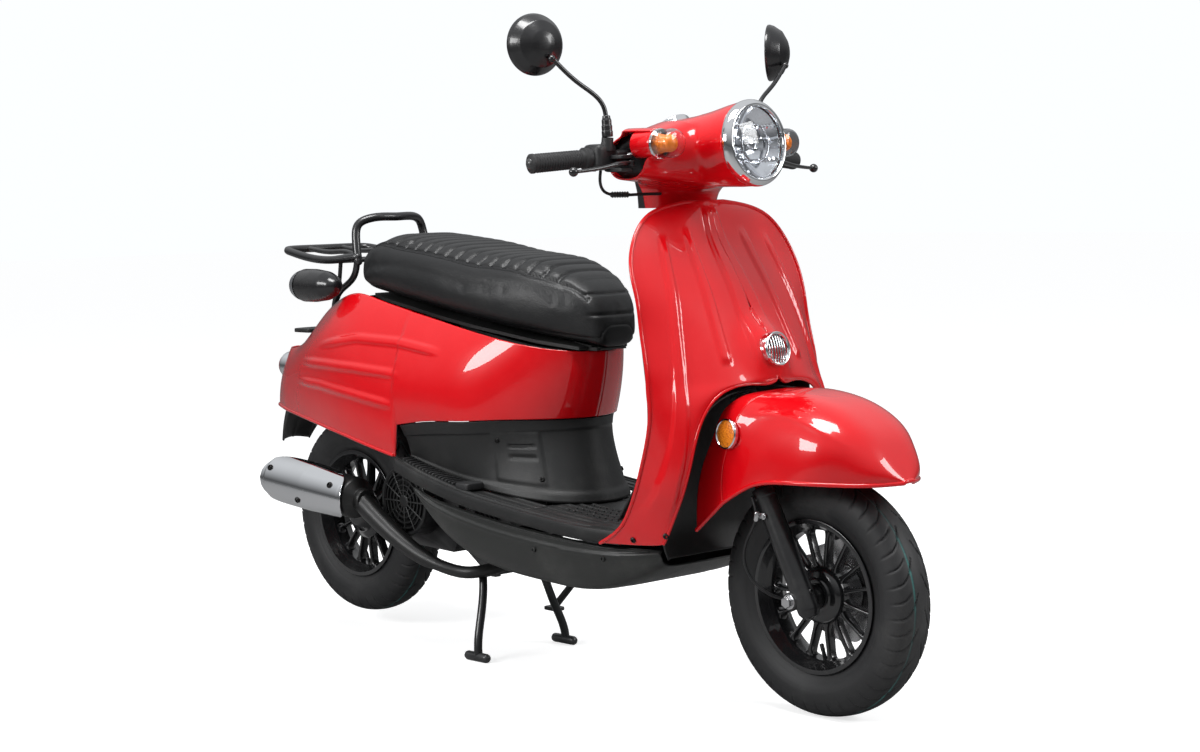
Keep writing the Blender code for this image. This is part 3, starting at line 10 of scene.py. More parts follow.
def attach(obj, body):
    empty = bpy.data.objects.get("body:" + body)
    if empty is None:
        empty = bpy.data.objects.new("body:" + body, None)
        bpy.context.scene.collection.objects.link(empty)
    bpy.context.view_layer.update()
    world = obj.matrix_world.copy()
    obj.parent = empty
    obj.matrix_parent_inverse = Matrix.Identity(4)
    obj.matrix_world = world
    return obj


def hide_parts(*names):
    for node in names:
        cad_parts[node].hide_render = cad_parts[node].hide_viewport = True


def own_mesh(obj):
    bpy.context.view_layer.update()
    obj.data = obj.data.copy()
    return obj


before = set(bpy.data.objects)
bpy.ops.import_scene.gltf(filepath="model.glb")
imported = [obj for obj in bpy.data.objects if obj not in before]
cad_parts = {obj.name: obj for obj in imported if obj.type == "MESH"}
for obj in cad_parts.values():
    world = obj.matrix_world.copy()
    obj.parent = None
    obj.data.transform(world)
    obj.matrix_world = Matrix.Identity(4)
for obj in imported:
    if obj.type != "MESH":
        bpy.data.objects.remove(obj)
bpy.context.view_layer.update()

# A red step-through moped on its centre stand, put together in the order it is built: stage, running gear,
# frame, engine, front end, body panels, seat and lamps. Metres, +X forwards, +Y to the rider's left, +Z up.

SIDES = (("right", -1.0), ("left", 1.0))


# ------------------------------------------------------------------ stage, light and camera
# A pale studio floor, a soft grey-white surround and three large soft lights.
# The camera stands ahead and to the right of the scooter, a little below the height of its handlebar.

scene = bpy.context.scene
scene.view_settings.view_transform = "Standard"

world = bpy.data.worlds.new("studio")
scene.world = world
world.use_nodes = True
surround = world.node_tree.nodes["Background"]
surround.inputs["Color"].default_value = (0.96, 0.98, 1.0, 1.0)
rays = world.node_tree.nodes.new("ShaderNodeLightPath")


def by_ray(tree, rays, plain, camera, glossy):
    """A value that is plain + camera for camera rays and plain + glossy for glossy ones."""
    total = plain
    for ray, more in (("Is Camera Ray", camera), ("Is Glossy Ray", glossy)):
        step = tree.nodes.new("ShaderNodeMath")
        step.operation = "MULTIPLY_ADD"
        tree.links.new(rays.outputs[ray], step.inputs[0])
        step.inputs[1].default_value = more
        if isinstance(total, float):
            step.inputs[2].default_value = total
        else:
            tree.links.new(total, step.inputs[2])
        total = step.outputs[0]
    return total


sky_way = world.node_tree.nodes.new("ShaderNodeSeparateXYZ")
world.node_tree.links.new(world.node_tree.nodes.new("ShaderNodeTexCoord").outputs["Generated"], sky_way.inputs[0])
sky = world.node_tree.nodes.new("ShaderNodeMapRange")
world.node_tree.links.new(sky_way.outputs["Z"], sky.inputs["Value"])
for label, value in (("From Min", 0.05), ("From Max", 0.65), ("To Min", -0.32), ("To Max", 0.3)):
    sky.inputs[label].default_value = value
reflected = world.node_tree.nodes.new("ShaderNodeMath")
reflected.operation = "MULTIPLY_ADD"
world.node_tree.links.new(rays.outputs["Is Glossy Ray"], reflected.inputs[0])
world.node_tree.links.new(sky.outputs["Result"], reflected.inputs[1])
world.node_tree.links.new(by_ray(world.node_tree, rays, 0.42, 0.6, 0.0), reflected.inputs[2])
world.node_tree.links.new(reflected.outputs[0], surround.inputs["Strength"])

floor_mesh = bpy.data.meshes.new("studio_floor")
floor_mesh.from_pydata([(-30, -30, 0), (30, -30, 0), (30, 30, 0), (-30, 30, 0)], [], [(0, 1, 2, 3)])
floor = bpy.data.objects.new("studio_floor", floor_mesh)
scene.collection.objects.link(floor)
floor_paint = bpy.data.materials.new("studio_floor")
floor_paint.use_nodes = True
floor_shader = floor_paint.node_tree.nodes["Principled BSDF"]
floor_rays = floor_paint.node_tree.nodes.new("ShaderNodeLightPath")
floor_paint.node_tree.links.new(by_ray(floor_paint.node_tree, floor_rays, 0.45, 0.35, -0.15),
                                floor_shader.inputs["Base Color"])
floor_paint.node_tree.links.new(by_ray(floor_paint.node_tree, floor_rays, 0.0, 0.66, 0.0),
                                floor_shader.inputs["Emission Strength"])
floor_shader.inputs["Emission Color"].default_value = (1.0, 1.0, 1.0, 1.0)
floor_shader.inputs["Specular IOR Level"].default_value = 0.0
floor_shader.inputs["Roughness"].default_value = 0.65
floor_mesh.materials.append(floor_paint)


def soft_light(name, place, target, size, watts):
    lamp = bpy.data.lights.new(name, "AREA")
    lamp.shape = "RECTANGLE"
    lamp.size, lamp.size_y = size
    lamp.energy = watts
    holder = bpy.data.objects.new(name, lamp)
    holder.location = place
    holder.rotation_euler = (Vector(target) - Vector(place)).to_track_quat("-Z", "Y").to_euler()
    scene.collection.objects.link(holder)


soft_light("overhead", (0.6, -0.8, 3.4), (0.0, 0.0, 0.5), (1.8, 1.0), 105)
soft_light("front_left", (3.6, 1.8, 2.2), (0.3, 0.0, 0.6), (1.4, 1.4), 62)
soft_light("right_side", (-0.8, -3.6, 2.0), (-0.1, 0.0, 0.6), (1.8, 0.9), 72)

AZIMUTH, ELEVATION, ROLL = (math.radians(v) for v in (47.05, 4.74, -1.35))
back = Vector((math.sin(AZIMUTH) * math.cos(ELEVATION), -math.cos(AZIMUTH) * math.cos(ELEVATION),
               math.sin(ELEVATION)))
across = Vector((math.cos(AZIMUTH), math.sin(AZIMUTH), 0.0))
upright = back.cross(across)
rolled_across = across * math.cos(ROLL) + upright * math.sin(ROLL)
rolled_up = upright * math.cos(ROLL) - across * math.sin(ROLL)
camera = bpy.data.objects.new("camera", bpy.data.cameras.new("camera"))
camera.data.lens = 67.63
camera.data.sensor_width = 36.0
camera.matrix_world = (Matrix.Translation((3.33045, -2.9789, 0.9422))
                       @ Matrix((rolled_across, rolled_up, back)).transposed().to_4x4())
scene.collection.objects.link(camera)
scene.camera = camera


# ------------------------------------------------------------------ tyres
# Two 3.50-10 tubeless tyres of black rubber. Long slanted grooves run from near the crown to the shoulders,
# and a thin blue-green maker's line runs round the tread. The rim holds their beads.

DRAWN_ZERO = 0.01375     # the drawing's x = 0 lies this far ahead of the frame's origin
FRONT_AXLE = np.array([0.6915, 0.0, 0.217])
REAR_AXLE = np.array([-0.637, 0.0, 0.2475])


def through(knots, count, by_number=False):
    """Natural cubic spline through the knots, read at count even steps.

    Its second slopes m solve h0 m0 + 2 (h0 + h1) m1 + h1 m2 = 6 (slope after - slope before) at each inner
    knot, with h the gaps between knots (their mean distance, or 1 each with by_number).
    """
    knots = np.asarray(knots, float)
    n = len(knots)
    flat = knots.reshape(n, -1)
    if by_number:
        gap = np.ones(n - 1)
    else:
        gap = np.linalg.norm(np.diff(knots, axis=0), axis=-1).reshape(n - 1, -1).mean(axis=1)
    at = np.concatenate([[0.0], np.cumsum(gap)])
    slope = np.diff(flat, axis=0) / gap[:, None]
    i = np.arange(1, n - 1)
    system, right = np.eye(n), np.zeros_like(flat)
    system[i, i - 1], system[i, i], system[i, i + 1] = gap[i - 1], 2 * (gap[i - 1] + gap[i]), gap[i]
    right[i] = 6 * (slope[i] - slope[i - 1])
    m = np.linalg.solve(system, right)
    s = np.linspace(0, at[-1], count)
    j = np.clip(np.searchsorted(at, s, "right") - 1, 0, n - 2)
    h = gap[j, None]
    a, b = (at[j + 1] - s)[:, None] / h, (s - at[j])[:, None] / h
    out = a * flat[j] + b * flat[j + 1] + ((a**3 - a) * m[j] + (b**3 - b) * m[j + 1]) * h * h / 6
    return out.reshape(count, *knots.shape[1:])


def unit(v):
    """Vectors divided by their length."""
    v = np.asarray(v, float)
    return v / np.maximum(np.linalg.norm(v, axis=-1, keepdims=True), 1e-12)


def square_to(way):
    """Two unit vectors square to way and to each other."""
    way = unit(way)
    first = unit(np.cross(way, [0.0, 1.0, 0.0] if abs(way[1]) < 0.9 else [1.0, 0.0, 0.0]))
    return first, np.cross(way, first)


def turned(profile, centre, way, steps=96):
    """A profile of (along, radius) pairs swept round an axis: centre + along * way + radius * (cos, sin)."""
    profile = np.asarray(profile, float)
    first, second = square_to(way)
    a = np.linspace(0, 2 * np.pi, steps + 1)
    ring = np.cos(a)[:, None] * first + np.sin(a)[:, None] * second
    return (np.asarray(centre, float) + profile[:, None, :1] * unit(way)
            + profile[:, None, 1:2] * ring[None])


def eased(profile, radius=0.0015, count=4):
    """A broken line with each inner corner replaced by the parabola that touches both its arms."""
    p = np.asarray(profile, float)
    before, corner, after = p[:-2], p[1:-1], p[2:]
    one, two = before - corner, after - corner
    reach = np.minimum(radius, 0.45 * np.minimum(np.linalg.norm(one, axis=1), np.linalg.norm(two, axis=1)))
    start, end = corner + unit(one) * reach[:, None], corner + unit(two) * reach[:, None]
    t = np.linspace(0, 1, count)[None, :, None]
    bends = start[:, None] * (1 - t) ** 2 + corner[:, None] * 2 * t * (1 - t) + end[:, None] * t * t
    return np.concatenate([p[:1], bends.reshape(-1, p.shape[1]), p[-1:]])


def piece(name, body, finish, *grids, stands_for=(), slot=None, out=None, wall=0.0, sharp=38, marks=None):
    """One object from grids of points, each rows x columns x 3, with a quad between neighbouring points.

    Points that coincide are made one, which closes tubes and poles. out is the way an open sheet faces, and
    wall its thickness, grown inwards. marks is a value from 0 to 1 at each point, for the material.
    """
    points, faces, start = [], [], 0
    for grid in grids:
        grid = np.asarray(grid, float)
        n, m = grid.shape[:2]
        number = np.arange(n * m).reshape(n, m) + start
        corners = [number[:-1, :-1], number[:-1, 1:], number[1:, 1:], number[1:, :-1]]
        points.append(grid.reshape(-1, 3))
        faces.append(np.stack([c.ravel() for c in corners], axis=1))
        start += n * m
    points, faces = np.concatenate(points), np.concatenate(faces)
    points = points + [DRAWN_ZERO, 0.0, 0.0]
    mesh = bpy.data.meshes.new(name)
    mesh.vertices.add(len(points))
    mesh.vertices.foreach_set("co", points.astype(np.float32).ravel())
    mesh.loops.add(faces.size)
    mesh.loops.foreach_set("vertex_index", faces.astype(np.int32).ravel())
    mesh.polygons.add(len(faces))
    mesh.polygons.foreach_set("loop_start", np.arange(0, faces.size, 4, dtype=np.int32))
    mesh.update(calc_edges=True)
    if marks is not None:
        values = mesh.attributes.new("marks", "FLOAT", "POINT")
        values.data.foreach_set("value", np.concatenate([np.ravel(k) for k in marks]).astype(np.float32))
    made = bmesh.new()
    made.from_mesh(mesh)
    bmesh.ops.remove_doubles(made, verts=made.verts, dist=2e-6)
    bmesh.ops.dissolve_degenerate(made, edges=made.edges, dist=1e-7)
    bmesh.ops.recalc_face_normals(made, faces=made.faces)
    if out is not None:
        facing = sum(face.normal.dot(Vector(out)) * face.calc_area() for face in made.faces)
        if facing < 0:
            bmesh.ops.reverse_faces(made, faces=made.faces)
    made.to_mesh(mesh)
    made.free()
    return dressed(bpy.data.objects.new(name, mesh), body, finish, stands_for, wall, sharp)


def dressed(obj, body, finish, stands_for=(), wall=0.0, sharp=38):
    """Gives an object its material, smooth shading, wall and body."""
    if obj.name not in scene.collection.objects:
        scene.collection.objects.link(obj)
    obj.data.materials.clear()
    obj.data.materials.append(finish)
    obj.data.shade_smooth()
    obj.data.set_sharp_from_angle(angle=math.radians(sharp))
    if wall:
        thick = obj.modifiers.new("wall", "SOLIDIFY")
        thick.thickness = wall
        thick.offset = -1
    if stands_for:
        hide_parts(*([stands_for] if isinstance(stands_for, str) else stands_for))
    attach(obj, body)
    return obj


def group_of(name, inputs, outputs):
    """An empty shader node group with its sockets, and its input and output nodes."""
    group = bpy.data.node_groups.new(name, "ShaderNodeTree")
    for label, kind, value in inputs:
        socket = group.interface.new_socket(label, in_out="INPUT", socket_type=kind)
        socket.default_value = value
    for label, kind in outputs:
        group.interface.new_socket(label, in_out="OUTPUT", socket_type=kind)
    return group, group.nodes.new("NodeGroupInput"), group.nodes.new("NodeGroupOutput")


def node(tree, kind, inputs=(), **settings):
    """A shader node with its settings, and its inputs given as values or as other nodes' outputs."""
    made = tree.nodes.new(kind)
    for key, value in settings.items():
        setattr(made, key, value)
    for key, value in dict(inputs).items():
        if isinstance(value, bpy.types.NodeSocket):
            tree.links.new(value, made.inputs[key])
        else:
            made.inputs[key].default_value = value
    return made


# Moulded or cast skin: colour drifts a little in large soft patches, fine dust dulls it in places, and a
# cell pattern of the given scale stands up as grain.
skin, s_in, s_out = group_of(
    "moulded_skin",
    [("Colour", "NodeSocketColor", (0.5, 0.5, 0.5, 1)), ("Dust Colour", "NodeSocketColor", (0.3, 0.29, 0.27, 1)),
     ("Dust", "NodeSocketFloat", 0.1), ("Roughness", "NodeSocketFloat", 0.4), ("Drift", "NodeSocketFloat", 0.05),
     ("Grain Scale", "NodeSocketFloat", 900.0), ("Grain Height", "NodeSocketFloat", 0.2)],
    [("Colour", "NodeSocketColor"), ("Roughness", "NodeSocketFloat"), ("Normal", "NodeSocketVector")])
at_object = node(skin, "ShaderNodeTexCoord").outputs["Object"]
patches = node(skin, "ShaderNodeTexNoise", {"Vector": at_object, "Scale": 9.0, "Detail": 5.0, "Roughness": 0.6})
specks = node(skin, "ShaderNodeTexNoise", {"Vector": at_object, "Scale": 260.0, "Detail": 3.0})
cells = node(skin, "ShaderNodeTexVoronoi", {"Vector": at_object, "Scale": s_in.outputs["Grain Scale"]},
             feature="SMOOTH_F1")
soiled = node(skin, "ShaderNodeMapRange", {"Value": patches.outputs["Fac"], "From Min": 0.5, "From Max": 0.78})
flecked = node(skin, "ShaderNodeMath", {0: soiled.outputs["Result"], 1: specks.outputs["Fac"]}, operation="MULTIPLY")
amount = node(skin, "ShaderNodeMath", {0: flecked.outputs[0], 1: s_in.outputs["Dust"]}, operation="MULTIPLY")
shade = node(skin, "ShaderNodeMapRange", {"Value": patches.outputs["Fac"], "From Min": 0.3, "From Max": 0.7,
                                          "To Min": -1.0, "To Max": 1.0})
shaded = node(skin, "ShaderNodeMath", {0: shade.outputs["Result"], 1: s_in.outputs["Drift"]}, operation="MULTIPLY")
lifted = node(skin, "ShaderNodeMath", {0: shaded.outputs[0], 1: 1.0}, operation="ADD")
tinted = node(skin, "ShaderNodeVectorMath", {0: s_in.outputs["Colour"]}, operation="SCALE")
skin.links.new(lifted.outputs[0], tinted.inputs["Scale"])
dusted = node(skin, "ShaderNodeMix", {"Factor": amount.outputs[0]}, data_type="RGBA")
skin.links.new(tinted.outputs[0], dusted.inputs["A"])
skin.links.new(s_in.outputs["Dust Colour"], dusted.inputs["B"])
duller = node(skin, "ShaderNodeMath", {0: amount.outputs[0], 1: 0.5, 2: s_in.outputs["Roughness"]},
              operation="MULTIPLY_ADD")
raised = node(skin, "ShaderNodeBump", {"Height": cells.outputs["Distance"],
                                       "Strength": s_in.outputs["Grain Height"], "Distance": 0.0006})
skin.links.new(dusted.outputs["Result"], s_out.inputs["Colour"])
skin.links.new(duller.outputs[0], s_out.inputs["Roughness"])
skin.links.new(raised.outputs["Normal"], s_out.inputs["Normal"])


def finish_of(name, colour, roughness, metallic=0.0, coat=0.0, coat_roughness=0.03, dust=0.1, drift=0.05,
              grain=900.0, height=0.1, specular=0.5, wear=0.0):
    """A Principled material whose colour, roughness and normal come from the moulded skin group.

    wear lightens a metal's convex edges, where its paint has rubbed thin.
    """
    made = bpy.data.materials.new(name)
    made.use_nodes = True
    tree = made.node_tree
    shader = tree.nodes["Principled BSDF"]
    worked = node(tree, "ShaderNodeGroup", (), node_tree=skin)
    for label, value in (("Colour", (*colour, 1.0)), ("Dust", dust), ("Roughness", roughness), ("Drift", drift),
                         ("Grain Scale", grain), ("Grain Height", height)):
        worked.inputs[label].default_value = value
    shader.inputs["Metallic"].default_value = metallic
    shader.inputs["Coat Weight"].default_value = coat
    shader.inputs["Coat Roughness"].default_value = coat_roughness
    shader.inputs["Specular IOR Level"].default_value = specular
    colour_out = worked.outputs["Colour"]
    if wear:
        edges = node(tree, "ShaderNodeNewGeometry").outputs["Pointiness"]
        rubbed = node(tree, "ShaderNodeMapRange", {"Value": edges, "From Min": 0.53, "From Max": 0.62,
                                                   "To Max": wear})
        mixed = node(tree, "ShaderNodeMix", {"Factor": rubbed.outputs["Result"]}, data_type="RGBA")
        tree.links.new(colour_out, mixed.inputs["A"])
        mixed.inputs["B"].default_value = (0.28, 0.28, 0.28, 1.0)
        colour_out = mixed.outputs["Result"]
    tree.links.new(colour_out, shader.inputs["Base Color"])
    tree.links.new(worked.outputs["Roughness"], shader.inputs["Roughness"])
    tree.links.new(worked.outputs["Normal"], shader.inputs["Normal"])
    return made


tyre_rubber = finish_of("tyre_rubber", (0.012, 0.012, 0.013), 0.58, dust=0.14, drift=0.15, grain=500, height=0.15)
line_mark = node(tyre_rubber.node_tree, "ShaderNodeAttribute", (), attribute_name="marks").outputs["Fac"]
tyre_shader = tyre_rubber.node_tree.nodes["Principled BSDF"]
lined = node(tyre_rubber.node_tree, "ShaderNodeMix", {"Factor": line_mark}, data_type="RGBA")
tyre_rubber.node_tree.links.new(tyre_shader.inputs["Base Color"].links[0].from_socket, lined.inputs["A"])
lined.inputs["B"].default_value = (0.03, 0.16, 0.15, 1.0)
tyre_rubber.node_tree.links.new(lined.outputs["Result"], tyre_shader.inputs["Base Color"])

TYRE_SECTION = [(0.029, 0.132), (0.032, 0.1375), (0.0375, 0.148), (0.045, 0.168), (0.0452, 0.18),
                (0.0425, 0.194), (0.0345, 0.2072), (0.02, 0.2146), (0.0, 0.217)]
PITCHES = 22


def tyre_grids(centre):
    """The outer skin r(y) turned about the axle, less its grooves, and the bead's inner lining.

    A groove is a band along a slanted line in the plane of arc length and y: its depth is a bell across the
    band, times a window that starts near the crown and ends at the shoulder. The two sides are half a pitch
    apart. Shallow rings stand on the side wall.
    """
    half = through(TYRE_SECTION, 60)
    y, r = np.concatenate([half[:, 0], -half[-2::-1, 0]]), np.concatenate([half[:, 1], half[-2::-1, 1]])
    turns = np.linspace(0, 2 * np.pi, 661)
    side_of = np.where(y >= 0, 1.0, -1.0)
    pitch = 2 * np.pi / PITCHES
    reach = np.abs(y)
    slant = 0.3 * (reach / 0.045) + 0.08 * np.sin(reach / 0.045 * 3.0)
    depth = np.zeros((len(turns), len(y)))
    for shift, low, high, width in ((0.0, 0.007, 0.0445, 0.01), (0.5, 0.0215, 0.044, 0.0085)):
        place = turns[:, None] + slant + pitch * (shift + 0.25 * side_of)
        off = (np.mod(place / pitch, 1.0) - 0.5) * pitch
        window = 1 / (1 + np.exp(-(reach - low) / 0.0009)) / (1 + np.exp((reach - high) / 0.0009))
        window = window * (r > 0.172)
        depth = np.maximum(depth, np.exp(-(off / width) ** 4) * window)
    ring = np.exp(-((reach - 0.0165) / 0.0011) ** 4) * (r > 0.2)
    relief = -0.0042 * depth - 0.0012 * ring + 0.0007 * np.exp(-((r - 0.153) / 0.0012) ** 2)
    relief = relief + 0.0008 * np.exp(-((r - 0.166) / 0.001) ** 2)
    radius = r + relief
    grid = np.stack([np.cos(turns)[:, None] * radius, np.broadcast_to(y, radius.shape),
                     np.sin(turns)[:, None] * radius], axis=-1) + centre
    inner = turned([(-0.029, 0.132), (-0.02, 0.132), (0.0, 0.133), (0.02, 0.132), (0.029, 0.132)],
                   centre, (0, 1, 0), 120)
    teal = np.exp(-((reach - 0.0165) / 0.0014) ** 4) * (r > 0.2) * (y < 0)
    wear = np.clip(0.5 + 0.5 * np.sin(turns * 5)[:, None], 0.25, 1.0)
    return [grid, inner], [teal[None] * wear, np.zeros(inner.shape[:2])]


for label, axle, body in (("front", FRONT_AXLE, "front_wheel"), ("rear", REAR_AXLE, "rear_wheel")):
    grids, marks = tyre_grids(axle)
    piece(f"{label}_tyre_rubber", body, tyre_rubber, *grids, stands_for=f"{label}_tyre", slot="tyre_rubber",
          marks=marks, sharp=50)


# ------------------------------------------------------------------ cast wheels, axle and disc
# One-piece aluminium wheels with fifteen spokes, in gloss black. Webs round off the windows between the
# spokes at the rim and at the hub. The front disc bolts to the left of its hub.

gloss_alloy = finish_of("gloss_black_alloy", (0.01, 0.01, 0.011), 0.22, coat=0.6, dust=0.06, grain=350,
                        height=0.05)
steel = finish_of("bright_steel", (0.56, 0.56, 0.57), 0.26, metallic=1.0, dust=0.1, grain=600, height=0.04)
SPOKES = 15
RIM_SECTION = [(-0.0385, 0.13), (-0.0385, 0.1385), (-0.035, 0.1385), (-0.0335, 0.13), (-0.03, 0.1275),
               (-0.013, 0.124), (0.013, 0.124), (0.03, 0.1275), (0.0335, 0.13), (0.035, 0.1385),
               (0.0385, 0.1385), (0.0385, 0.13), (0.024, 0.1225), (0.014, 0.1165), (-0.014, 0.1165),
               (-0.024, 0.1225), (-0.0385, 0.13)]
SPOKE_WIDTH = [(0.046, 0.011), (0.053, 0.0078), (0.06, 0.0052), (0.074, 0.0044), (0.092, 0.0043),
               (0.106, 0.0048), (0.113, 0.0072), (0.1165, 0.0125), (0.119, 0.02)]


def spoke_grids(centre):
    """Fifteen spokes, each an oval carried out along a radius: its half width along the rim comes from the
    width table and its half depth along the axle falls from 13 to 10 mm. All are turned at once."""
    table = through(SPOKE_WIDTH, 34)
    around = np.linspace(0, 2 * np.pi, 19)
    depth = np.interp(table[:, 0], [0.046, 0.118], [0.0125, 0.01])
    oval = np.stack([np.sign(np.cos(around)) * np.abs(np.cos(around)) ** 0.7,
                     np.sign(np.sin(around)) * np.abs(np.sin(around)) ** 0.7], axis=-1)
    wide = table[:, 1, None] * oval[None, :, 0]
    deep = depth[:, None] * oval[None, :, 1]
    far = np.broadcast_to(table[:, :1], wide.shape)
    turns = 2 * np.pi * (np.arange(SPOKES) + 0.5) / SPOKES
    x = far * np.cos(turns)[:, None, None] - wide * np.sin(turns)[:, None, None]
    z = far * np.sin(turns)[:, None, None] + wide * np.cos(turns)[:, None, None]
    return list(np.stack([x, np.broadcast_to(deep, x.shape), z], axis=-1) + centre)


FRONT_HUB = [(-0.03, 0.0075), (-0.03, 0.03), (-0.027, 0.033), (-0.024, 0.044), (-0.019, 0.05),
             (-0.012, 0.0525), (0.012, 0.0525), (0.04, 0.05), (0.0448, 0.048), (0.0448, 0.0075),
             (-0.03, 0.0075)]
REAR_HUB = [(-0.04, 0.0095), (-0.04, 0.025), (-0.036, 0.03), (-0.02, 0.042), (-0.013, 0.0585),
            (0.032, 0.0585), (0.0395, 0.05), (0.0395, 0.0095), (-0.04, 0.0095)]
for label, axle, hub, body in (("front", FRONT_AXLE, FRONT_HUB, "front_wheel"),
                               ("rear", REAR_AXLE, REAR_HUB, "rear_wheel")):
    valve_foot = axle + np.array([0.0, -0.004, -0.117])
    piece(f"{label}_cast_wheel", body, gloss_alloy, turned(eased(RIM_SECTION, 0.002), axle, (0, 1, 0), 160),
          turned(eased(hub, 0.003), axle, (0, 1, 0), 96), *spoke_grids(axle),
          turned(eased([(0, 0), (0, 0.0042), (0.018, 0.0034), (0.02, 0.004), (0.031, 0.004), (0.031, 0)], 0.001),
                 valve_foot, (0.0, -0.35, 1.0), 20),
          stands_for=f"{label}_rim", slot="black_alloy")


def drilled_ring(centre, low, high, inner, outer, holes):
    """A flat ring between two radii, closed on both faces: no holes are cut, and its outer edge waves in and out
    once for each of holes."""
    turns = np.linspace(0, 2 * np.pi, 241)
    scallop = 0.0025 * np.cos(turns * holes)
    rings = [np.full_like(turns, inner), (inner + outer) / 2 + scallop * 0, outer + scallop * 0.6]
    flat = np.stack([np.stack([np.cos(turns) * r, np.full_like(turns, low), np.sin(turns) * r], -1) for r in rings])
    top = flat[::-1].copy()
    top[..., 1] = high
    return np.concatenate([flat, top, flat[:1]]) + centre


piece("front_brake_disc", "front_wheel", steel, drilled_ring(FRONT_AXLE, 0.0456, 0.0494, 0.05, 0.0925, 20),
      turned(eased([(0.0455, 0.03), (0.0455, 0.054), (0.0495, 0.054), (0.0495, 0.03), (0.0455, 0.03)]),
             FRONT_AXLE, (0, 1, 0), 64),
      *[turned(eased([(0.0492, 0), (0.0492, 0.0055), (0.0535, 0.0055), (0.0535, 0)], 0.0008),
               FRONT_AXLE + 0.041 * np.array([math.cos(a), 0, math.sin(a)]), (0, 1, 0), 6)
        for a in np.arange(5) * 2 * np.pi / 5],
      stands_for="front_disc", slot="bright_steel", sharp=30)


# ------------------------------------------------------------------ steel frame
# Welded steel tube in black enamel: head tube, down tube, two side rails and their cross tubes. Most of it
# is hidden, so the welded solids themselves are kept and only painted.

enamel = finish_of("black_enamel", (0.007, 0.007, 0.008), 0.3, coat=0.25, dust=0.1, grain=500, height=0.05,
                   wear=0.35)


def kept(node_name, finish):
    """Paints a solid of the frame that keeps its own shape."""
    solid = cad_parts[node_name]
    solid.data.materials.clear()
    solid.data.materials.append(finish)
    return solid


kept("main_frame", enamel)


# ------------------------------------------------------------------ fork and steering stem
# A pressed yoke clamps two chromed stanchions that slide in black alloy legs. The right leg carries the
# speedometer drive, and its cable is clipped to the leg; the caliper sits behind the left leg.

RAKE = math.radians(27.0)
UP_FORK = np.array([-math.sin(RAKE), 0.0, math.cos(RAKE)])
FORE = np.array([math.cos(RAKE), 0.0, math.sin(RAKE)])


def on_stem(t, fore=0.0, y=0.0):
    """A point at distance t up the steering axis, set forwards and sideways from it."""
    return np.array([0.675, y, 0.217]) + UP_FORK * t + FORE * fore


def along(path, radius, sides=20, oval=(1.0, 1.0), power=1.0, ends="round"):
    """A ring carried along a path: at each point it lies square to the path, in the two directions made by
    the path's own plane. radius may change along the path. Round ends close over a half circle."""
    path = np.asarray(path, float)
    way = unit(np.gradient(path, axis=0))
    radius = np.broadcast_to(np.asarray(radius, float), len(path))
    plane = np.linalg.svd(path - path.mean(axis=0))[2][2]
    if abs(np.abs(way @ plane).max()) > 0.95:
        plane = square_to(way[0])[0]
    first = unit(np.cross(way, plane))
    second = np.cross(way, first)
    if ends == "round":
        lift = np.radians([90, 60, 30])
        bend_in, bend_out = np.sin(lift)[:, None], np.sin(lift[::-1])[:, None]
        path = np.concatenate([path[:1] - way[:1] * radius[0] * bend_in * 0.8, path,
                               path[-1:] + way[-1:] * radius[-1] * bend_out * 0.8])
        radius = np.concatenate([radius[0] * np.cos(lift), radius, radius[-1] * np.cos(lift[::-1])])
        radius[[0, -1]] = 0.0
        first = np.concatenate([first[:1].repeat(3, 0), first, first[-1:].repeat(3, 0)])
        second = np.concatenate([second[:1].repeat(3, 0), second, second[-1:].repeat(3, 0)])
    elif ends == "flat":
        path = np.concatenate([path[:1], path, path[-1:]])
        radius = np.concatenate([[0.0], radius, [0.0]])
        first = np.concatenate([first[:1], first, first[-1:]])
        second = np.concatenate([second[:1], second, second[-1:]])
    a = np.linspace(0, 2 * np.pi, sides + 1)
    c, s = (np.sign(f) * np.abs(f) ** power for f in (np.cos(a), np.sin(a)))
    return (path[:, None] + radius[:, None, None] * (first[:, None] * c[None, :, None] * oval[0]
                                                     + second[:, None] * s[None, :, None] * oval[1]))


def rounded_box(centre, size, turn=None, hard=0.3, count=28):
    """A box with soft edges: the superellipsoid (|x|, |y|, |z|) with powers of sines and cosines."""
    u = np.linspace(-np.pi / 2, np.pi / 2, count)[:, None]
    v = np.linspace(-np.pi, np.pi, 2 * count)[None, :]

    def eased_wave(wave):
        return np.sign(wave) * np.abs(wave) ** hard
    xyz = np.stack([eased_wave(np.cos(u)) * eased_wave(np.cos(v)), eased_wave(np.cos(u)) * eased_wave(np.sin(v)),
                    eased_wave(np.sin(u)) * np.ones_like(v)], axis=-1) * np.asarray(size) / 2
    if turn is not None:
        xyz = xyz @ np.asarray(turn, float)
    return xyz + np.asarray(centre, float)


def screw_grids(place, way, radius=0.0055, height=0.003, hexagon=False):
    """A screw's head with its socket: a low dome with a round well, or a hexagon with a washer."""
    if hexagon:
        return [turned(eased([(-0.001, radius * 1.5), (0.0008, radius * 1.5), (0.0008, 0)], 0.0004), place, way, 24),
                turned(eased([(0.0, radius), (height, radius * 0.96), (height, 0)], 0.0006), place, way, 6)]
    return [turned([(-0.001, radius), (height * 0.5, radius * 0.98), (height, radius * 0.72),
                    (height, radius * 0.45), (height * 0.2, radius * 0.42), (height * 0.2, 0)], place, way, 24)]


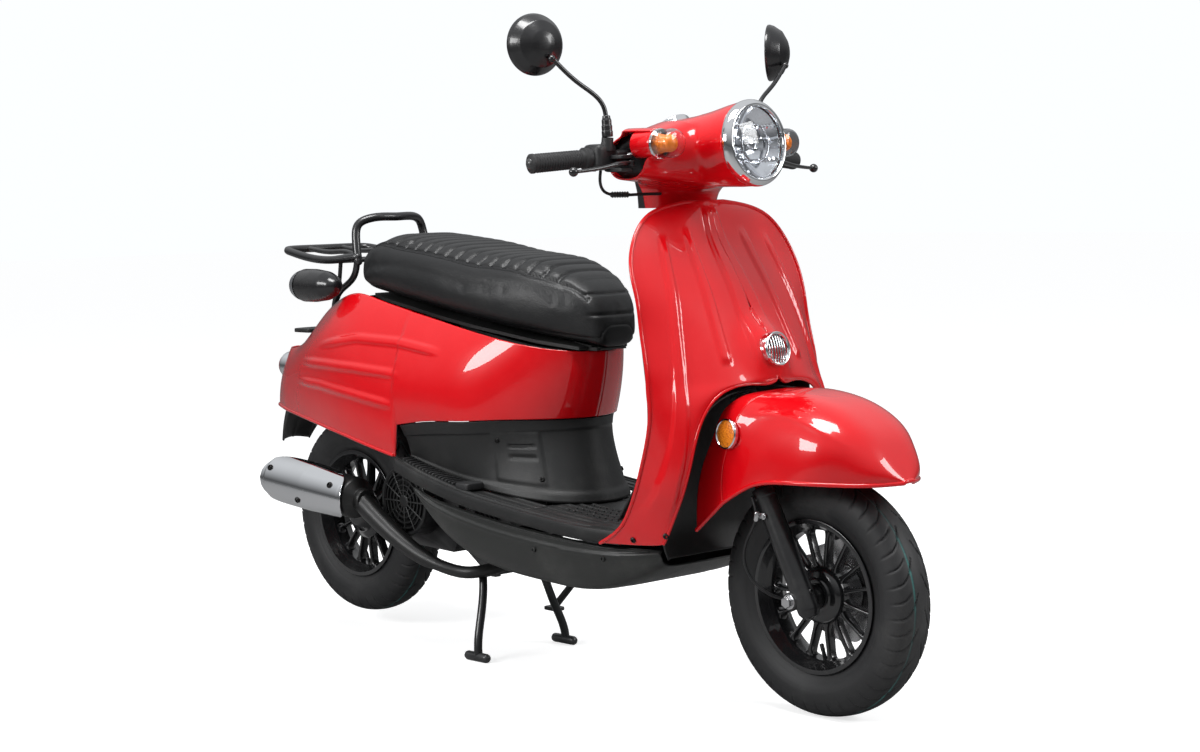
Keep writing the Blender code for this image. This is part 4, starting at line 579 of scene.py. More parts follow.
stanchion_chrome = finish_of("stanchion_chrome", (0.7, 0.71, 0.73), 0.1, metallic=1.0, dust=0.1, height=0.01)
leg_paint = finish_of("fork_leg_black", (0.007, 0.007, 0.008), 0.33, coat=0.2, dust=0.15, grain=900, height=0.05)
yoke_turn = np.stack([FORE, [0.0, 1.0, 0.0], UP_FORK])
fork_parts = [along(np.linspace(on_stem(0.302), on_stem(0.788), 3), 0.0145, 28, ends="flat"),
              rounded_box(on_stem(0.305, 0.0165), (0.078, 0.196, 0.024), yoke_turn, 0.22)]
piece("fork_yoke_and_stem", "steering", enamel, *fork_parts, stands_for="steering_fork", slot="black_steel")


def on_leg(s, y):
    """A point at distance s up a fork leg's line from the height of the axle."""
    return np.array([0.712, y, 0.217]) + UP_FORK * s


for label, sign in SIDES:
    y = sign * 0.077
    piece(f"stanchion_{label}", "steering", stanchion_chrome,
          turned([(0.09, 0), (0.09, 0.0133), (0.33, 0.0133), (0.33, 0)], on_leg(0, y), UP_FORK, 40),
          slot="chrome")
    body = eased([(-0.03, 0), (-0.03, 0.013), (-0.018, 0.02), (0.03, 0.0205), (0.15, 0.0198), (0.196, 0.0198),
                  (0.198, 0.0212), (0.215, 0.021), (0.215, 0.015), (0.03, 0.015), (0.03, 0)], 0.0022)
    lug = eased([(-0.02, 0), (-0.02, 0.0165), (0.02, 0.0165), (0.02, 0)], 0.002)
    parts = [turned(body, on_leg(0, y), UP_FORK, 56),
             turned(lug, FRONT_AXLE + [0, y, 0], (0, sign, 0), 40),
             *screw_grids(on_leg(0.012, y) + FORE * 0.0195, FORE, 0.005, 0.003)]
    if sign < 0:
        parts += [turned(eased([(0.031, 0), (0.031, 0.0235), (0.044, 0.024), (0.058, 0.0215), (0.06, 0.0)], 0.002),
                         FRONT_AXLE, (0, -1, 0), 64),
                  along(np.linspace(FRONT_AXLE + [0.0, -0.048, -0.012], FRONT_AXLE + [-0.03, -0.05, -0.006], 3),
                        0.0088, 24)]
    piece(f"fork_slider_{label}", "fork_lowers", leg_paint, *parts, stands_for=f"fork_leg_{label}",
          slot="black_steel")
piece("axle_and_nuts", "fork_lowers", steel,
      turned([(-0.098, 0), (-0.098, 0.0061), (0.098, 0.0061), (0.098, 0)], FRONT_AXLE, (0, 1, 0), 28),
      turned(eased([(0.098, 0), (0.098, 0.0108), (0.108, 0.0104), (0.108, 0)], 0.001), FRONT_AXLE, (0, -1, 0), 6),
      turned(eased([(0.098, 0), (0.098, 0.0108), (0.108, 0.0104), (0.108, 0)], 0.001), FRONT_AXLE, (0, 1, 0), 6),
      turned(eased([(0.0972, 0), (0.0972, 0.0135), (0.099, 0.0135), (0.099, 0)], 0.0006), FRONT_AXLE, (0, -1, 0),
             32),
      stands_for="front_axle", slot="bright_steel")

cable_rubber = finish_of("cable_sheath", (0.009, 0.009, 0.01), 0.42, dust=0.1, grain=1500, height=0.1)
speedo_route = through([(0.6572, -0.0506, 0.212), (0.648, -0.062, 0.2125), (0.63, -0.082, 0.222),
                        (0.602, -0.098, 0.25), (0.592, -0.104, 0.285), (0.604, -0.104, 0.325),
                        (0.622, -0.1035, 0.362), (0.612, -0.102, 0.395)], 90)
piece("speedometer_cable", "fork_lowers", cable_rubber, along(speedo_route, 0.0028, 14), stands_for="speedo_cable",
      slot="grip_rubber")
piece("speedometer_cable_fittings", "fork_lowers", steel,
      turned(eased([(-0.002, 0.003), (-0.002, 0.0082), (0.009, 0.0082), (0.01, 0.006), (0.018, 0.0046),
                    (0.018, 0.003)], 0.0008), (0.66, -0.05, 0.2115), (-0.72, -0.69, 0.03), 18),
      along(np.array([(0.6225, -0.1035, 0.356), (0.6245, -0.1035, 0.368)]), 0.0052, 20),
      rounded_box((0.63, -0.0985, 0.363), (0.02, 0.0035, 0.011), None, 0.3, 12),
      *screw_grids((0.6365, -0.1005, 0.363), (0, -1, 0), 0.004, 0.003, True), slot="bright_steel")

caliper_cast = finish_of("cast_caliper", (0.36, 0.36, 0.37), 0.42, metallic=0.85, dust=0.35, grain=420, height=0.25)
kept("brake_caliper", caliper_cast)


# ------------------------------------------------------------------ handlebar, grips and switch gear
# A bent steel bar in black enamel. Ribbed rubber grips, the right one turning as the throttle; glass-filled
# nylon switch housings clamp the bar inside them, and each carries a forged lever and a mirror's foot.

BAR_END = np.array([0.319, 0.3465, 0.989])
BAR_WAY = unit([0.2237, -1.0, 0.07])


def on_bar(y):
    """A point on the bar's straight outer part at that y, on either side."""
    p = BAR_END + BAR_WAY * ((BAR_END[1] - abs(y)) / -BAR_WAY[1])
    return np.array([p[0], y, p[2]])


bar_runs = []
for label, sign in SIDES:
    bend = through([on_stem(0.787, 0.0, -sign * 0.004), on_stem(0.799, 0.01, sign * 0.032),
                    (0.348, sign * 0.07, 0.975), on_bar(sign * 0.12), on_bar(sign * 0.165)], 40)
    bar_runs.append(along(np.concatenate([bend, [on_bar(sign * 0.343)]]), 0.011, 24))
bar_runs.append(turned(eased([(0.75, 0.015), (0.75, 0.019), (0.7885, 0.019), (0.7885, 0.015)], 0.002),
                       on_stem(0), UP_FORK, 40))
piece("bent_handlebar", "steering", enamel, *bar_runs, stands_for="handlebar", slot="black_steel")

grip_rubber = finish_of("grip_rubber", (0.01, 0.01, 0.011), 0.66, dust=0.12, grain=1300, height=0.3)
housing_nylon = finish_of("switch_nylon", (0.011, 0.011, 0.012), 0.45, dust=0.1, grain=1400, height=0.35)
lever_enamel = finish_of("lever_enamel", (0.01, 0.01, 0.011), 0.24, coat=0.5, dust=0.1, grain=700, height=0.04,
                         wear=0.3)


def grip_grid(centre, way):
    """The grip's radius along its length times its ribs: raised rings between two smooth collars, and broad
    flats that run along it, as a wave round the ring times a wave along it."""
    s = np.linspace(0.0, 0.1145, 260)
    a = np.linspace(0, 2 * np.pi, 73)
    base = np.interp(s, [0, 0.0048, 0.0078, 0.011, 0.06, 0.104, 0.1075, 0.112, 0.1145],
                     [0.0198, 0.02, 0.0166, 0.016, 0.0163, 0.0166, 0.0178, 0.0176, 0.0135])
    ribs = 0.0007 * np.tanh(3 * np.sin(2 * np.pi * s / 0.0052))
    ribs = ribs * ((s > 0.014) & (s < 0.102))
    radius = base[:, None] + ribs[:, None] * (0.6 + 0.4 * np.cos(6 * a)[None, :])
    first, second = square_to(way)
    ring = np.cos(a)[:, None] * first + np.sin(a)[:, None] * second
    skin_grid = centre + s[:, None, None] * unit(way) + radius[..., None] * ring[None]
    end = turned([(0.1145, 0.0135), (0.1145, 0.0)], centre, way, 72)
    start = turned([(0.0, 0.0118), (0.0, 0.0198)], centre, way, 72)
    return [skin_grid, end, start]


for label, sign in SIDES:
    out = unit(on_bar(sign * 0.3) - on_bar(sign * 0.2))
    turn = np.stack([np.cross([0.0, 0.0, 1.0], -out * sign), out * sign, [0.0, 0.0, 1.0]])
    if sign < 0:
        piece("ribbed_grip_right", "throttle", grip_rubber, *grip_grid(on_bar(-0.2345), out),
              stands_for="throttle_grip", slot="grip_rubber")
    else:
        piece("ribbed_grip_left", "steering", grip_rubber, *grip_grid(on_bar(0.2345), out),
              stands_for="grip_left", slot="grip_rubber")
    middle = on_bar(sign * 0.205)
    parts = [rounded_box(middle, (0.046, 0.05, 0.047), None, 0.38),
             along(np.linspace(on_bar(sign * 0.226), on_bar(sign * 0.2335), 3), 0.0185, 36, ends="flat"),
             along(np.linspace(on_bar(sign * 0.178), on_bar(sign * 0.184), 3), 0.0165, 36, ends="flat"),
             rounded_box((0.381, sign * 0.187, 0.9985), (0.046, 0.03, 0.0075), None, 0.3),
             rounded_box((0.381, sign * 0.187, 0.9755), (0.046, 0.03, 0.0075), None, 0.3),
             along(np.linspace(middle + [0.014, -sign * 0.004, 0.012], (0.3672, sign * 0.201, 1.0335), 4),
                   [0.0135, 0.0125, 0.0108, 0.0106], 28, ends="flat"),
             rounded_box(middle + [-0.02, -sign * 0.012, -0.01], (0.01, 0.013, 0.009), None, 0.5, 14),
             *screw_grids(middle + [0.0, sign * 0.015, -0.0235], (0, 0, -1), 0.0035, 0.002),
             *screw_grids(middle + [0.0, -sign * 0.015, -0.0235], (0, 0, -1), 0.0035, 0.002)]
    piece(f"switch_pod_{label}", "steering", housing_nylon, *parts, stands_for=f"switch_housing_{label}",
          slot="black_plastic")
    pivot = np.array([0.398, sign * 0.176, 0.987])
    blade = through([pivot + [0.0, sign * 0.004, 0], pivot + [0.006, sign * 0.03, -0.001],
                     pivot + [0.004, sign * 0.075, -0.008], pivot + [0.001, sign * 0.135, -0.014]], 60)
    thick = np.interp(np.linspace(0, 1, 60), [0, 0.15, 0.5, 1.0], [0.007, 0.0062, 0.005, 0.0042])
    ball_end = turned([(0.0084 * math.sin(b), 0.0084 * math.cos(b)) for b in np.linspace(-np.pi / 2, np.pi / 2, 18)],
                      pivot + [0.001, sign * 0.1385, -0.0142], (0, 1, 0), 32)
    piece(f"forged_lever_{label}", f"lever_{label}", lever_enamel, along(blade, thick, 20, (1.0, 0.72)), ball_end,
          turned(eased([(-0.0047, 0), (-0.0047, 0.0085), (0.0047, 0.0085), (0.0047, 0)], 0.001), pivot, (0, 0, 1),
                 32),
          stands_for=f"brake_lever_{label}", slot="black_steel")
    piece(f"lever_pivot_screw_{label}", "steering", steel,
          *screw_grids(pivot + [0, 0, 0.0155], (0, 0, 1), 0.0048, 0.003, True), slot="bright_steel")

button_red = finish_of("button_red", (0.55, 0.01, 0.01), 0.35, dust=0.05, grain=1200, height=0.1)
for label, sign, finish, slot in (("starter", -1.0, button_red, "red_lens"),
                                  ("horn", 1.0, housing_nylon, "black_plastic")):
    push = on_bar(sign * 0.205) + [-0.022, 0, 0.004]
    cap = eased([(-0.0045, 0), (-0.0045, 0.005), (0.0036, 0.005), (0.0042, 0.0036), (0.0034, 0)], 0.0008)
    piece(f"{label}_push_button", f"{label}_button", finish, turned(cap, push, (-1, 0, 0), 32),
          stands_for=f"{label}_button", slot=slot)

throttle_route = through([(0.351, -0.205, 0.9742), (0.349, -0.205, 0.958), (0.343, -0.19, 0.938),
                          (0.345, -0.165, 0.931), (0.365, -0.12, 0.931), (0.376, -0.08, 0.931)], 80)
s = np.linspace(0, 1, 90)
folds = 0.005 + 0.0009 * np.sin(s * 2 * np.pi * 7) - 0.0022 * (s > 0.93)
bellows_path = np.linspace((0.3445, -0.172, 0.9314), (0.3565, -0.14, 0.9311), 90)
piece("throttle_cable_and_bellows", "steering", cable_rubber, along(throttle_route, 0.0028, 14),
      along(bellows_path, folds, 24), stands_for="throttle_cable", slot="grip_rubber")


# ------------------------------------------------------------------ mirrors
# Two round mirrors. A rubber boot covers each stem's foot; the bent steel stem ends in a ball joint behind
# the moulded shell, which holds a slightly domed glass in a thin rim.

shell_plastic = finish_of("mirror_shell", (0.007, 0.007, 0.008), 0.26, coat=0.3, dust=0.1, grain=900, height=0.05)
mirror_glass = finish_of("mirror_glass", (0.86, 0.88, 0.9), 0.02, metallic=1.0, dust=0.03, height=0.0, drift=0.0)
MIRROR_HEADS = {"right": (np.array([0.3044, -0.3085, 1.2]), (-0.9744, 0.225, 0.0)),
                "left": (np.array([0.3, 0.3163, 1.2]), (-0.829, -0.5592, 0.0))}
for label, sign in SIDES:
    stem = through([(0.3655, sign * 0.201, 1.06), (0.361, sign * 0.203, 1.088), (0.35, sign * 0.25, 1.129),
                    (0.3395, sign * 0.301, 1.171)], 60)
    boot = eased([(-0.0152, 0.0), (-0.0152, 0.01), (-0.006, 0.0102), (-0.004, 0.0094), (0.004, 0.0098),
                  (0.006, 0.0088), (0.014, 0.009), (0.018, 0.0074), (0.0225, 0.007), (0.024, 0.0)], 0.001)
    joint = turned([(0.0066 * math.sin(b), 0.0066 * math.cos(b)) for b in np.linspace(-np.pi / 2, np.pi / 2, 18)],
                   (0.3385, sign * 0.3045, 1.173), (0, 0, 1), 28)
    piece(f"mirror_arm_{label}", f"mirror_stem_{label}", enamel, along(stem, 0.0042, 18), joint,
          turned(boot, (0.3662, sign * 0.201, 1.05), (-0.06, 0.0, 1.0), 36),
          stands_for=f"mirror_stem_{label}", slot="black_steel")
    head, look = MIRROR_HEADS[label]
    back_of = eased([(-0.03, 0.0), (-0.0292, 0.012), (-0.0262, 0.023), (-0.016, 0.0415), (0.0, 0.0525),
                     (0.008, 0.0553), (0.0118, 0.0548), (0.0118, 0.0515), (0.0098, 0.0505), (0.0098, 0.0)], 0.0015)
    piece(f"mirror_shell_{label}", f"mirror_head_{label}", shell_plastic, turned(back_of, head, look, 96),
          stands_for=f"mirror_head_{label}", slot="black_plastic")
    dome = [(0.0098 + 0.0012 * (1 - (r / 0.0505) ** 2), r) for r in np.linspace(0.0504, 0, 12)]
    piece(f"mirror_glass_{label}", f"mirror_head_{label}", mirror_glass, turned(dome, head, look, 72),
          slot="chrome", out=look, wall=0.0008)


# ------------------------------------------------------------------ headlamp nacelle
# A gloss red shell in the shape of a T on a neck: a cone holds the headlamp, and two arms cover the bar. A
# short sleeve on each arm holds an indicator. A black cover with the speedometer closes it from behind.

red_gloss = finish_of("red_gloss", (0.6, 0.0012, 0.005), 0.26, coat=1.0, coat_roughness=0.02, dust=0.04, drift=0.03,
                      grain=160, height=0.004, specular=0.15)
LAMP = np.array([0.53, 0.0, 1.0175])
LAMP_WAY = unit([0.995, 0.0, 0.0998])
ARM_SECTIONS = np.array([(0.0, 0.388, 0.08, 1.004, 0.064), (0.06, 0.386, 0.076, 1.004, 0.059),
                         (0.12, 0.382, 0.06, 0.999, 0.0475), (0.17, 0.378, 0.046, 0.9945, 0.0375)])
NECK_SECTIONS = np.array([(0.89, 0.336, 0.0495, 0.08), (0.905, 0.338, 0.05, 0.081),
                          (0.93, 0.342, 0.052, 0.086), (0.965, 0.35, 0.056, 0.1)])


def nacelle_field(p):
    """How far points lie outside the nacelle, negative inside: the soft union -k ln(sum exp(-f / k)) of a
    cone about the lamp's axis, arms and a neck with superellipse sections, and two sleeves."""
    ahead = (p - LAMP) @ LAMP_WAY
    from_axis = np.linalg.norm(p - LAMP - ahead[..., None] * LAMP_WAY, axis=-1)
    cone = np.maximum(from_axis - np.interp(ahead, [-0.165, -0.1, -0.03, 0.0, 0.05],
                                            [0.052, 0.0665, 0.075, 0.0772, 0.079]), -0.165 - ahead)
    y = np.abs(p[..., 1])
    x, deep, z, high = (np.interp(y, ARM_SECTIONS[:, 0], ARM_SECTIONS[:, k]) for k in (1, 2, 3, 4))
    arms = ((np.abs((p[..., 0] - x) / deep) ** 2.5 + np.abs((p[..., 2] - z) / high) ** 2.5) ** 0.4 - 1) * high
    x, deep, wide = (np.interp(p[..., 2], NECK_SECTIONS[:, 0], NECK_SECTIONS[:, k]) for k in (1, 2, 3))
    neck = ((np.abs((p[..., 0] - x) / deep) ** 2.5 + np.abs(y / wide) ** 2.5) ** 0.4 - 1) * deep
    neck = np.maximum(neck, p[..., 2] - 0.985)
    sleeve = np.hypot(y - 0.15, p[..., 2] - 1.02) - 0.0287
    sleeve = np.maximum(sleeve, np.maximum(p[..., 0] - 0.444, 0.37 - p[..., 0]))
    k = 0.0065
    fields = np.stack([cone, arms, neck, sleeve])
    low = fields.min(axis=0)
    return low - k * np.log(np.exp(-(fields - low) / k).sum(axis=0))


def nacelle_grid(shrink=0.0):
    """The nacelle's skin seen from a point inside it: along each ray of a globe whose poles lie on Y, the
    distance where the field crosses zero is found by halving an interval 40 times."""
    heart = np.array([0.392, 0.0, 1.0])
    polar = np.linspace(0, np.pi, 210)[:, None]
    turn = np.linspace(0, 2 * np.pi, 281)[None, :]
    ray = np.stack([np.sin(polar) * np.cos(turn), np.cos(polar) * np.ones_like(turn),
                    np.sin(polar) * np.sin(turn)], axis=-1)
    near, far = np.zeros(ray.shape[:2]), np.full(ray.shape[:2], 0.3)
    for _ in range(40):
        half = (near + far) / 2
        inside = nacelle_field(heart + ray * half[..., None]) < -shrink
        near, far = np.where(inside, half, near), np.where(inside, far, half)
    return heart + ray * near[..., None]


def trimmed(obj, *planes):
    """Cuts an object's mesh by planes given as (point, direction), keeping what lies behind each."""
    made = bmesh.new()
    made.from_mesh(obj.data)
    for point, way in planes:
        place = Vector(point) + Vector((DRAWN_ZERO, 0, 0))
        bmesh.ops.bisect_plane(made, geom=made.verts[:] + made.edges[:] + made.faces[:], dist=1e-6,
                               plane_co=place, plane_no=Vector(way), clear_outer=True)
    made.to_mesh(obj.data)
    made.free()
    obj.data.shade_smooth()
    obj.data.set_sharp_from_angle(angle=math.radians(38))
    return obj


skin_grid = nacelle_grid()
ends = [((0, 0.167, 0), (0, 1, 0)), ((0, -0.167, 0), (0, -1, 0)), ((0, 0, 0.905), (0, 0, -1))]
front_shell = piece("nacelle_front", "steering", red_gloss, skin_grid, stands_for="headlight_cowl", slot="red_paint",
                    wall=0.003, sharp=60)
trimmed(front_shell, (tuple(LAMP), tuple(LAMP_WAY)), *ends, ((0.3365, 0, 0), (-1, 0, 0)))
rear_shell = piece("nacelle_rear", "steering", housing_nylon, skin_grid, stands_for="instrument_cover",
                   slot="black_plastic", wall=0.003, sharp=60)
trimmed(rear_shell, *ends, ((0.3358, 0, 0), (1, 0, 0)))
for label, sign in SIDES:
    ring_y, ring_x, ring_z = 0.15, 0.3805, 0.9965
    a = np.linspace(0, 2 * np.pi, 49)
    c, s = (np.sign(f) * np.abs(f) ** 0.8 for f in (np.cos(a), np.sin(a)))
    ring = np.stack([ring_x + 0.049 * c, np.full_like(a, sign * ring_y), ring_z + 0.0395 * s], axis=-1)
    hole = np.stack([on_bar(sign * ring_y)[0] + 0.0112 * c, np.full_like(a, sign * ring_y),
                     on_bar(sign * ring_y)[2] + 0.0112 * s], axis=-1)
    piece(f"nacelle_end_shade_{label}", "steering", housing_nylon, np.stack([ring, (ring + hole) / 2, hole]),
          out=(0, sign, 0), wall=0.001, slot="black_plastic")

chrome = finish_of("chrome_plate", (0.8, 0.81, 0.83), 0.045, metallic=1.0, dust=0.06, drift=0.02, grain=120,
                   height=0.004)
dial_face = finish_of("dial_face", (0.72, 0.72, 0.7), 0.4, dust=0.0, height=0.0)
dial_ink = finish_of("dial_ink", (0.02, 0.02, 0.02), 0.5, dust=0.0, height=0.0)
dial_red = finish_of("dial_needle", (0.6, 0.02, 0.01), 0.4, dust=0.0, height=0.0)
DIAL_WAY = unit([-0.55, 0.0, 0.83])
DIAL = np.array([0.333, 0.0, 1.052])
dial_first, dial_second = np.array([0.0, -1.0, 0.0]), np.cross(DIAL_WAY, [0.0, -1.0, 0.0])
piece("speedometer_bezel", "steering", chrome,
      turned(eased([(-0.012, 0.0345), (0.006, 0.0345), (0.0085, 0.0325), (0.0075, 0.03), (0.002, 0.0295),
                    (0.002, 0.0)], 0.0012), DIAL, DIAL_WAY, 96), slot="chrome")
piece("speedometer_face", "steering", dial_face,
      turned([(0.0024, 0.0294), (0.0026, 0.0)], DIAL, DIAL_WAY, 96), slot="clear_lens", out=tuple(DIAL_WAY),
      wall=0.0004)
ticks = []
for k, sweep in enumerate(np.radians(np.linspace(215, -35, 26))):
    ray = math.cos(sweep) * -dial_first + math.sin(sweep) * dial_second
    cross = np.cross(DIAL_WAY, ray)
    inner, half = (0.021, 0.00055) if k % 5 == 0 else (0.024, 0.00028)
    base = DIAL + DIAL_WAY * 0.0031
    corners = [base + ray * r + cross * w for r in (inner, 0.0275) for w in (-half, half)]
    ticks.append(np.array(corners).reshape(2, 2, 3))
piece("speedometer_ticks", "steering", dial_ink, *ticks, slot="black_plastic", out=tuple(DIAL_WAY), wall=0.0002)
needle_way = math.cos(math.radians(205)) * -dial_first + math.sin(math.radians(205)) * dial_second
piece("speedometer_needle", "steering", dial_red,
      along(np.linspace(DIAL + DIAL_WAY * 0.0045 - needle_way * 0.005, DIAL + DIAL_WAY * 0.0045 + needle_way * 0.024,
                        8), np.linspace(0.0011, 0.0004, 8), 8),
      turned([(0.003, 0.0032), (0.0055, 0.003), (0.006, 0.0)], DIAL, DIAL_WAY, 24), slot="red_lens")


# ------------------------------------------------------------------ front fender
# A deep red moulding bolted under the yoke, so it turns with the fork. A bead stiffens its lower edge, a
# soft crease runs along each shoulder, and its rear band turns in. An amber reflector sits in a chrome ring.

FENDER_TOP = [(0.884, 0.434), (0.868, 0.462), (0.843, 0.5), (0.807, 0.533), (0.74, 0.567), (0.669, 0.58)]
FENDER_EDGE = [(0.882, 0.012, 0.431), (0.855, 0.06, 0.43), (0.82, 0.088, 0.43), (0.762, 0.118, 0.431),
               (0.69, 0.125, 0.429), (0.629, 0.125, 0.418)]
FENDER_REAR = [(0.491, 0.12, 0.327), (0.485, 0.112, 0.377), (0.499, 0.11, 0.443), (0.526, 0.108, 0.5),
               (0.545, 0.1, 0.545), (0.572, 0.08, 0.57), (0.595, 0.04, 0.578), (0.602, 0, 0.58)]
FENDER_MIDDLE = [(0.56, 0.124, 0.382), (0.556, 0.121, 0.41), (0.562, 0.121, 0.455), (0.58, 0.119, 0.505),
                 (0.594, 0.108, 0.545), (0.61, 0.084, 0.57), (0.628, 0.042, 0.578), (0.632, 0, 0.58)]


def facing(grid, way):
    """Unit normals of a grid of points from its own differences, turned to face way."""
    normal = unit(np.cross(np.gradient(grid, axis=0), np.gradient(grid, axis=1)))
    if (normal @ np.asarray(way, float)).sum() < 0:
        normal = -normal
    return normal


def mirrored_across(rows):
    """Rows from the left edge to the centre line, carried on to the right edge by their mirror images."""
    rows = np.asarray(rows, float)
    return np.concatenate([rows, rows[:, -2::-1] * [1, -1, 1]], axis=1)


turn = np.radians(np.linspace(0, 90, 8))
top = np.array([(x, 0.0, z) for x, z in FENDER_TOP])
edge = np.array(FENDER_EDGE)
up = np.sin(turn) ** 0.85
ribs = np.stack([edge[:, None, 0] + (top - edge)[:, None, 0] * up,
                 edge[:, None, 1] * np.maximum(np.cos(turn), 0) ** 0.55,
                 edge[:, None, 2] + (top - edge)[:, None, 2] * up], axis=-1)
ribs[:, -1, 1] = 0.0
front_rows = mirrored_across(np.concatenate([ribs, [FENDER_MIDDLE]]))
front_form = through(through(front_rows, 130).swapaxes(0, 1), 150).swapaxes(0, 1)
band_rows = np.stack([np.linspace(0, 1, 24)[:, None, None] * (np.array(FENDER_REAR) - FENDER_MIDDLE)
                      + FENDER_MIDDLE])[0]
band_form = through(mirrored_across(band_rows).swapaxes(0, 1), 150).swapaxes(0, 1)
across_share = np.abs(np.linspace(-1, 1, 150))[None, :]
along_share = np.linspace(0, 1, 130)[:, None]
crease = 0.0016 * np.exp(-((across_share - 0.5) / 0.03) ** 2) * np.clip((along_share - 0.3) * 4, 0, 1) \
    * np.clip((0.98 - along_share) * 8, 0, 1)
front_form = front_form + crease[..., None] * facing(front_form, (0.3, 0, 1))
hem_left = np.concatenate([front_form[:, 0], band_form[1:, 0]])
hem_right = hem_left * [1, -1, 1]
hem_nose = front_form[0]
piece("fender_moulding", "steering", red_gloss, front_form, band_form, stands_for="front_fender", slot="red_paint",
      out=(0.2, 0, 1), wall=0.003, sharp=30)
piece("fender_bead", "steering", red_gloss,
      along(np.concatenate([hem_left[::-1], hem_nose[1:-1], hem_right]) + [0.0, 0.0, 0.0005], 0.004, 16),
      slot="red_paint")
amber = bpy.data.materials.new("amber_reflector")
amber.use_nodes = True
amber_shader = amber.node_tree.nodes["Principled BSDF"]
prisms = node(amber.node_tree, "ShaderNodeTexVoronoi",
              {"Vector": node(amber.node_tree, "ShaderNodeTexCoord").outputs["Object"], "Scale": 330.0})
glow = node(amber.node_tree, "ShaderNodeMix", {"Factor": prisms.outputs["Distance"]}, data_type="RGBA")
glow.inputs["A"].default_value = (0.95, 0.3, 0.02, 1.0)
glow.inputs["B"].default_value = (0.45, 0.09, 0.005, 1.0)
amber.node_tree.links.new(glow.outputs["Result"], amber_shader.inputs["Base Color"])
prism_bump = node(amber.node_tree, "ShaderNodeBump", {"Height": prisms.outputs["Distance"], "Strength": 0.5,
                                                      "Distance": 0.001})
amber.node_tree.links.new(prism_bump.outputs["Normal"], amber_shader.inputs["Normal"])
amber_shader.inputs["Roughness"].default_value = 0.25
amber_shader.inputs["Coat Weight"].default_value = 1.0
for label, sign in SIDES:
    spot = np.array([0.5715, sign * 0.1195, 0.506])
    look = unit([-0.1, sign, 0.1])
    piece(f"fender_reflector_ring_{label}", "steering", chrome,
          turned(eased([(-0.002, 0.0235), (-0.002, 0.0275), (0.005, 0.027), (0.0065, 0.0245), (0.004, 0.0232),
                        (-0.002, 0.0235)], 0.0008), spot, look, 64), slot="chrome")
    piece(f"fender_reflector_{label}", "steering", amber,
          turned([(-0.001, 0.0), (-0.001, 0.0236), (0.004, 0.0236), (0.0052, 0.018), (0.0056, 0.0)], spot, look, 64),
          slot="amber_lens")


# ------------------------------------------------------------------ leg shield
# The tall red shield ahead of the rider's legs. A ridge widens down its middle to the horn, two raised
# flutes stand on each side, and its edge is rolled. Black screws hold the flanks to the splash guard.

SHIELD = [((0.409, 0.05, 0.9145), (0.4135, 0, 0.9165)), ((0.41, 0.12, 0.903), (0.424, 0, 0.89)),
          ((0.416, 0.169, 0.88), (0.435, 0, 0.855)), ((0.431, 0.212, 0.816), (0.462, 0, 0.81)),
          ((0.451, 0.219, 0.751), (0.5, 0, 0.75)), ((0.463, 0.22, 0.682), (0.545, 0, 0.66)),
          ((0.476, 0.222, 0.62), (0.578, 0, 0.597)), ((0.478, 0.222, 0.58), (0.566, 0.08, 0.589)),
          ((0.479, 0.22, 0.545), (0.555, 0.135, 0.566)), ((0.472, 0.22, 0.5), (0.547, 0.165, 0.52)),
          ((0.458, 0.22, 0.455), (0.54, 0.18, 0.462)), ((0.444, 0.22, 0.416), (0.528, 0.187, 0.41)),
          ((0.418, 0.215, 0.37), (0.505, 0.189, 0.36)), ((0.385, 0.21, 0.331), (0.49, 0.19, 0.33)),
          ((0.322, 0.2, 0.297), (0.477, 0.19, 0.309))]
HORN = np.array([0.56, 0.0, 0.6455])
HORN_WAY = unit([0.985, 0.0, 0.17])


def between(stations, rows, columns, swell):
    """A panel from its edge line (q = 1) to its inner line (q = 0): y and z run straight across, and x runs
    by swell(q), which is 0 at the edge and 1 at the inner line. Both lines are splines through stations."""
    lines = through(stations, rows)
    q = np.linspace(1, 0, columns)[None, :]
    edge_line, inner = lines[:, None, 0], lines[:, None, 1]
    x = edge_line[..., 0] + (inner[..., 0] - edge_line[..., 0]) * swell(q)
    y = inner[..., 1] + (edge_line[..., 1] - inner[..., 1]) * q
    z = edge_line[..., 2] + (inner[..., 2] - edge_line[..., 2]) * (1 - q)
    return np.stack([x, y, z], axis=-1)


def smooth_step(value, low, high):
    """0 below low, 1 above high, and 3 t^2 - 2 t^3 between them."""
    t = np.clip((value - low) / (high - low), 0, 1)
    return t * t * (3 - 2 * t)


def stripe(off, half, soft):
    """1 within half of the line, falling to 0 over soft."""
    return 1 - smooth_step(np.abs(off), half, half + soft)


shield_half = between(SHIELD, 208, 80, lambda q: 1 - q * q)
y, z = shield_half[..., 1], shield_half[..., 2]
ridge = 0.006 * stripe(y, 0.012 + (0.895 - z) * 0.085, 0.01) * smooth_step(z, 0.6, 0.64) \
    * (1 - smooth_step(z, 0.885, 0.91))
first_flute = stripe(y - (0.07 + (0.88 - z) * 0.1), 0.006, 0.006) * smooth_step(z, 0.622, 0.64) \
    * (1 - smooth_step(z, 0.835, 0.872))
outer_line = np.interp(z, [0.3, 0.42, 0.55, 0.7, 0.87], [0.201, 0.203, 0.188, 0.164, 0.13])
second_flute = stripe(y - outer_line, 0.005, 0.006) * smooth_step(z, 0.335, 0.4) \
    * (1 - smooth_step(z, 0.82, 0.86))
rise = ridge + 0.005 * first_flute + 0.005 * second_flute
rise = rise + 0.018 * np.exp(-(((y / 0.05) ** 2 + ((z - 0.643) / 0.052) ** 2) ** 1.5))
shield_form = shield_half + rise[..., None] * facing(shield_half, (1, 0.0, 0))
shield_right = shield_form * [1, -1, 1]
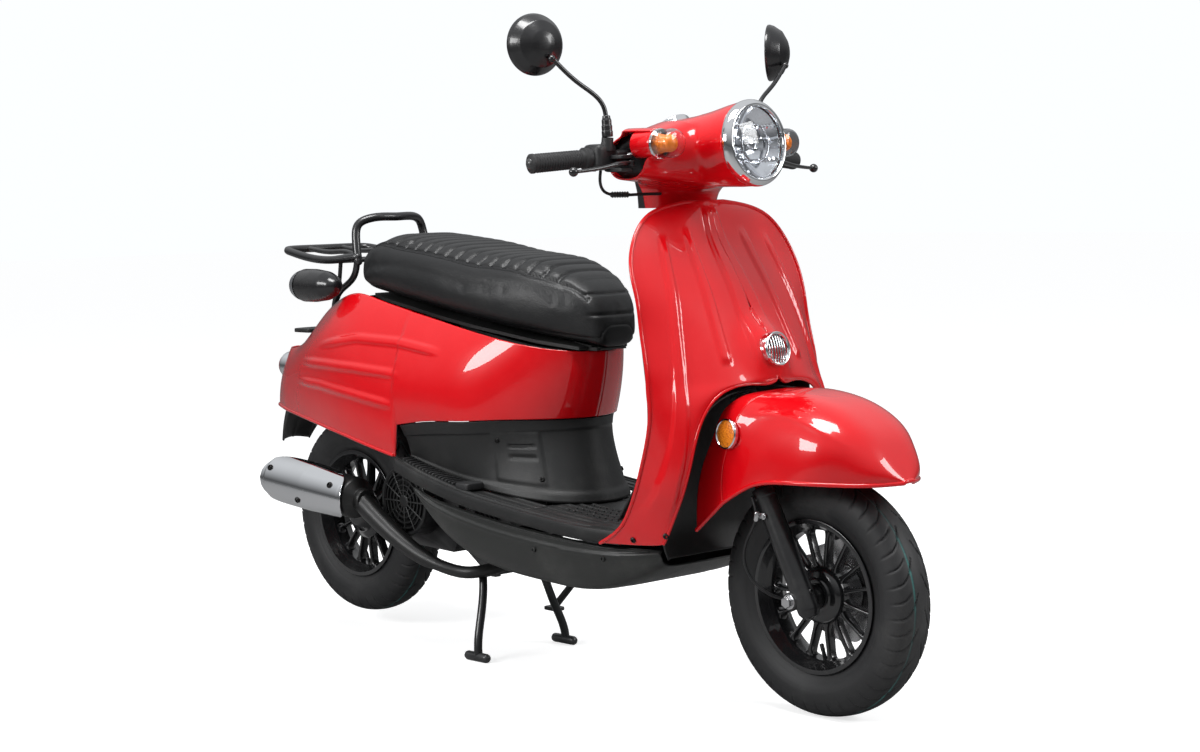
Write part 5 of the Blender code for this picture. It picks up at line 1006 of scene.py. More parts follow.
piece("leg_shield_moulding", "chassis", red_gloss, shield_form, shield_right, stands_for="leg_shield",
      slot="red_paint", out=(1, 0, 0), wall=0.003, sharp=60)
shield_edge = np.concatenate([shield_form[::-1, 0], shield_right[1:, 0]])
arch = shield_form[:, -1]
arch = arch[arch[:, 1] > 0.002]
arch_line = np.concatenate([arch[::-1], arch * [1, -1, 1]])
piece("leg_shield_rolled_edges", "chassis", red_gloss, along(shield_edge, 0.0036, 14), along(arch_line, 0.003, 14),
      slot="red_paint")
screw_black = finish_of("screw_black", (0.012, 0.012, 0.012), 0.3, metallic=0.6, dust=0.15, height=0.05)
shield_screws = []
shield_facing = facing(shield_form, (1, 0, 0))
for row, column in ((197, 70), (202, 21)):
    for sign in (-1.0, 1.0):
        place = shield_form[row, column] * [1, sign, 1]
        way = shield_facing[row, column] * [1, sign, 1]
        shield_screws += screw_grids(place + way * 0.0004, way, 0.0058, 0.003)
piece("leg_shield_screws", "chassis", screw_black, *shield_screws, slot="black_steel")

grille_ring = eased([(-0.02, 0.03), (0.014, 0.0318), (0.0265, 0.0318), (0.0295, 0.03), (0.0275, 0.0262),
                     (0.018, 0.025), (0.018, 0.023)], 0.0018)
slats = []
for k in range(-3, 4):
    across_at = k * 0.0064
    half = math.sqrt(max(0.0255 ** 2 - across_at ** 2, 1e-6))
    middle = HORN + HORN_WAY * (0.0235 + 0.002 * (1 - (across_at / 0.025) ** 2)) + [0, across_at, 0]
    lift = unit([-HORN_WAY[2], 0, HORN_WAY[0]])
    bow = np.linspace(-1, 1, 18)
    line = middle + bow[:, None] * half * lift - HORN_WAY * 0.0035 * bow[:, None] ** 2
    slats.append(along(line, 0.0014, 12, (1.0, 1.2)))
piece("horn_ring_and_slats", "chassis", chrome, turned(grille_ring, HORN, HORN_WAY, 96), *slats,
      stands_for="horn_grille", slot="chrome")
# Painted shade: a matte near-black disc behind the slats stands for the shadowed hollow of the horn.
horn_hollow_shade = finish_of("horn_hollow_shade", (0.006, 0.006, 0.006), 0.8, dust=0.0, height=0.1)
piece("horn_mouth", "chassis", horn_hollow_shade, turned([(0.0172, 0.029), (0.017, 0.0)], HORN, HORN_WAY, 48),
      out=tuple(HORN_WAY), wall=0.001, slot="black_plastic")


# ------------------------------------------------------------------ knee panel and splash guard
# Black grained polypropylene. The knee panel closes the shield from the rider's side and covers the head
# tube; the splash guard behind the wheel is a half round trough that ends in a lip under the floor.

grained_black = finish_of("grained_black", (0.0095, 0.0098, 0.01), 0.46, dust=0.12, drift=0.1, grain=1100,
                          height=0.35)
KNEE = [((0.396, 0.105, 0.891), (0.283, 0, 0.865)), ((0.407, 0.16, 0.868), (0.295, 0, 0.845)),
        ((0.421, 0.204, 0.812), (0.322, 0, 0.8)), ((0.441, 0.212, 0.751), (0.352, 0, 0.75)),
        ((0.453, 0.214, 0.682), (0.37, 0, 0.68)), ((0.465, 0.215, 0.6), (0.37, 0, 0.6)),
        ((0.463, 0.213, 0.5), (0.33, 0, 0.5)), ((0.432, 0.213, 0.416), (0.282, 0, 0.41)),
        ((0.372, 0.204, 0.345), (0.243, 0, 0.345))]
SPLASH = [((0.55, 0.09, 0.57), (0.545, 0, 0.583)), ((0.543, 0.125, 0.552), (0.482, 0, 0.572)),
          ((0.536, 0.153, 0.516), (0.448, 0, 0.535)), ((0.531, 0.166, 0.468), (0.434, 0, 0.48)),
          ((0.519, 0.172, 0.416), (0.427, 0, 0.42)), ((0.497, 0.176, 0.362), (0.428, 0, 0.362)),
          ((0.472, 0.18, 0.318), (0.43, 0, 0.315)), ((0.466, 0.165, 0.276), (0.447, 0, 0.274))]
knee_half = between(KNEE, 110, 76, lambda q: np.exp(-(q * 2.3) ** 2))
y, z = knee_half[..., 1], knee_half[..., 2]
knee_rise = 0.0025 * stripe(z - 0.475, 0.0022, 0.003) * (y < 0.145) + 0.0025 * stripe(z - 0.455, 0.0022, 0.003) \
    * (y < 0.142) - 0.0015 * stripe(y - 0.17, 0.0008, 0.0016) * smooth_step(z, 0.4, 0.43)
knee_half = knee_half + knee_rise[..., None] * facing(knee_half, (-1, 0, 0))
hook = through([(0.372, 0.0, 0.716), (0.352, 0.0, 0.706), (0.337, 0.0, 0.712), (0.333, 0.0, 0.729)], 30)
piece("knee_panel_moulding", "chassis", grained_black, knee_half, knee_half * [1, -1, 1], stands_for="knee_panel",
      slot="black_plastic", out=(-1, 0, 0), wall=0.003, sharp=55)
piece("bag_hook", "chassis", chrome, along(hook, 0.004, 18), slot="chrome")
piece("ignition_lock", "chassis", steel,
      turned(eased([(-0.01, 0.016), (0.0045, 0.016), (0.0055, 0.012), (0.004, 0.0105), (0.004, 0.0012),
                    (0.0018, 0.001), (0.0018, 0)], 0.0012), (0.34, -0.06, 0.775), (-1, -0.25, 0.25), 64),
      slot="bright_steel")

splash_half = between(SPLASH, 84, 60, lambda q: np.sqrt(np.maximum(1 - q * q, 0)))
piece("splash_guard_moulding", "chassis", grained_black, splash_half, splash_half * [1, -1, 1],
      stands_for="splash_guard", slot="black_plastic", out=(1, 0, 0), wall=0.003, sharp=55)


# ------------------------------------------------------------------ floor and belly pan
# The floor is one black moulding with raised ribs along it and rows of studs; it laps over the belly pan, a
# satin grey tray that hangs on the frame's rails. Ribbed rubber pads at its rear carry the pillion's feet.

FLOOR = np.array([(-0.289, 0.198, 0.409), (-0.23, 0.2, 0.391), (-0.168, 0.201, 0.376), (-0.094, 0.201, 0.361),
                  (0.041, 0.201, 0.343), (0.184, 0.201, 0.329), (0.28, 0.2, 0.323), (0.36, 0.19, 0.321)])
floor_line = through(FLOOR, 160)
x, w, z = floor_line[:, 0], floor_line[:, 1], floor_line[:, 2]
across_floor = np.linspace(0, 1, 120)
rail = np.array([(-0.026, 0.0), (-0.006, 0.0), (-0.0015, -0.0012), (0.0, -0.006)])
inner_y = np.clip(0.1265 - (x - 0.1) * 12, 0.0, 0.1265)
surface_y = (w[:, None] - 0.006) * (1 - across_floor) + inner_y[:, None] * across_floor
rib = sum(stripe(surface_y - at, 0.0016, 0.0018) for at in (0.04, 0.062, 0.084, 0.106, 0.134, 0.156, 0.178))
rib_window = smooth_step(x, 0.095, 0.115)[:, None] * (1 - smooth_step(x, 0.3, 0.325))[:, None]
outer_window = np.where(surface_y > 0.128, smooth_step(x, -0.07, -0.04)[:, None]
                        * (1 - smooth_step(x, 0.3, 0.325))[:, None], rib_window)
surface_z = z[:, None] + 0.0022 * rib * outer_window + 0.0035 * stripe(surface_y - 0.19, 0.0022, 0.003)
flat_part = np.stack([np.broadcast_to(x[:, None], surface_y.shape), surface_y, surface_z], axis=-1)
skirt = np.stack([np.broadcast_to(x[:, None], (len(x), 4)), w[:, None] + rail[None, :, 1],
                  z[:, None] + rail[None, :, 0]], axis=-1)
floor_half = np.concatenate([skirt, flat_part], axis=1)
piece("floor_moulding", "chassis", grained_black, floor_half, floor_half * [1, -1, 1], stands_for="floorboard",
      slot="black_plastic", out=(0, 0, 1), wall=0.0028, sharp=50)
stud_marks = []
for row in range(9):
    for column in range(7):
        for sign in (-1.0, 1.0):
            sx, sy = 0.145 + row * 0.017, sign * (0.045 + column * 0.011)
            sz = float(np.interp(sx, x, z))
            stud_marks.append(turned([(-0.001, 0.003), (0.0022, 0.0026), (0.0026, 0.0)],
                                     (sx, sy + sign * 0.0055, sz),
                                     (0, 0, 1), 8))
piece("floor_studs", "chassis", grained_black, *stud_marks, slot="black_plastic")
pads = []
for sign in (-1.0, 1.0):
    for k in range(16):
        px = -0.268 + k * 0.0102
        pz = float(np.interp(px, x, z))
        pads.append(rounded_box((px, sign * 0.168, pz + 0.0035), (0.0058, 0.046, 0.01), None, 0.3, 8))
    pads.append(rounded_box((-0.084, sign * 0.168, 0.3665), (0.04, 0.052, 0.016), None, 0.3, 14))
pad_rubber = finish_of("pad_rubber", (0.012, 0.012, 0.013), 0.58, dust=0.2, grain=900, height=0.3)
piece("foot_pads", "chassis", pad_rubber, *pads, slot="grip_rubber")

belly_satin = finish_of("belly_satin", (0.017, 0.018, 0.017), 0.38, dust=0.14, drift=0.12, grain=1300, height=0.2)
BELLY = [(-0.232, 0.19, 0.356, 0.329), (-0.188, 0.19, 0.34, 0.281), (-0.112, 0.19, 0.326, 0.233),
         (0.0, 0.188, 0.311, 0.203), (0.119, 0.184, 0.299, 0.192), (0.2, 0.18, 0.293, 0.188),
         (0.28, 0.175, 0.288, 0.197), (0.36, 0.16, 0.286, 0.222), (0.42, 0.14, 0.286, 0.252)]
belly_line = through(BELLY, 150)
x, w, high, low = (belly_line[:, k, None] for k in range(4))
t = np.linspace(0, 1, 64)[None, :]
drop = high - low
inward = np.interp(t, [0, 0.18, 0.32, 0.42, 0.6, 1.0], [0.0, -0.0015, 0.008, 0.024, 0.075, 1.0])
fall = np.interp(t, [0, 0.18, 0.32, 0.42, 0.6, 1.0], [0.0, 0.5, 0.86, 0.97, 1.0, 1.0])
inward = np.apply_along_axis(lambda f: np.convolve(np.pad(f, 6, "edge"), np.ones(13) / 13, "valid"), 1, inward)
fall = np.apply_along_axis(lambda f: np.convolve(np.pad(f, 6, "edge"), np.ones(13) / 13, "valid"), 1, fall)
fall[:, 0], inward[:, 0], inward[:, -1] = 0.0, 0.0, 1.0
y = np.where(inward < 0.08, w - inward, w - 0.08 - (w - 0.08) * (inward - 0.08) / 0.92)
y = np.maximum(y * 1.0, 0.0)
z = high - drop * fall
crest = 0.003 * stripe(z - (high - drop * 0.22), 0.001, 0.006)
belly_half = np.stack([np.broadcast_to(x, y.shape), y + crest, np.broadcast_to(z, y.shape)], axis=-1)
belly_half[:, -1, 1] = 0.0


def cut_out(obj, low, high):
    """Opens a hole in a sheet: it is split along a box's six planes, and the faces inside the box go."""
    low, high = (Vector(corner) + Vector((DRAWN_ZERO, 0, 0)) for corner in (low, high))
    cut = bmesh.new()
    cut.from_mesh(obj.data)
    for corner in (low, high):
        for way in ((1, 0, 0), (0, 1, 0), (0, 0, 1)):
            bmesh.ops.bisect_plane(cut, geom=cut.verts[:] + cut.edges[:] + cut.faces[:], dist=1e-6,
                                   plane_co=corner, plane_no=way)
    middles = [(face, face.calc_center_median()) for face in cut.faces]
    inside = [face for face, middle in middles if all(low[k] < middle[k] < high[k] for k in range(3))]
    bmesh.ops.delete(cut, geom=inside, context="FACES")
    cut.to_mesh(obj.data)
    cut.free()


belly = piece("belly_pan_moulding", "chassis", belly_satin, belly_half, belly_half * [1, -1, 1],
              stands_for="belly_pan", slot="belly_grey", out=(0, 0, -1), wall=0.0028, sharp=50)
cut_out(belly, (-0.27, -0.14, 0.1), (-0.03, 0.14, 0.4))
cut_out(belly, (-0.15, 0.1345, 0.17), (-0.01, 0.24, 0.27))
belly_trim = []
for sign in (-1.0, 1.0):
    rim = np.stack([belly_line[:, 0], (belly_line[:, 1] + 0.0006) * sign, belly_line[:, 2] - 0.004], axis=-1)
    belly_trim.append(along(rim[6:-6], 0.0024, 10))
    belly_trim += screw_grids((0.3, sign * 0.1745, 0.262), (0, sign, 0.05), 0.0052, 0.0026)
    belly_trim += screw_grids((0.12, sign * 0.1865, 0.262), (0, sign, 0.05), 0.0052, 0.0026)
piece("belly_pan_trim", "chassis", belly_satin, *belly_trim, slot="belly_grey")


# ------------------------------------------------------------------ side panels and tail lamp
# Two red mouldings run from under the seat's nose to the tail and meet on the centre line. Each has three
# tapering ribs and a beaded lower edge. A round red lamp with a domed lens fills the opening at the tail.

PANELS = [((0.139, 0, 0.63), (0.127, 0, 0.565), (0.105, 0, 0.5)),
          ((0.119, 0.05, 0.6315), (0.108, 0.056, 0.567), (0.088, 0.056, 0.5)),
          ((0.082, 0.098, 0.637), (0.066, 0.108, 0.57), (0.048, 0.108, 0.5)),
          ((0.015, 0.135, 0.65), (0.0, 0.15, 0.575), (-0.014, 0.152, 0.499)),
          ((-0.09, 0.15, 0.67), (-0.09, 0.181, 0.585), (-0.09, 0.185, 0.495)),
          ((-0.2, 0.148, 0.69), (-0.2, 0.192, 0.585), (-0.2, 0.192, 0.4885)),
          ((-0.281, 0.145, 0.704), (-0.281, 0.196, 0.59), (-0.2815, 0.1935, 0.477)),
          ((-0.29, 0.1445, 0.706), (-0.29, 0.196, 0.56), (-0.2895, 0.1935, 0.412)),
          ((-0.4, 0.138, 0.726), (-0.4, 0.194, 0.585), (-0.4, 0.189, 0.4305)),
          ((-0.48, 0.13, 0.737), (-0.48, 0.187, 0.6), (-0.48, 0.18, 0.443)),
          ((-0.552, 0.12, 0.724), (-0.552, 0.174, 0.6), (-0.552, 0.166, 0.451)),
          ((-0.622, 0.108, 0.694), (-0.622, 0.156, 0.59), (-0.622, 0.149, 0.458)),
          ((-0.7, 0.09, 0.65), (-0.7, 0.131, 0.575), (-0.7, 0.127, 0.464)),
          ((-0.765, 0.072, 0.618), (-0.765, 0.106, 0.56), (-0.765, 0.105, 0.4675)),
          ((-0.82, 0.054, 0.606), (-0.825, 0.081, 0.545), (-0.825, 0.082, 0.47)),
          ((-0.862, 0.035, 0.603), (-0.875, 0.054, 0.54), (-0.88, 0.056, 0.472)),
          ((-0.882, 0.018, 0.604), (-0.907, 0.028, 0.532), (-0.919, 0.03, 0.473)),
          ((-0.887, 0.0004, 0.605), (-0.917, 0.0004, 0.53), (-0.9355, 0.0004, 0.474))]
PANEL_RIBS = ([(-0.6, 0.624), (-0.426, 0.647), (-0.279, 0.642), (-0.15, 0.625)],
              [(-0.7, 0.587), (-0.532, 0.589), (-0.423, 0.587), (-0.262, 0.578)],
              [(-0.722, 0.545), (-0.559, 0.544), (-0.428, 0.533), (-0.275, 0.515)])


def drawn_down(stations, columns):
    """A sheet whose rows are parabolas through each station's top, middle and bottom points."""
    t = np.linspace(0, 1, columns)[None, :, None]
    top_point, middle_point, foot = (stations[:, k, None] for k in range(3))
    return top_point * (1 - t) * (1 - 2 * t) + middle_point * 4 * t * (1 - t) + foot * t * (2 * t - 1)


panel_rows = np.concatenate([through(PANELS[:7], 90), through(PANELS[7:], 150)])
panel_form = drawn_down(panel_rows, 76)
x, z = panel_form[..., 0], panel_form[..., 2]
lift = np.zeros_like(x)
for rib_line in PANEL_RIBS:
    rib_line = np.array(rib_line)
    fade = smooth_step(x, rib_line[0, 0], rib_line[0, 0] + 0.1) * (1 - smooth_step(x, rib_line[-1, 0] - 0.05,
                                                                                   rib_line[-1, 0]))
    lift = lift + 0.0042 * fade * stripe(z - np.interp(x, rib_line[:, 0], rib_line[:, 1]), 0.0028 + 0.002 * fade,
                                         0.006)
panel_form = panel_form + lift[..., None] * facing(panel_form, (0, 1, 0))
panel_form[..., 1] = np.maximum(panel_form[..., 1], 0.0004)
hem_line = panel_form[:, -1]
for label, sign in SIDES:
    moulding = piece(f"side_panel_moulding_{label}", "chassis", red_gloss, panel_form * [1, sign, 1],
                     stands_for=f"side_panel_{label}", slot="red_paint", out=(-0.3, sign, 0.2), wall=0.003, sharp=50)
    lamp_hole = bmesh.new()
    lamp_hole.from_mesh(moulding.data)
    lamp_faces = [face for face in lamp_hole.faces if face.calc_center_median().x < -0.83
                  and math.hypot(face.calc_center_median().y, face.calc_center_median().z - 0.5585) < 0.03]
    bmesh.ops.delete(lamp_hole, geom=lamp_faces, context="FACES")
    lamp_hole.to_mesh(moulding.data)
    lamp_hole.free()
    bead = hem_line[92:] * [1, sign, 1] + [0, sign * 0.0004, 0.001]
    piece(f"side_panel_bead_{label}", "chassis", red_gloss, along(bead, 0.0036, 14), slot="red_paint")

red_lens = bpy.data.materials.new("red_lens")
red_lens.use_nodes = True
lens_shader = red_lens.node_tree.nodes["Principled BSDF"]
lens_ribs = node(red_lens.node_tree, "ShaderNodeTexWave",
                 {"Vector": node(red_lens.node_tree, "ShaderNodeTexCoord").outputs["Object"], "Scale": 60.0},
                 bands_direction="Y")
lens_tone = node(red_lens.node_tree, "ShaderNodeMix", {"Factor": lens_ribs.outputs["Fac"]}, data_type="RGBA")
lens_tone.inputs["A"].default_value = (0.42, 0.006, 0.008, 1.0)
lens_tone.inputs["B"].default_value = (0.62, 0.016, 0.014, 1.0)
red_lens.node_tree.links.new(lens_tone.outputs["Result"], lens_shader.inputs["Base Color"])
lens_bump = node(red_lens.node_tree, "ShaderNodeBump", {"Height": lens_ribs.outputs["Fac"], "Strength": 0.35,
                                                        "Distance": 0.0008})
red_lens.node_tree.links.new(lens_bump.outputs["Normal"], lens_shader.inputs["Normal"])
lens_shader.inputs["Roughness"].default_value = 0.12
lens_shader.inputs["Coat Weight"].default_value = 1.0
TAIL_LIGHT = np.array([-0.87, 0.0, 0.5585])
piece("tail_lamp_lens", "chassis", red_lens,
      turned(eased([(0.02, 0.0), (0.02, 0.03), (0.05, 0.03), (0.06, 0.025), (0.065, 0.014), (0.0665, 0.0)],
                   0.004, 6), TAIL_LIGHT, (-1, 0, 0), 72), stands_for="tail_light", slot="red_lens")
piece("tail_lamp_ring", "chassis", chrome,
      turned(eased([(0.02, 0.0302), (0.04, 0.0318), (0.0475, 0.0318), (0.049, 0.0302), (0.044, 0.0298)], 0.001),
             TAIL_LIGHT, (-1, 0, 0), 72), slot="chrome")


# ------------------------------------------------------------------ under-seat cover, bucket and tank
# A black grained cover closes the body below the seat's nose, round three sides. Behind it are the bucket
# that the seat lid opens and the steel tank.

COVER = [((0.1005, 0, 0.4975), (0.11, 0, 0.44), (0.14, 0, 0.3365)),
         ((0.0838, 0.054, 0.4975), (0.092, 0.054, 0.44), (0.124, 0.06, 0.3375)),
         ((0.044, 0.105, 0.4975), (0.05, 0.098, 0.44), (0.08, 0.108, 0.3415)),
         ((-0.0165, 0.149, 0.4965), (-0.012, 0.132, 0.44), (0.005, 0.14, 0.3505)),
         ((-0.09, 0.182, 0.492), (-0.09, 0.163, 0.44), (-0.09, 0.155, 0.364)),
         ((-0.2, 0.189, 0.486), (-0.2, 0.169, 0.44), (-0.2, 0.16, 0.387)),
         ((-0.276, 0.1905, 0.4755), (-0.276, 0.173, 0.44), (-0.276, 0.165, 0.409))]
cover_rows = np.array(COVER)
cover_rows = np.concatenate([cover_rows[:0:-1] * [1, -1, 1], cover_rows])
cover_form = drawn_down(through(cover_rows, 260), 60)
share = np.linspace(0, 1, 60)[None, :]
length = np.linspace(-1, 1, 260)[:, None]
step_line = 0.0024 * smooth_step(share, 0.18 + 0.1 * np.abs(length), 0.24 + 0.1 * np.abs(length)) \
    * (1 - smooth_step(share, 0.9, 0.94))
access = stripe(np.abs(length) - 0.37, 0.11, 0.004) * stripe(share - 0.56, 0.3, 0.012)
slot_marks = (stripe(np.abs(length) - 0.35, 0.06, 0.004) * (stripe(share - 0.46, 0.02, 0.01)
                                                          + stripe(share - 0.6, 0.02, 0.01)))
cover_lift = -step_line + 0.0022 * access - 0.003 * slot_marks
cover_form = cover_form + cover_lift[..., None] * facing(cover_form, (1, 0, 0))
piece("under_seat_moulding", "chassis", grained_black, cover_form, stands_for="under_seat_cover",
      slot="black_plastic", out=(1, 0, 0), wall=0.003, sharp=50)
cover_screws = []
for row, column in ((70, 22), (94, 48), (165, 48), (189, 22)):
    place = cover_form[row, column]
    way = facing(cover_form, (1, 0, 0))[row, column]
    cover_screws += screw_grids(place + way * 0.0006, way, 0.005, 0.0026)
piece("under_seat_screws", "chassis", screw_black, *cover_screws, slot="black_steel")
kept("storage_bucket", grained_black)
kept("fuel_tank", enamel)


# ------------------------------------------------------------------ tail deck, rear guard and carrier
# A black deck fills the gap behind the seat, and a guard hangs from it over the rear wheel. The carrier is
# welded from black tube: a grab rail behind the seat, a flat rack, two bars and four legs.

DECK = np.array([(-0.49, 0.122, 0.728), (-0.552, 0.1125, 0.717), (-0.622, 0.1005, 0.687), (-0.7, 0.0825, 0.643),
                 (-0.765, 0.065, 0.611), (-0.812, 0.048, 0.6)])
deck_rows = np.stack([DECK, DECK * [1, 0.6, 1] + [0, 0, 0.003], DECK * [1, 0, 1] + [0, 0, 0.004]], axis=1)
deck_form = through(through(mirrored_across(deck_rows), 60).swapaxes(0, 1), 60).swapaxes(0, 1)
a = np.radians(np.linspace(64, 156, 70))
tail = np.clip((np.linspace(0, 11, 70) - 6) / 4, 0, None)
width = 0.086 - 0.04 * tail
ray = np.stack([np.cos(a), np.zeros_like(a), np.sin(a)], axis=-1)
guard_rows = [np.array([-0.637, 0, 0.27]) + ray * reach[:, None] + np.stack([0 * a, side, 0 * a], axis=-1)
              for reach, side in ((0.272 + 0.016 * tail, width), (0.3 + 0 * a, width - 0.002),
                                  (0.307 + 0 * a, width - 0.018), (0.309 + 0 * a, 0 * a))]
guard_form = through(mirrored_across(np.stack(guard_rows, axis=1)).swapaxes(0, 1), 50).swapaxes(0, 1)
piece("rear_guard_moulding", "chassis", grained_black, deck_form, guard_form, stands_for="rear_mudguard",
               slot="black_plastic", out=(-0.2, 0, 1), wall=0.003, sharp=50)
piece("number_bracket", "chassis", grained_black, rounded_box((-0.762, 0, 0.647), (0.06, 0.16, 0.01), None, 0.2),
      rounded_box((-0.742, 0, 0.63), (0.024, 0.06, 0.034), None, 0.2),
      rounded_box((-0.7, 0, 0.608), (0.05, 0.04, 0.078), None, 0.2), slot="black_plastic")

rack_black = finish_of("rack_black", (0.007, 0.007, 0.008), 0.3, coat=0.35, dust=0.1, grain=800, height=0.08,
                       wear=0.2)


def both(path):
    """A left-hand path carried over the centre line by its mirror image."""
    path = np.asarray(path, float)
    return np.concatenate([path, path[-2::-1] * [1, -1, 1]])


carrier = [along(through(both([(-0.522, 0.097, 0.812), (-0.593, 0.115, 0.805), (-0.735, 0.116, 0.821),
                               (-0.762, 0.106, 0.825), (-0.771, 0.08, 0.826), (-0.771, 0, 0.826)]), 90), 0.0085, 18),
           along(through(both([(-0.522, 0.096, 0.8), (-0.533, 0.092, 0.85), (-0.534, 0.084, 0.879),
                               (-0.522, 0.06, 0.892), (-0.51, 0, 0.894)]), 70), 0.009, 18),
           along([(-0.59, -0.113, 0.803), (-0.59, 0.113, 0.803)], 0.0062, 14)]
for sign in (-1.0, 1.0):
    for route, radius in (([(-0.766, 0.045, 0.826), (-0.68, 0.045, 0.819), (-0.605, 0.045, 0.812),
                            (-0.588, 0.045, 0.8)], 0.0055),
                          ([(-0.524, 0.097, 0.806), (-0.53, 0.098, 0.78), (-0.575, 0.09, 0.75),
                            (-0.63, 0.078, 0.718), (-0.65, 0.07, 0.6835)], 0.007),
                          ([(-0.622, 0.0775, 0.722), (-0.617, 0.0765, 0.76), (-0.612, 0.075, 0.802)], 0.0045),
                          ([(-0.612, 0.045, 0.812), (-0.612, 0.08, 0.809), (-0.612, 0.114, 0.806)], 0.005),
                          ([(-0.59, 0.104, 0.745), (-0.59, 0.118, 0.745), (-0.59, 0.128, 0.745)], 0.0068)):
        carrier.append(along(through(np.array(route) * [1, sign, 1], 30), radius, 14))
piece("carrier_tubes", "chassis", rack_black, *carrier, stands_for="rear_carrier", slot="black_steel")
piece("plate_lamp", "chassis", grained_black,
      turned(eased([(0, 0), (0, 0.013), (0.02, 0.0125), (0.026, 0.008), (0.026, 0)], 0.002),
             (-0.785, 0, 0.64), (-1, 0, -0.25), 36), slot="black_plastic")
orange_bulb = finish_of("orange_bulb", (0.85, 0.2, 0.01), 0.3, dust=0.0, height=0.0)
for label, sign in SIDES:
    spot = np.array([-0.6, sign * 0.15, 0.752])
    shell = eased([(-0.078, 0.0), (-0.074, 0.013), (-0.062, 0.0225), (-0.04, 0.0308), (0.0, 0.0352),
                   (0.036, 0.0352), (0.0385, 0.0335), (0.0385, 0.0)], 0.004, 6)
    piece(f"rear_indicator_shell_{label}", "chassis", shell_plastic, turned(shell, spot, (-1, 0, 0), 72),
          turned(eased([(0.0, 0.0), (0.0, 0.0115), (0.003, 0.012), (0.009, 0.012), (0.012, 0.01), (0.018, 0.0088),
                        (0.024, 0.0088)], 0.0012), spot + [0.01, -sign * 0.04, -0.007], (0, sign, 0), 40),
          stands_for=f"rear_indicator_{label}", slot="black_plastic")


# ------------------------------------------------------------------ headlamp and indicators
# A chrome ring clamps a clear domed glass over a mirror-finished reflector in two halves. Each indicator is
# a black or chrome-edged pod with a clear lens over a ribbed orange bulb.

clear_glass = bpy.data.materials.new("clear_glass")
clear_glass.use_nodes = True
glass_shader = clear_glass.node_tree.nodes["Principled BSDF"]
glass_shader.inputs["Base Color"].default_value = (0.97, 0.98, 1.0, 1.0)
glass_shader.inputs["Roughness"].default_value = 0.02
glass_shader.inputs["IOR"].default_value = 1.12
glass_shader.inputs["Transmission Weight"].default_value = 1.0
glass_shader.inputs["Coat Weight"].default_value = 0.5
flutes = node(clear_glass.node_tree, "ShaderNodeTexNoise",
              {"Vector": node(clear_glass.node_tree, "ShaderNodeTexCoord").outputs["Object"], "Scale": 60.0})
flute_bump = node(clear_glass.node_tree, "ShaderNodeBump", {"Height": flutes.outputs["Fac"], "Strength": 0.05,
                                                            "Distance": 0.001})
clear_glass.node_tree.links.new(flute_bump.outputs["Normal"], glass_shader.inputs["Normal"])
mirror_finish = finish_of("mirror_finish", (0.82, 0.83, 0.85), 0.1, metallic=1.0, dust=0.0, drift=0.02, grain=60,
                          height=0.02)
lamp_up = unit([-LAMP_WAY[2], 0.0, LAMP_WAY[0]])
piece("headlamp_bezel", "steering", chrome,
      turned(eased([(-0.001, 0.07), (-0.001, 0.0778), (0.006, 0.079), (0.013, 0.0775), (0.019, 0.0725),
                    (0.0205, 0.069), (0.0185, 0.0655), (0.012, 0.0648)], 0.004, 8), LAMP, LAMP_WAY, 128),
      stands_for="headlight_rim", slot="chrome")
r = np.linspace(0.065, 0.0, 26)
dome = np.stack([0.014 + 0.0125 * (1 - (r / 0.065) ** 2), r], axis=-1)
piece("headlamp_glass", "steering", clear_glass, turned(dome, LAMP, LAMP_WAY, 96), slot="clear_lens",
      out=tuple(LAMP_WAY), wall=0.0018)
r = np.linspace(0.064, 0.012, 40)
bowl = turned(np.stack([0.01 - 0.03 * (1 - (r / 0.064) ** 2), r], axis=-1), LAMP, LAMP_WAY, 96)
high = (bowl - LAMP) @ lamp_up
step_back = 0.0035 * stripe(np.abs(high) - 0.03, 0.0012, 0.0012) + 0.009 * stripe(high, 0.0085, 0.0015)
bowl = bowl + step_back[..., None] * LAMP_WAY
piece("headlamp_reflector", "steering", mirror_finish, bowl, stands_for="headlight_unit", slot="bright_steel",
      out=tuple(LAMP_WAY), wall=0.001, sharp=20)
piece("headlamp_bulb_cover", "steering", chrome,
      turned(eased([(-0.02, 0.0128), (-0.004, 0.0128), (0.002, 0.01), (0.0045, 0.0)], 0.003, 6), LAMP, LAMP_WAY,
             48),
      turned(eased([(0.008, 0.033), (0.0105, 0.034), (0.0105, 0.035), (0.008, 0.036)], 0.0008), LAMP, LAMP_WAY,
             96),
      slot="chrome")


def bulb_profile(low, high_end, radius, ribs):
    """A ribbed cap: radius * (1 - 0.05 * |sin|) along its side, closed by a quarter circle."""
    side = np.linspace(low, high_end - radius * 0.8, 40)
    wave = radius * (1 - 0.05 * np.abs(np.sin(np.linspace(0, ribs * np.pi, 40))))
    cap = np.radians(np.linspace(0, 90, 10))[1:]
    return np.concatenate([np.stack([side, wave], axis=-1),
                           np.stack([side[-1] + radius * 0.8 * np.sin(cap), radius * np.cos(cap)], axis=-1)])


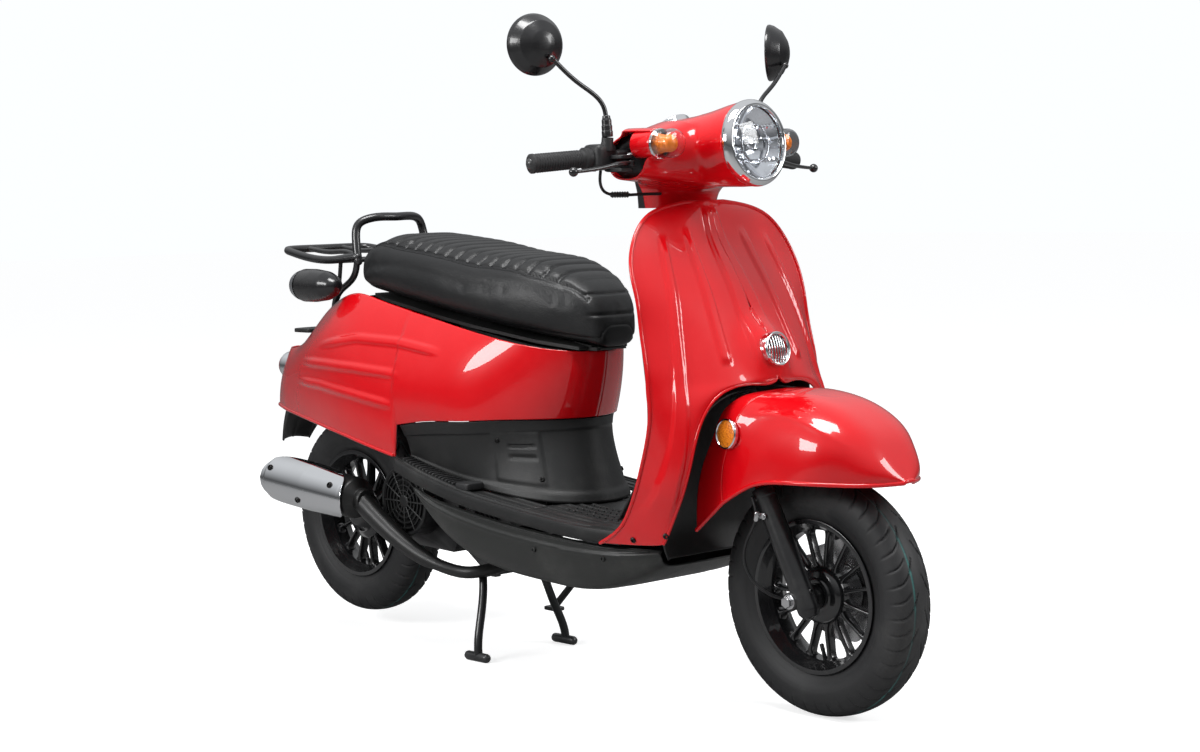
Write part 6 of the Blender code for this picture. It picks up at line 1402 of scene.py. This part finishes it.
for label, sign in SIDES:
    spot = np.array([0.482, sign * 0.15, 1.02])
    piece(f"front_indicator_pod_{label}", "steering", red_gloss,
          turned(eased([(-0.085, 0.0), (-0.085, 0.0258), (-0.04, 0.0262), (-0.0335, 0.025), (-0.0335, 0.0)], 0.001),
                 spot, (1, 0, 0), 56), stands_for=f"front_indicator_{label}", slot="clear_lens")
    piece(f"front_indicator_lens_{label}", "steering", clear_glass,
          turned(eased([(-0.033, 0.0262), (0.002, 0.0262), (0.0095, 0.0225), (0.012, 0.013), (0.0125, 0.0)],
                       0.004, 8),
                 spot, (1, 0, 0), 64), slot="clear_lens", out=(1, 0, 0), wall=0.0012)
    piece(f"front_indicator_bulb_{label}", "steering", orange_bulb,
          turned(bulb_profile(-0.033, 0.004, 0.016, 7), spot, (1, 0, 0), 48), slot="amber_lens")
    piece(f"front_indicator_ring_{label}", "steering", chrome,
          turned(eased([(-0.035, 0.0262), (-0.035, 0.0275), (-0.031, 0.0275), (-0.03, 0.0262)], 0.0006), spot,
                 (1, 0, 0), 64), turned([(-0.0334, 0.025), (-0.033, 0.016)], spot, (1, 0, 0), 48), slot="chrome")
    spot = np.array([-0.6, sign * 0.15, 0.752])
    piece(f"rear_indicator_lens_{label}", "chassis", clear_glass,
          turned(eased([(0.0388, 0.0338), (0.052, 0.0318), (0.066, 0.0255), (0.0725, 0.014), (0.074, 0.0)], 0.006,
                       8),
                 spot, (-1, 0, 0), 64), slot="clear_lens", out=(-1, 0, 0), wall=0.0012)
    piece(f"rear_indicator_bulb_{label}", "chassis", orange_bulb,
          turned(bulb_profile(0.0386, 0.06, 0.014, 5), spot, (-1, 0, 0), 48), slot="amber_lens")


# ------------------------------------------------------------------ seat
# A two-up seat on a plastic base, hinged at its nose. Foam under black grained vinyl: cross pleats on the
# top, a smooth panel on each side, and a double-stitched seam where they meet.

SEAT = np.array([(0.174, 0.03, 0.69, 0.668), (0.168, 0.05, 0.717, 0.641), (0.146, 0.07, 0.753, 0.642),
                 (0.1, 0.094, 0.782, 0.648), (0.03, 0.122, 0.803, 0.658), (-0.12, 0.143, 0.82, 0.682),
                 (-0.235, 0.145, 0.838, 0.701), (-0.36, 0.14, 0.852, 0.721), (-0.44, 0.134, 0.853, 0.734),
                 (-0.472, 0.126, 0.838, 0.742), (-0.48, 0.112, 0.8, 0.764)])
seat_vinyl = finish_of("seat_vinyl", (0.008, 0.0082, 0.0088), 0.4, dust=0.06, drift=0.1, grain=750, height=0.55,
                       specular=0.42)
seat_lines = through(SEAT, 150)
x, w, top_z, foot_z = (seat_lines[:, k, None] for k in range(4))
w, top_z, foot_z = w - 0.003, top_z - 0.003, foot_z + 0.0005
a = np.linspace(0, 2 * np.pi, 121)[None, :]
c, s = (np.sign(f) * np.abs(f) ** 0.62 for f in (np.cos(a), np.sin(a)))
body = np.stack([x + 0 * a, w * c, (top_z + foot_z) / 2 + (top_z - foot_z) / 2 * s], axis=-1)
nose, back = (np.repeat(body[k].mean(axis=0)[None, None], 121, axis=1) for k in (0, -1))
start_form = np.concatenate([nose + [0.001, 0, 0], body, back - [0.001, 0, 0]])
seat = piece("seat_cover", "seat", seat_vinyl, start_form, stands_for="seat_cushion", slot="seat_vinyl", sharp=180)
remesh = seat.modifiers.new("voxels", "REMESH")
remesh.mode = "VOXEL"
remesh.voxel_size = 0.005


def baked(obj):
    """Replaces an object's mesh by what its modifiers make of it."""
    bpy.context.view_layer.update()
    done = bpy.data.meshes.new_from_object(obj.evaluated_get(bpy.context.evaluated_depsgraph_get()))
    obj.modifiers.clear()
    obj.data = done
    return obj


def points_of(mesh):
    """The mesh's points as one array."""
    held = np.empty(len(mesh.vertices) * 3, np.float32)
    mesh.vertices.foreach_get("co", held)
    return held.reshape(-1, 3).astype(float)


def normals_of(mesh):
    """The mesh's point normals as one array."""
    held = np.empty(len(mesh.vertices) * 3, np.float32)
    mesh.vertex_normals.foreach_get("vector", held)
    return held.reshape(-1, 3).astype(float)


baked(seat)
before = points_of(seat.data)
foot_at = np.interp(before[:, 0] - DRAWN_ZERO, SEAT[::-1, 0], SEAT[::-1, 3])
pinned = seat.vertex_groups.new(name="held_by_base")
pinned.add([int(k) for k in np.flatnonzero(before[:, 2] < foot_at + 0.01)], 1.0, "ADD")
swell = seat.modifiers.new("swell", "CLOTH")
swell.settings.quality = 5
swell.settings.mass = 0.3
swell.settings.use_pressure = True
swell.settings.uniform_pressure_force = 4.0
swell.settings.tension_stiffness = 25
swell.settings.compression_stiffness = 25
swell.settings.vertex_group_mass = pinned.name
swell.settings.effector_weights.gravity = 0.0
swell.point_cache.frame_start, swell.point_cache.frame_end = 1, 20
for moment in range(1, 21):
    scene.frame_set(moment)
baked(seat)
after = points_of(seat.data)
move = after - before
far = np.linalg.norm(move, axis=1, keepdims=True)
held = before + move * np.minimum(1.0, 0.005 / np.maximum(far, 1e-9))
seat.data.vertices.foreach_set("co", held.astype(np.float32).ravel())
scene.frame_set(1)
seat.vertex_groups.clear()
smoother = seat.modifiers.new("smoother", "SMOOTH")
smoother.factor, smoother.iterations = 0.5, 3
finer = seat.modifiers.new("finer", "SUBSURF")
finer.levels = finer.render_levels = 1
baked(seat)
spots, ways = points_of(seat.data), normals_of(seat.data)
px, py, pz = spots[:, 0] - DRAWN_ZERO, spots[:, 1], spots[:, 2]
seat_w = np.interp(px, SEAT[::-1, 0], SEAT[::-1, 1])
seat_foot = np.interp(px, SEAT[::-1, 0], SEAT[::-1, 3])
side_line = 0.8 * seat_w
up_facing = smooth_step(ways[:, 2], 0.3, 0.6)
pleat = np.abs(((px + 0.44) / 0.033 + 0.5) % 1.0 - 0.5) * 0.033
pleats = -0.003 * np.exp(-(pleat / 0.004) ** 2) * (px < 0.115) * (px > -0.45) * up_facing \
    * (1 - smooth_step(np.abs(py), side_line - 0.006, side_line))
crown = 0.002 * np.cos(np.clip(pleat / 0.0165, 0, 1) * np.pi / 2 - np.pi / 2) * up_facing \
    * (1 - smooth_step(np.abs(py), side_line - 0.01, side_line)) * (px < 0.12) * (px > -0.46)
seam = -0.003 * np.exp(-((np.abs(py) - side_line) / 0.0032) ** 2) * smooth_step(ways[:, 2], 0.05,
                                                                                 0.25) * (px > -0.468) \
    * (px < 0.15)
nose_seams = -0.0028 * (np.exp(-((pz - 0.742) / 0.003) ** 2) + np.exp(-((pz - 0.702) / 0.003) ** 2)) \
    * smooth_step(ways[:, 0], 0.55, 0.8)
hem_seam = -0.0022 * np.exp(-((pz - seat_foot - 0.016) / 0.003) ** 2) * (ways[:, 2] < 0.3)
shift = pleats + crown + seam + nose_seams + hem_seam
seat.data.vertices.foreach_set("co", (spots + ways * shift[:, None]).astype(np.float32).ravel())
seat.data.shade_smooth()
seat.data.materials.clear()
seat.data.materials.append(seat_vinyl)
seat_tree = BVHTree.FromPolygons([v.co.copy() for v in seat.data.vertices],
                                 [tuple(p.vertices) for p in seat.data.polygons])
thread = finish_of("seat_thread", (0.01, 0.01, 0.011), 0.6, dust=0.0, height=0.3)
stitches = []
for sign in (-1.0, 1.0):
    for offset in (-0.0042, 0.0042):
        for sx in np.arange(-0.452, 0.128, 0.0072):
            sy = sign * (0.8 * np.interp(sx, SEAT[::-1, 0], SEAT[::-1, 1]) + offset)
            ends = []
            for step in (0.0, 0.005):
                hit = seat_tree.ray_cast(Vector((sx + step + DRAWN_ZERO, sy, 1.2)), Vector((0, 0, -1)))
                ends.append(np.array(hit[0]) + np.array(hit[1]) * 0.0004)
            middle = (ends[0] + ends[1]) / 2 + np.array(hit[1]) * 0.0004
            stitches.append(along([ends[0], middle, ends[1]], 0.00055, 5, ends="flat") - [DRAWN_ZERO, 0, 0])
piece("seat_stitching", "seat", thread, *stitches, slot="seat_vinyl")
kept("seat_base", grained_black)


# ------------------------------------------------------------------ engine unit
# The engine, belt drive and rear hub swing as one. Rough cast alloy under black paint, with a round black
# fan grille on the right.

cast_black = finish_of("cast_black", (0.012, 0.012, 0.013), 0.48, metallic=0.3, dust=0.2, drift=0.15, grain=420,
                       height=0.45, wear=0.35)
kept("engine_case", cast_black)
FAN = np.array([-0.356, -0.1225, 0.307])
fan_rings = [turned(eased([(-0.008, 0.0735), (0.0015, 0.0735), (0.0035, 0.07), (0.0015, 0.066), (-0.004, 0.0655)],
                          0.0015), FAN, (0, -1, 0), 96)]
for ring_radius in (0.056, 0.045, 0.034, 0.023):
    fan_rings.append(turned(eased([(-0.004, ring_radius - 0.0016), (0.0015, ring_radius - 0.0016),
                                   (0.0015, ring_radius + 0.0016), (-0.004, ring_radius + 0.0016)], 0.0006),
                            FAN, (0, -1, 0), 72))
fan_rings.append(turned(eased([(-0.004, 0.014), (0.001, 0.014), (0.0025, 0.011), (0.0025, 0)], 0.001), FAN,
                        (0, -1, 0), 48))
for spoke in np.radians(np.arange(0, 360, 30)):
    ray = np.array([math.cos(spoke), 0, math.sin(spoke)])
    fan_rings.append(along([FAN + ray * 0.012, FAN + ray * 0.04, FAN + ray * 0.068], 0.002, 8))
piece("fan_grille", "swing_unit", grained_black, *fan_rings, slot="black_plastic")
piece("engine_bolts", "swing_unit", steel,
      *[grid for k in range(8) for grid in screw_grids(
          (-0.3565 + 0.07 * math.cos(k * 0.785 + 1.0), 0.1485, 0.3 + 0.068 * math.sin(k * 0.785 + 1.0)),
          (0, 1, 0), 0.005, 0.004, True)], slot="bright_steel")
piece("cylinder_fins", "swing_unit", cast_black,
      *[turned(eased([(k * 0.0125, 0.03), (k * 0.0125, 0.0555), (k * 0.0125 + 0.003, 0.0555),
                      (k * 0.0125 + 0.003, 0.03)], 0.001), (-0.235, 0, 0.3005), (0.995, 0, 0.09), 48)
        for k in range(8)], slot="cast_alloy")


# ------------------------------------------------------------------ exhaust
# A bent pipe leads under the engine to the silencer on the right, painted heat-proof black. A chromed
# pressed shield on three socket screws keeps the passenger's leg off it.

exhaust_black = finish_of("exhaust_black", (0.009, 0.009, 0.009), 0.42, dust=0.15, drift=0.2, grain=500, height=0.15,
                          wear=0.2)
pipe = through([(-0.12, 0, 0.2612), (-0.1215, 0, 0.238), (-0.124, -0.01, 0.208), (-0.129, -0.04, 0.19),
                (-0.137, -0.075, 0.183), (-0.157, -0.105, 0.178), (-0.215, -0.12, 0.18), (-0.3, -0.135, 0.205),
                (-0.395, -0.152, 0.262), (-0.47, -0.157, 0.312)], 110)
MUFFLER, MUFFLER_WAY = np.array([-0.452, -0.156, 0.306]), unit([-0.3, 0.0, 0.024])
muffler = turned(eased([(0.0, 0.0), (0.0, 0.018), (0.006, 0.0225), (0.02, 0.0425), (0.026, 0.044), (0.12, 0.044),
                        (0.124, 0.0446), (0.128, 0.044), (0.246, 0.044), (0.252, 0.0445), (0.264, 0.035),
                        (0.268, 0.028), (0.268, 0.0)], 0.003, 6), MUFFLER, MUFFLER_WAY, 96)
collar = turned(eased([(-0.012, 0.0), (-0.012, 0.0235), (-0.008, 0.025), (0.002, 0.025), (0.006, 0.0235),
                       (0.006, 0.0)], 0.0015), MUFFLER, MUFFLER_WAY, 56)
pipe_radius = np.interp(np.linspace(0, 1, 110), [0, 0.5, 0.56, 0.78, 1.0], [0.0125, 0.0125, 0.0165, 0.0205, 0.023])
piece("exhaust_pipe_and_silencer", "swing_unit", exhaust_black, along(pipe, pipe_radius, 28), muffler, collar,
      along([(-0.7, -0.156, 0.318), (-0.722, -0.156, 0.31), (-0.742, -0.156, 0.3)], 0.01, 24),
      stands_for="exhaust", slot="exhaust_black")
SHIELD_ROWS = np.array([(-0.458, 0.309, 0.04, -50, 62), (-0.47, 0.31, 0.051, -60, 72),
                        (-0.6, 0.3205, 0.054, -62, 76), (-0.728, 0.3305, 0.053, -60, 76),
                        (-0.746, 0.332, 0.042, -46, 58)])
share = np.linspace(0, 1, 120)
keys = [0.0, 0.045, 0.48, 0.93, 1.0]
x, z, r, low, high = (np.interp(share, keys, SHIELD_ROWS[:, k])[:, None] for k in range(5))
r = np.maximum(r, 0.0505)
taper = (1 - np.abs(2 * share[:, None] - 1) ** 4.5) ** 0.45
a = np.radians((low + high) / 2 + 1.12 * (high - low) / 2 * taper * np.linspace(-1, 1, 70)[None, :])
shield_sheet = np.stack([x + 0 * a, -0.156 - 1.12 * r * np.cos(a), z + r * np.sin(a)], axis=-1)
piece("silencer_shield", "swing_unit", chrome, shield_sheet, stands_for="muffler_shield",
                      slot="chrome", out=(0, -1, 0), wall=0.0016, sharp=35)
guard_screws = []
for sx, angle in ((-0.5, 30), (-0.61, -25), (-0.715, 34)):
    k = math.radians(angle)
    radius = float(np.interp(-sx, [0.458, 0.47, 0.6, 0.728, 0.746], [0.04, 0.051, 0.054, 0.053, 0.042]))
    sz = float(np.interp(-sx, [0.458, 0.746], [0.309, 0.332]))
    guard_screws += screw_grids((sx, -0.156 - 1.12 * radius * math.cos(k), sz + radius * math.sin(k)),
                                (0, -math.cos(k), math.sin(k)), 0.0068, 0.0042)
piece("silencer_shield_screws", "swing_unit", screw_black, *guard_screws, slot="black_steel")


# ------------------------------------------------------------------ shock absorber
# One coil-over unit on the left. Its eyes pivot on the frame and on the belt case, the chromed rod slides
# in the body, and the coil is squeezed between the two cups.

SHOCK_TOP, SHOCK_FOOT = np.array([-0.61, 0.114, 0.572]), np.array([-0.665, 0.114, 0.35])
SHOCK_WAY = unit(SHOCK_TOP - SHOCK_FOOT)
SHOCK_LONG = float(np.linalg.norm(SHOCK_TOP - SHOCK_FOOT))
piece("shock_rod_and_cup", "shock_top", enamel,
      turned(eased([(-0.01, 0.0), (-0.01, 0.0135), (0.01, 0.0135), (0.01, 0.0)], 0.001), SHOCK_TOP, (0, 1, 0),
             40),
      turned(eased([(0.012, 0.0), (0.014, 0.022), (0.018, 0.024), (0.03, 0.024), (0.03, 0.0055)], 0.002),
             SHOCK_TOP, -SHOCK_WAY, 48), stands_for="shock_upper", slot="black_steel")
piece("shock_rod", "shock_top", stanchion_chrome,
      turned([(0.028, 0.0054), (0.112, 0.0054), (0.112, 0.0)], SHOCK_TOP, -SHOCK_WAY, 28), slot="chrome")
piece("shock_body", "shock_bottom", enamel,
      turned(eased([(-0.01, 0.0), (-0.01, 0.015), (0.01, 0.015), (0.01, 0.0)], 0.001), SHOCK_FOOT, (0, 1, 0),
             40),
      turned(eased([(0.012, 0.0), (0.014, 0.0165), (0.018, 0.024), (0.026, 0.024), (0.026, 0.0165), (0.128, 0.0165),
                    (0.13, 0.015), (0.13, 0.0)], 0.0012), SHOCK_FOOT, SHOCK_WAY, 48),
      stands_for="shock_lower", slot="black_steel")
t = np.linspace(0, 1, 420)
turns = 2 * np.pi * (7.0 * t - 0.6 * np.sin(2 * np.pi * t) / (2 * np.pi))
coil_first, coil_second = square_to(SHOCK_WAY)
low_end, high_end = 0.03, SHOCK_LONG - 0.034
coil = (SHOCK_FOOT + SHOCK_WAY * (low_end + (high_end - low_end) * t)[:, None]
        + 0.0205 * (np.cos(turns)[:, None] * coil_first + np.sin(turns)[:, None] * coil_second))
spring_red = finish_of("spring_black", (0.016, 0.016, 0.017), 0.32, coat=0.4, dust=0.15, grain=700, height=0.05)
spring = piece("shock_coil", "shock_top", spring_red, along(coil, 0.0027, 12), stands_for="shock_spring",
               slot="black_steel", sharp=60)
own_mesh(spring)


# ------------------------------------------------------------------ kick lever and stands
# The folding kick lever hangs on the left case. The two-legged centre stand carries the parked weight, and
# a single-legged prop folds out on the left. All are forged or bent steel in black enamel.

piece("kick_lever_arm", "kick_lever", steel,
      turned(eased([(0.0, 0.0), (0.0, 0.0125), (0.0175, 0.0125), (0.0175, 0.0)], 0.0012), (-0.42, 0.1505, 0.262),
             (0, 1, 0), 40),
      along(through([(-0.42, 0.16, 0.262), (-0.5, 0.163, 0.289), (-0.575, 0.165, 0.315)], 30), 0.0065, 16,
            (1.0, 1.0)), stands_for="kick_lever", slot="bright_steel")
piece("kick_lever_pedal", "kick_lever", pad_rubber,
      turned(eased([(0.0, 0.0), (0.0, 0.0085)] + [(0.004 + 0.0038 * k + d, 0.0085 - 0.001 * (k % 2))
                                                    for k in range(9) for d in (0.0, 0.003)]
                   + [(0.042, 0.0085), (0.042, 0.0)], 0.0005), (-0.575, 0.158, 0.315), (0, 1, 0), 32),
      slot="grip_rubber")
stand_parts = [along([(-0.165, -0.079, 0.172), (-0.165, 0.0, 0.172), (-0.165, 0.079, 0.172)], 0.01, 20)]
for sign in (-1.0, 1.0):
    leg = np.array([(-0.165, 0.0755, 0.172), (-0.158, 0.081, 0.15), (-0.146, 0.1, 0.085), (-0.135, 0.118, 0.02),
                    (-0.134, 0.118, 0.01)]) * [1, sign, 1]
    stand_parts.append(along(through(leg, 50), 0.0085, 18))
    stand_parts.append(along([(-0.166, sign * 0.118, 0.0097), (-0.138, sign * 0.118, 0.0096),
                              (-0.11, sign * 0.118, 0.0097)], 0.0094, 18))
piece("centre_stand_frame", "centre_stand", enamel, *stand_parts, stands_for="centre_stand", slot="black_steel")
side_leg = through([(-0.045, 0.151, 0.235), (-0.062, 0.152, 0.213), (-0.14, 0.154, 0.128),
                    (-0.205, 0.157, 0.068)], 50)
piece("side_stand_leg", "side_stand", enamel, along(side_leg, 0.0075, 18),
      rounded_box((-0.212, 0.158, 0.06), (0.042, 0.026, 0.009), None, 0.3, 14),
      rounded_box((-0.045, 0.151, 0.236), (0.026, 0.012, 0.026), None, 0.4, 14), stands_for="side_stand",
      slot="black_steel")
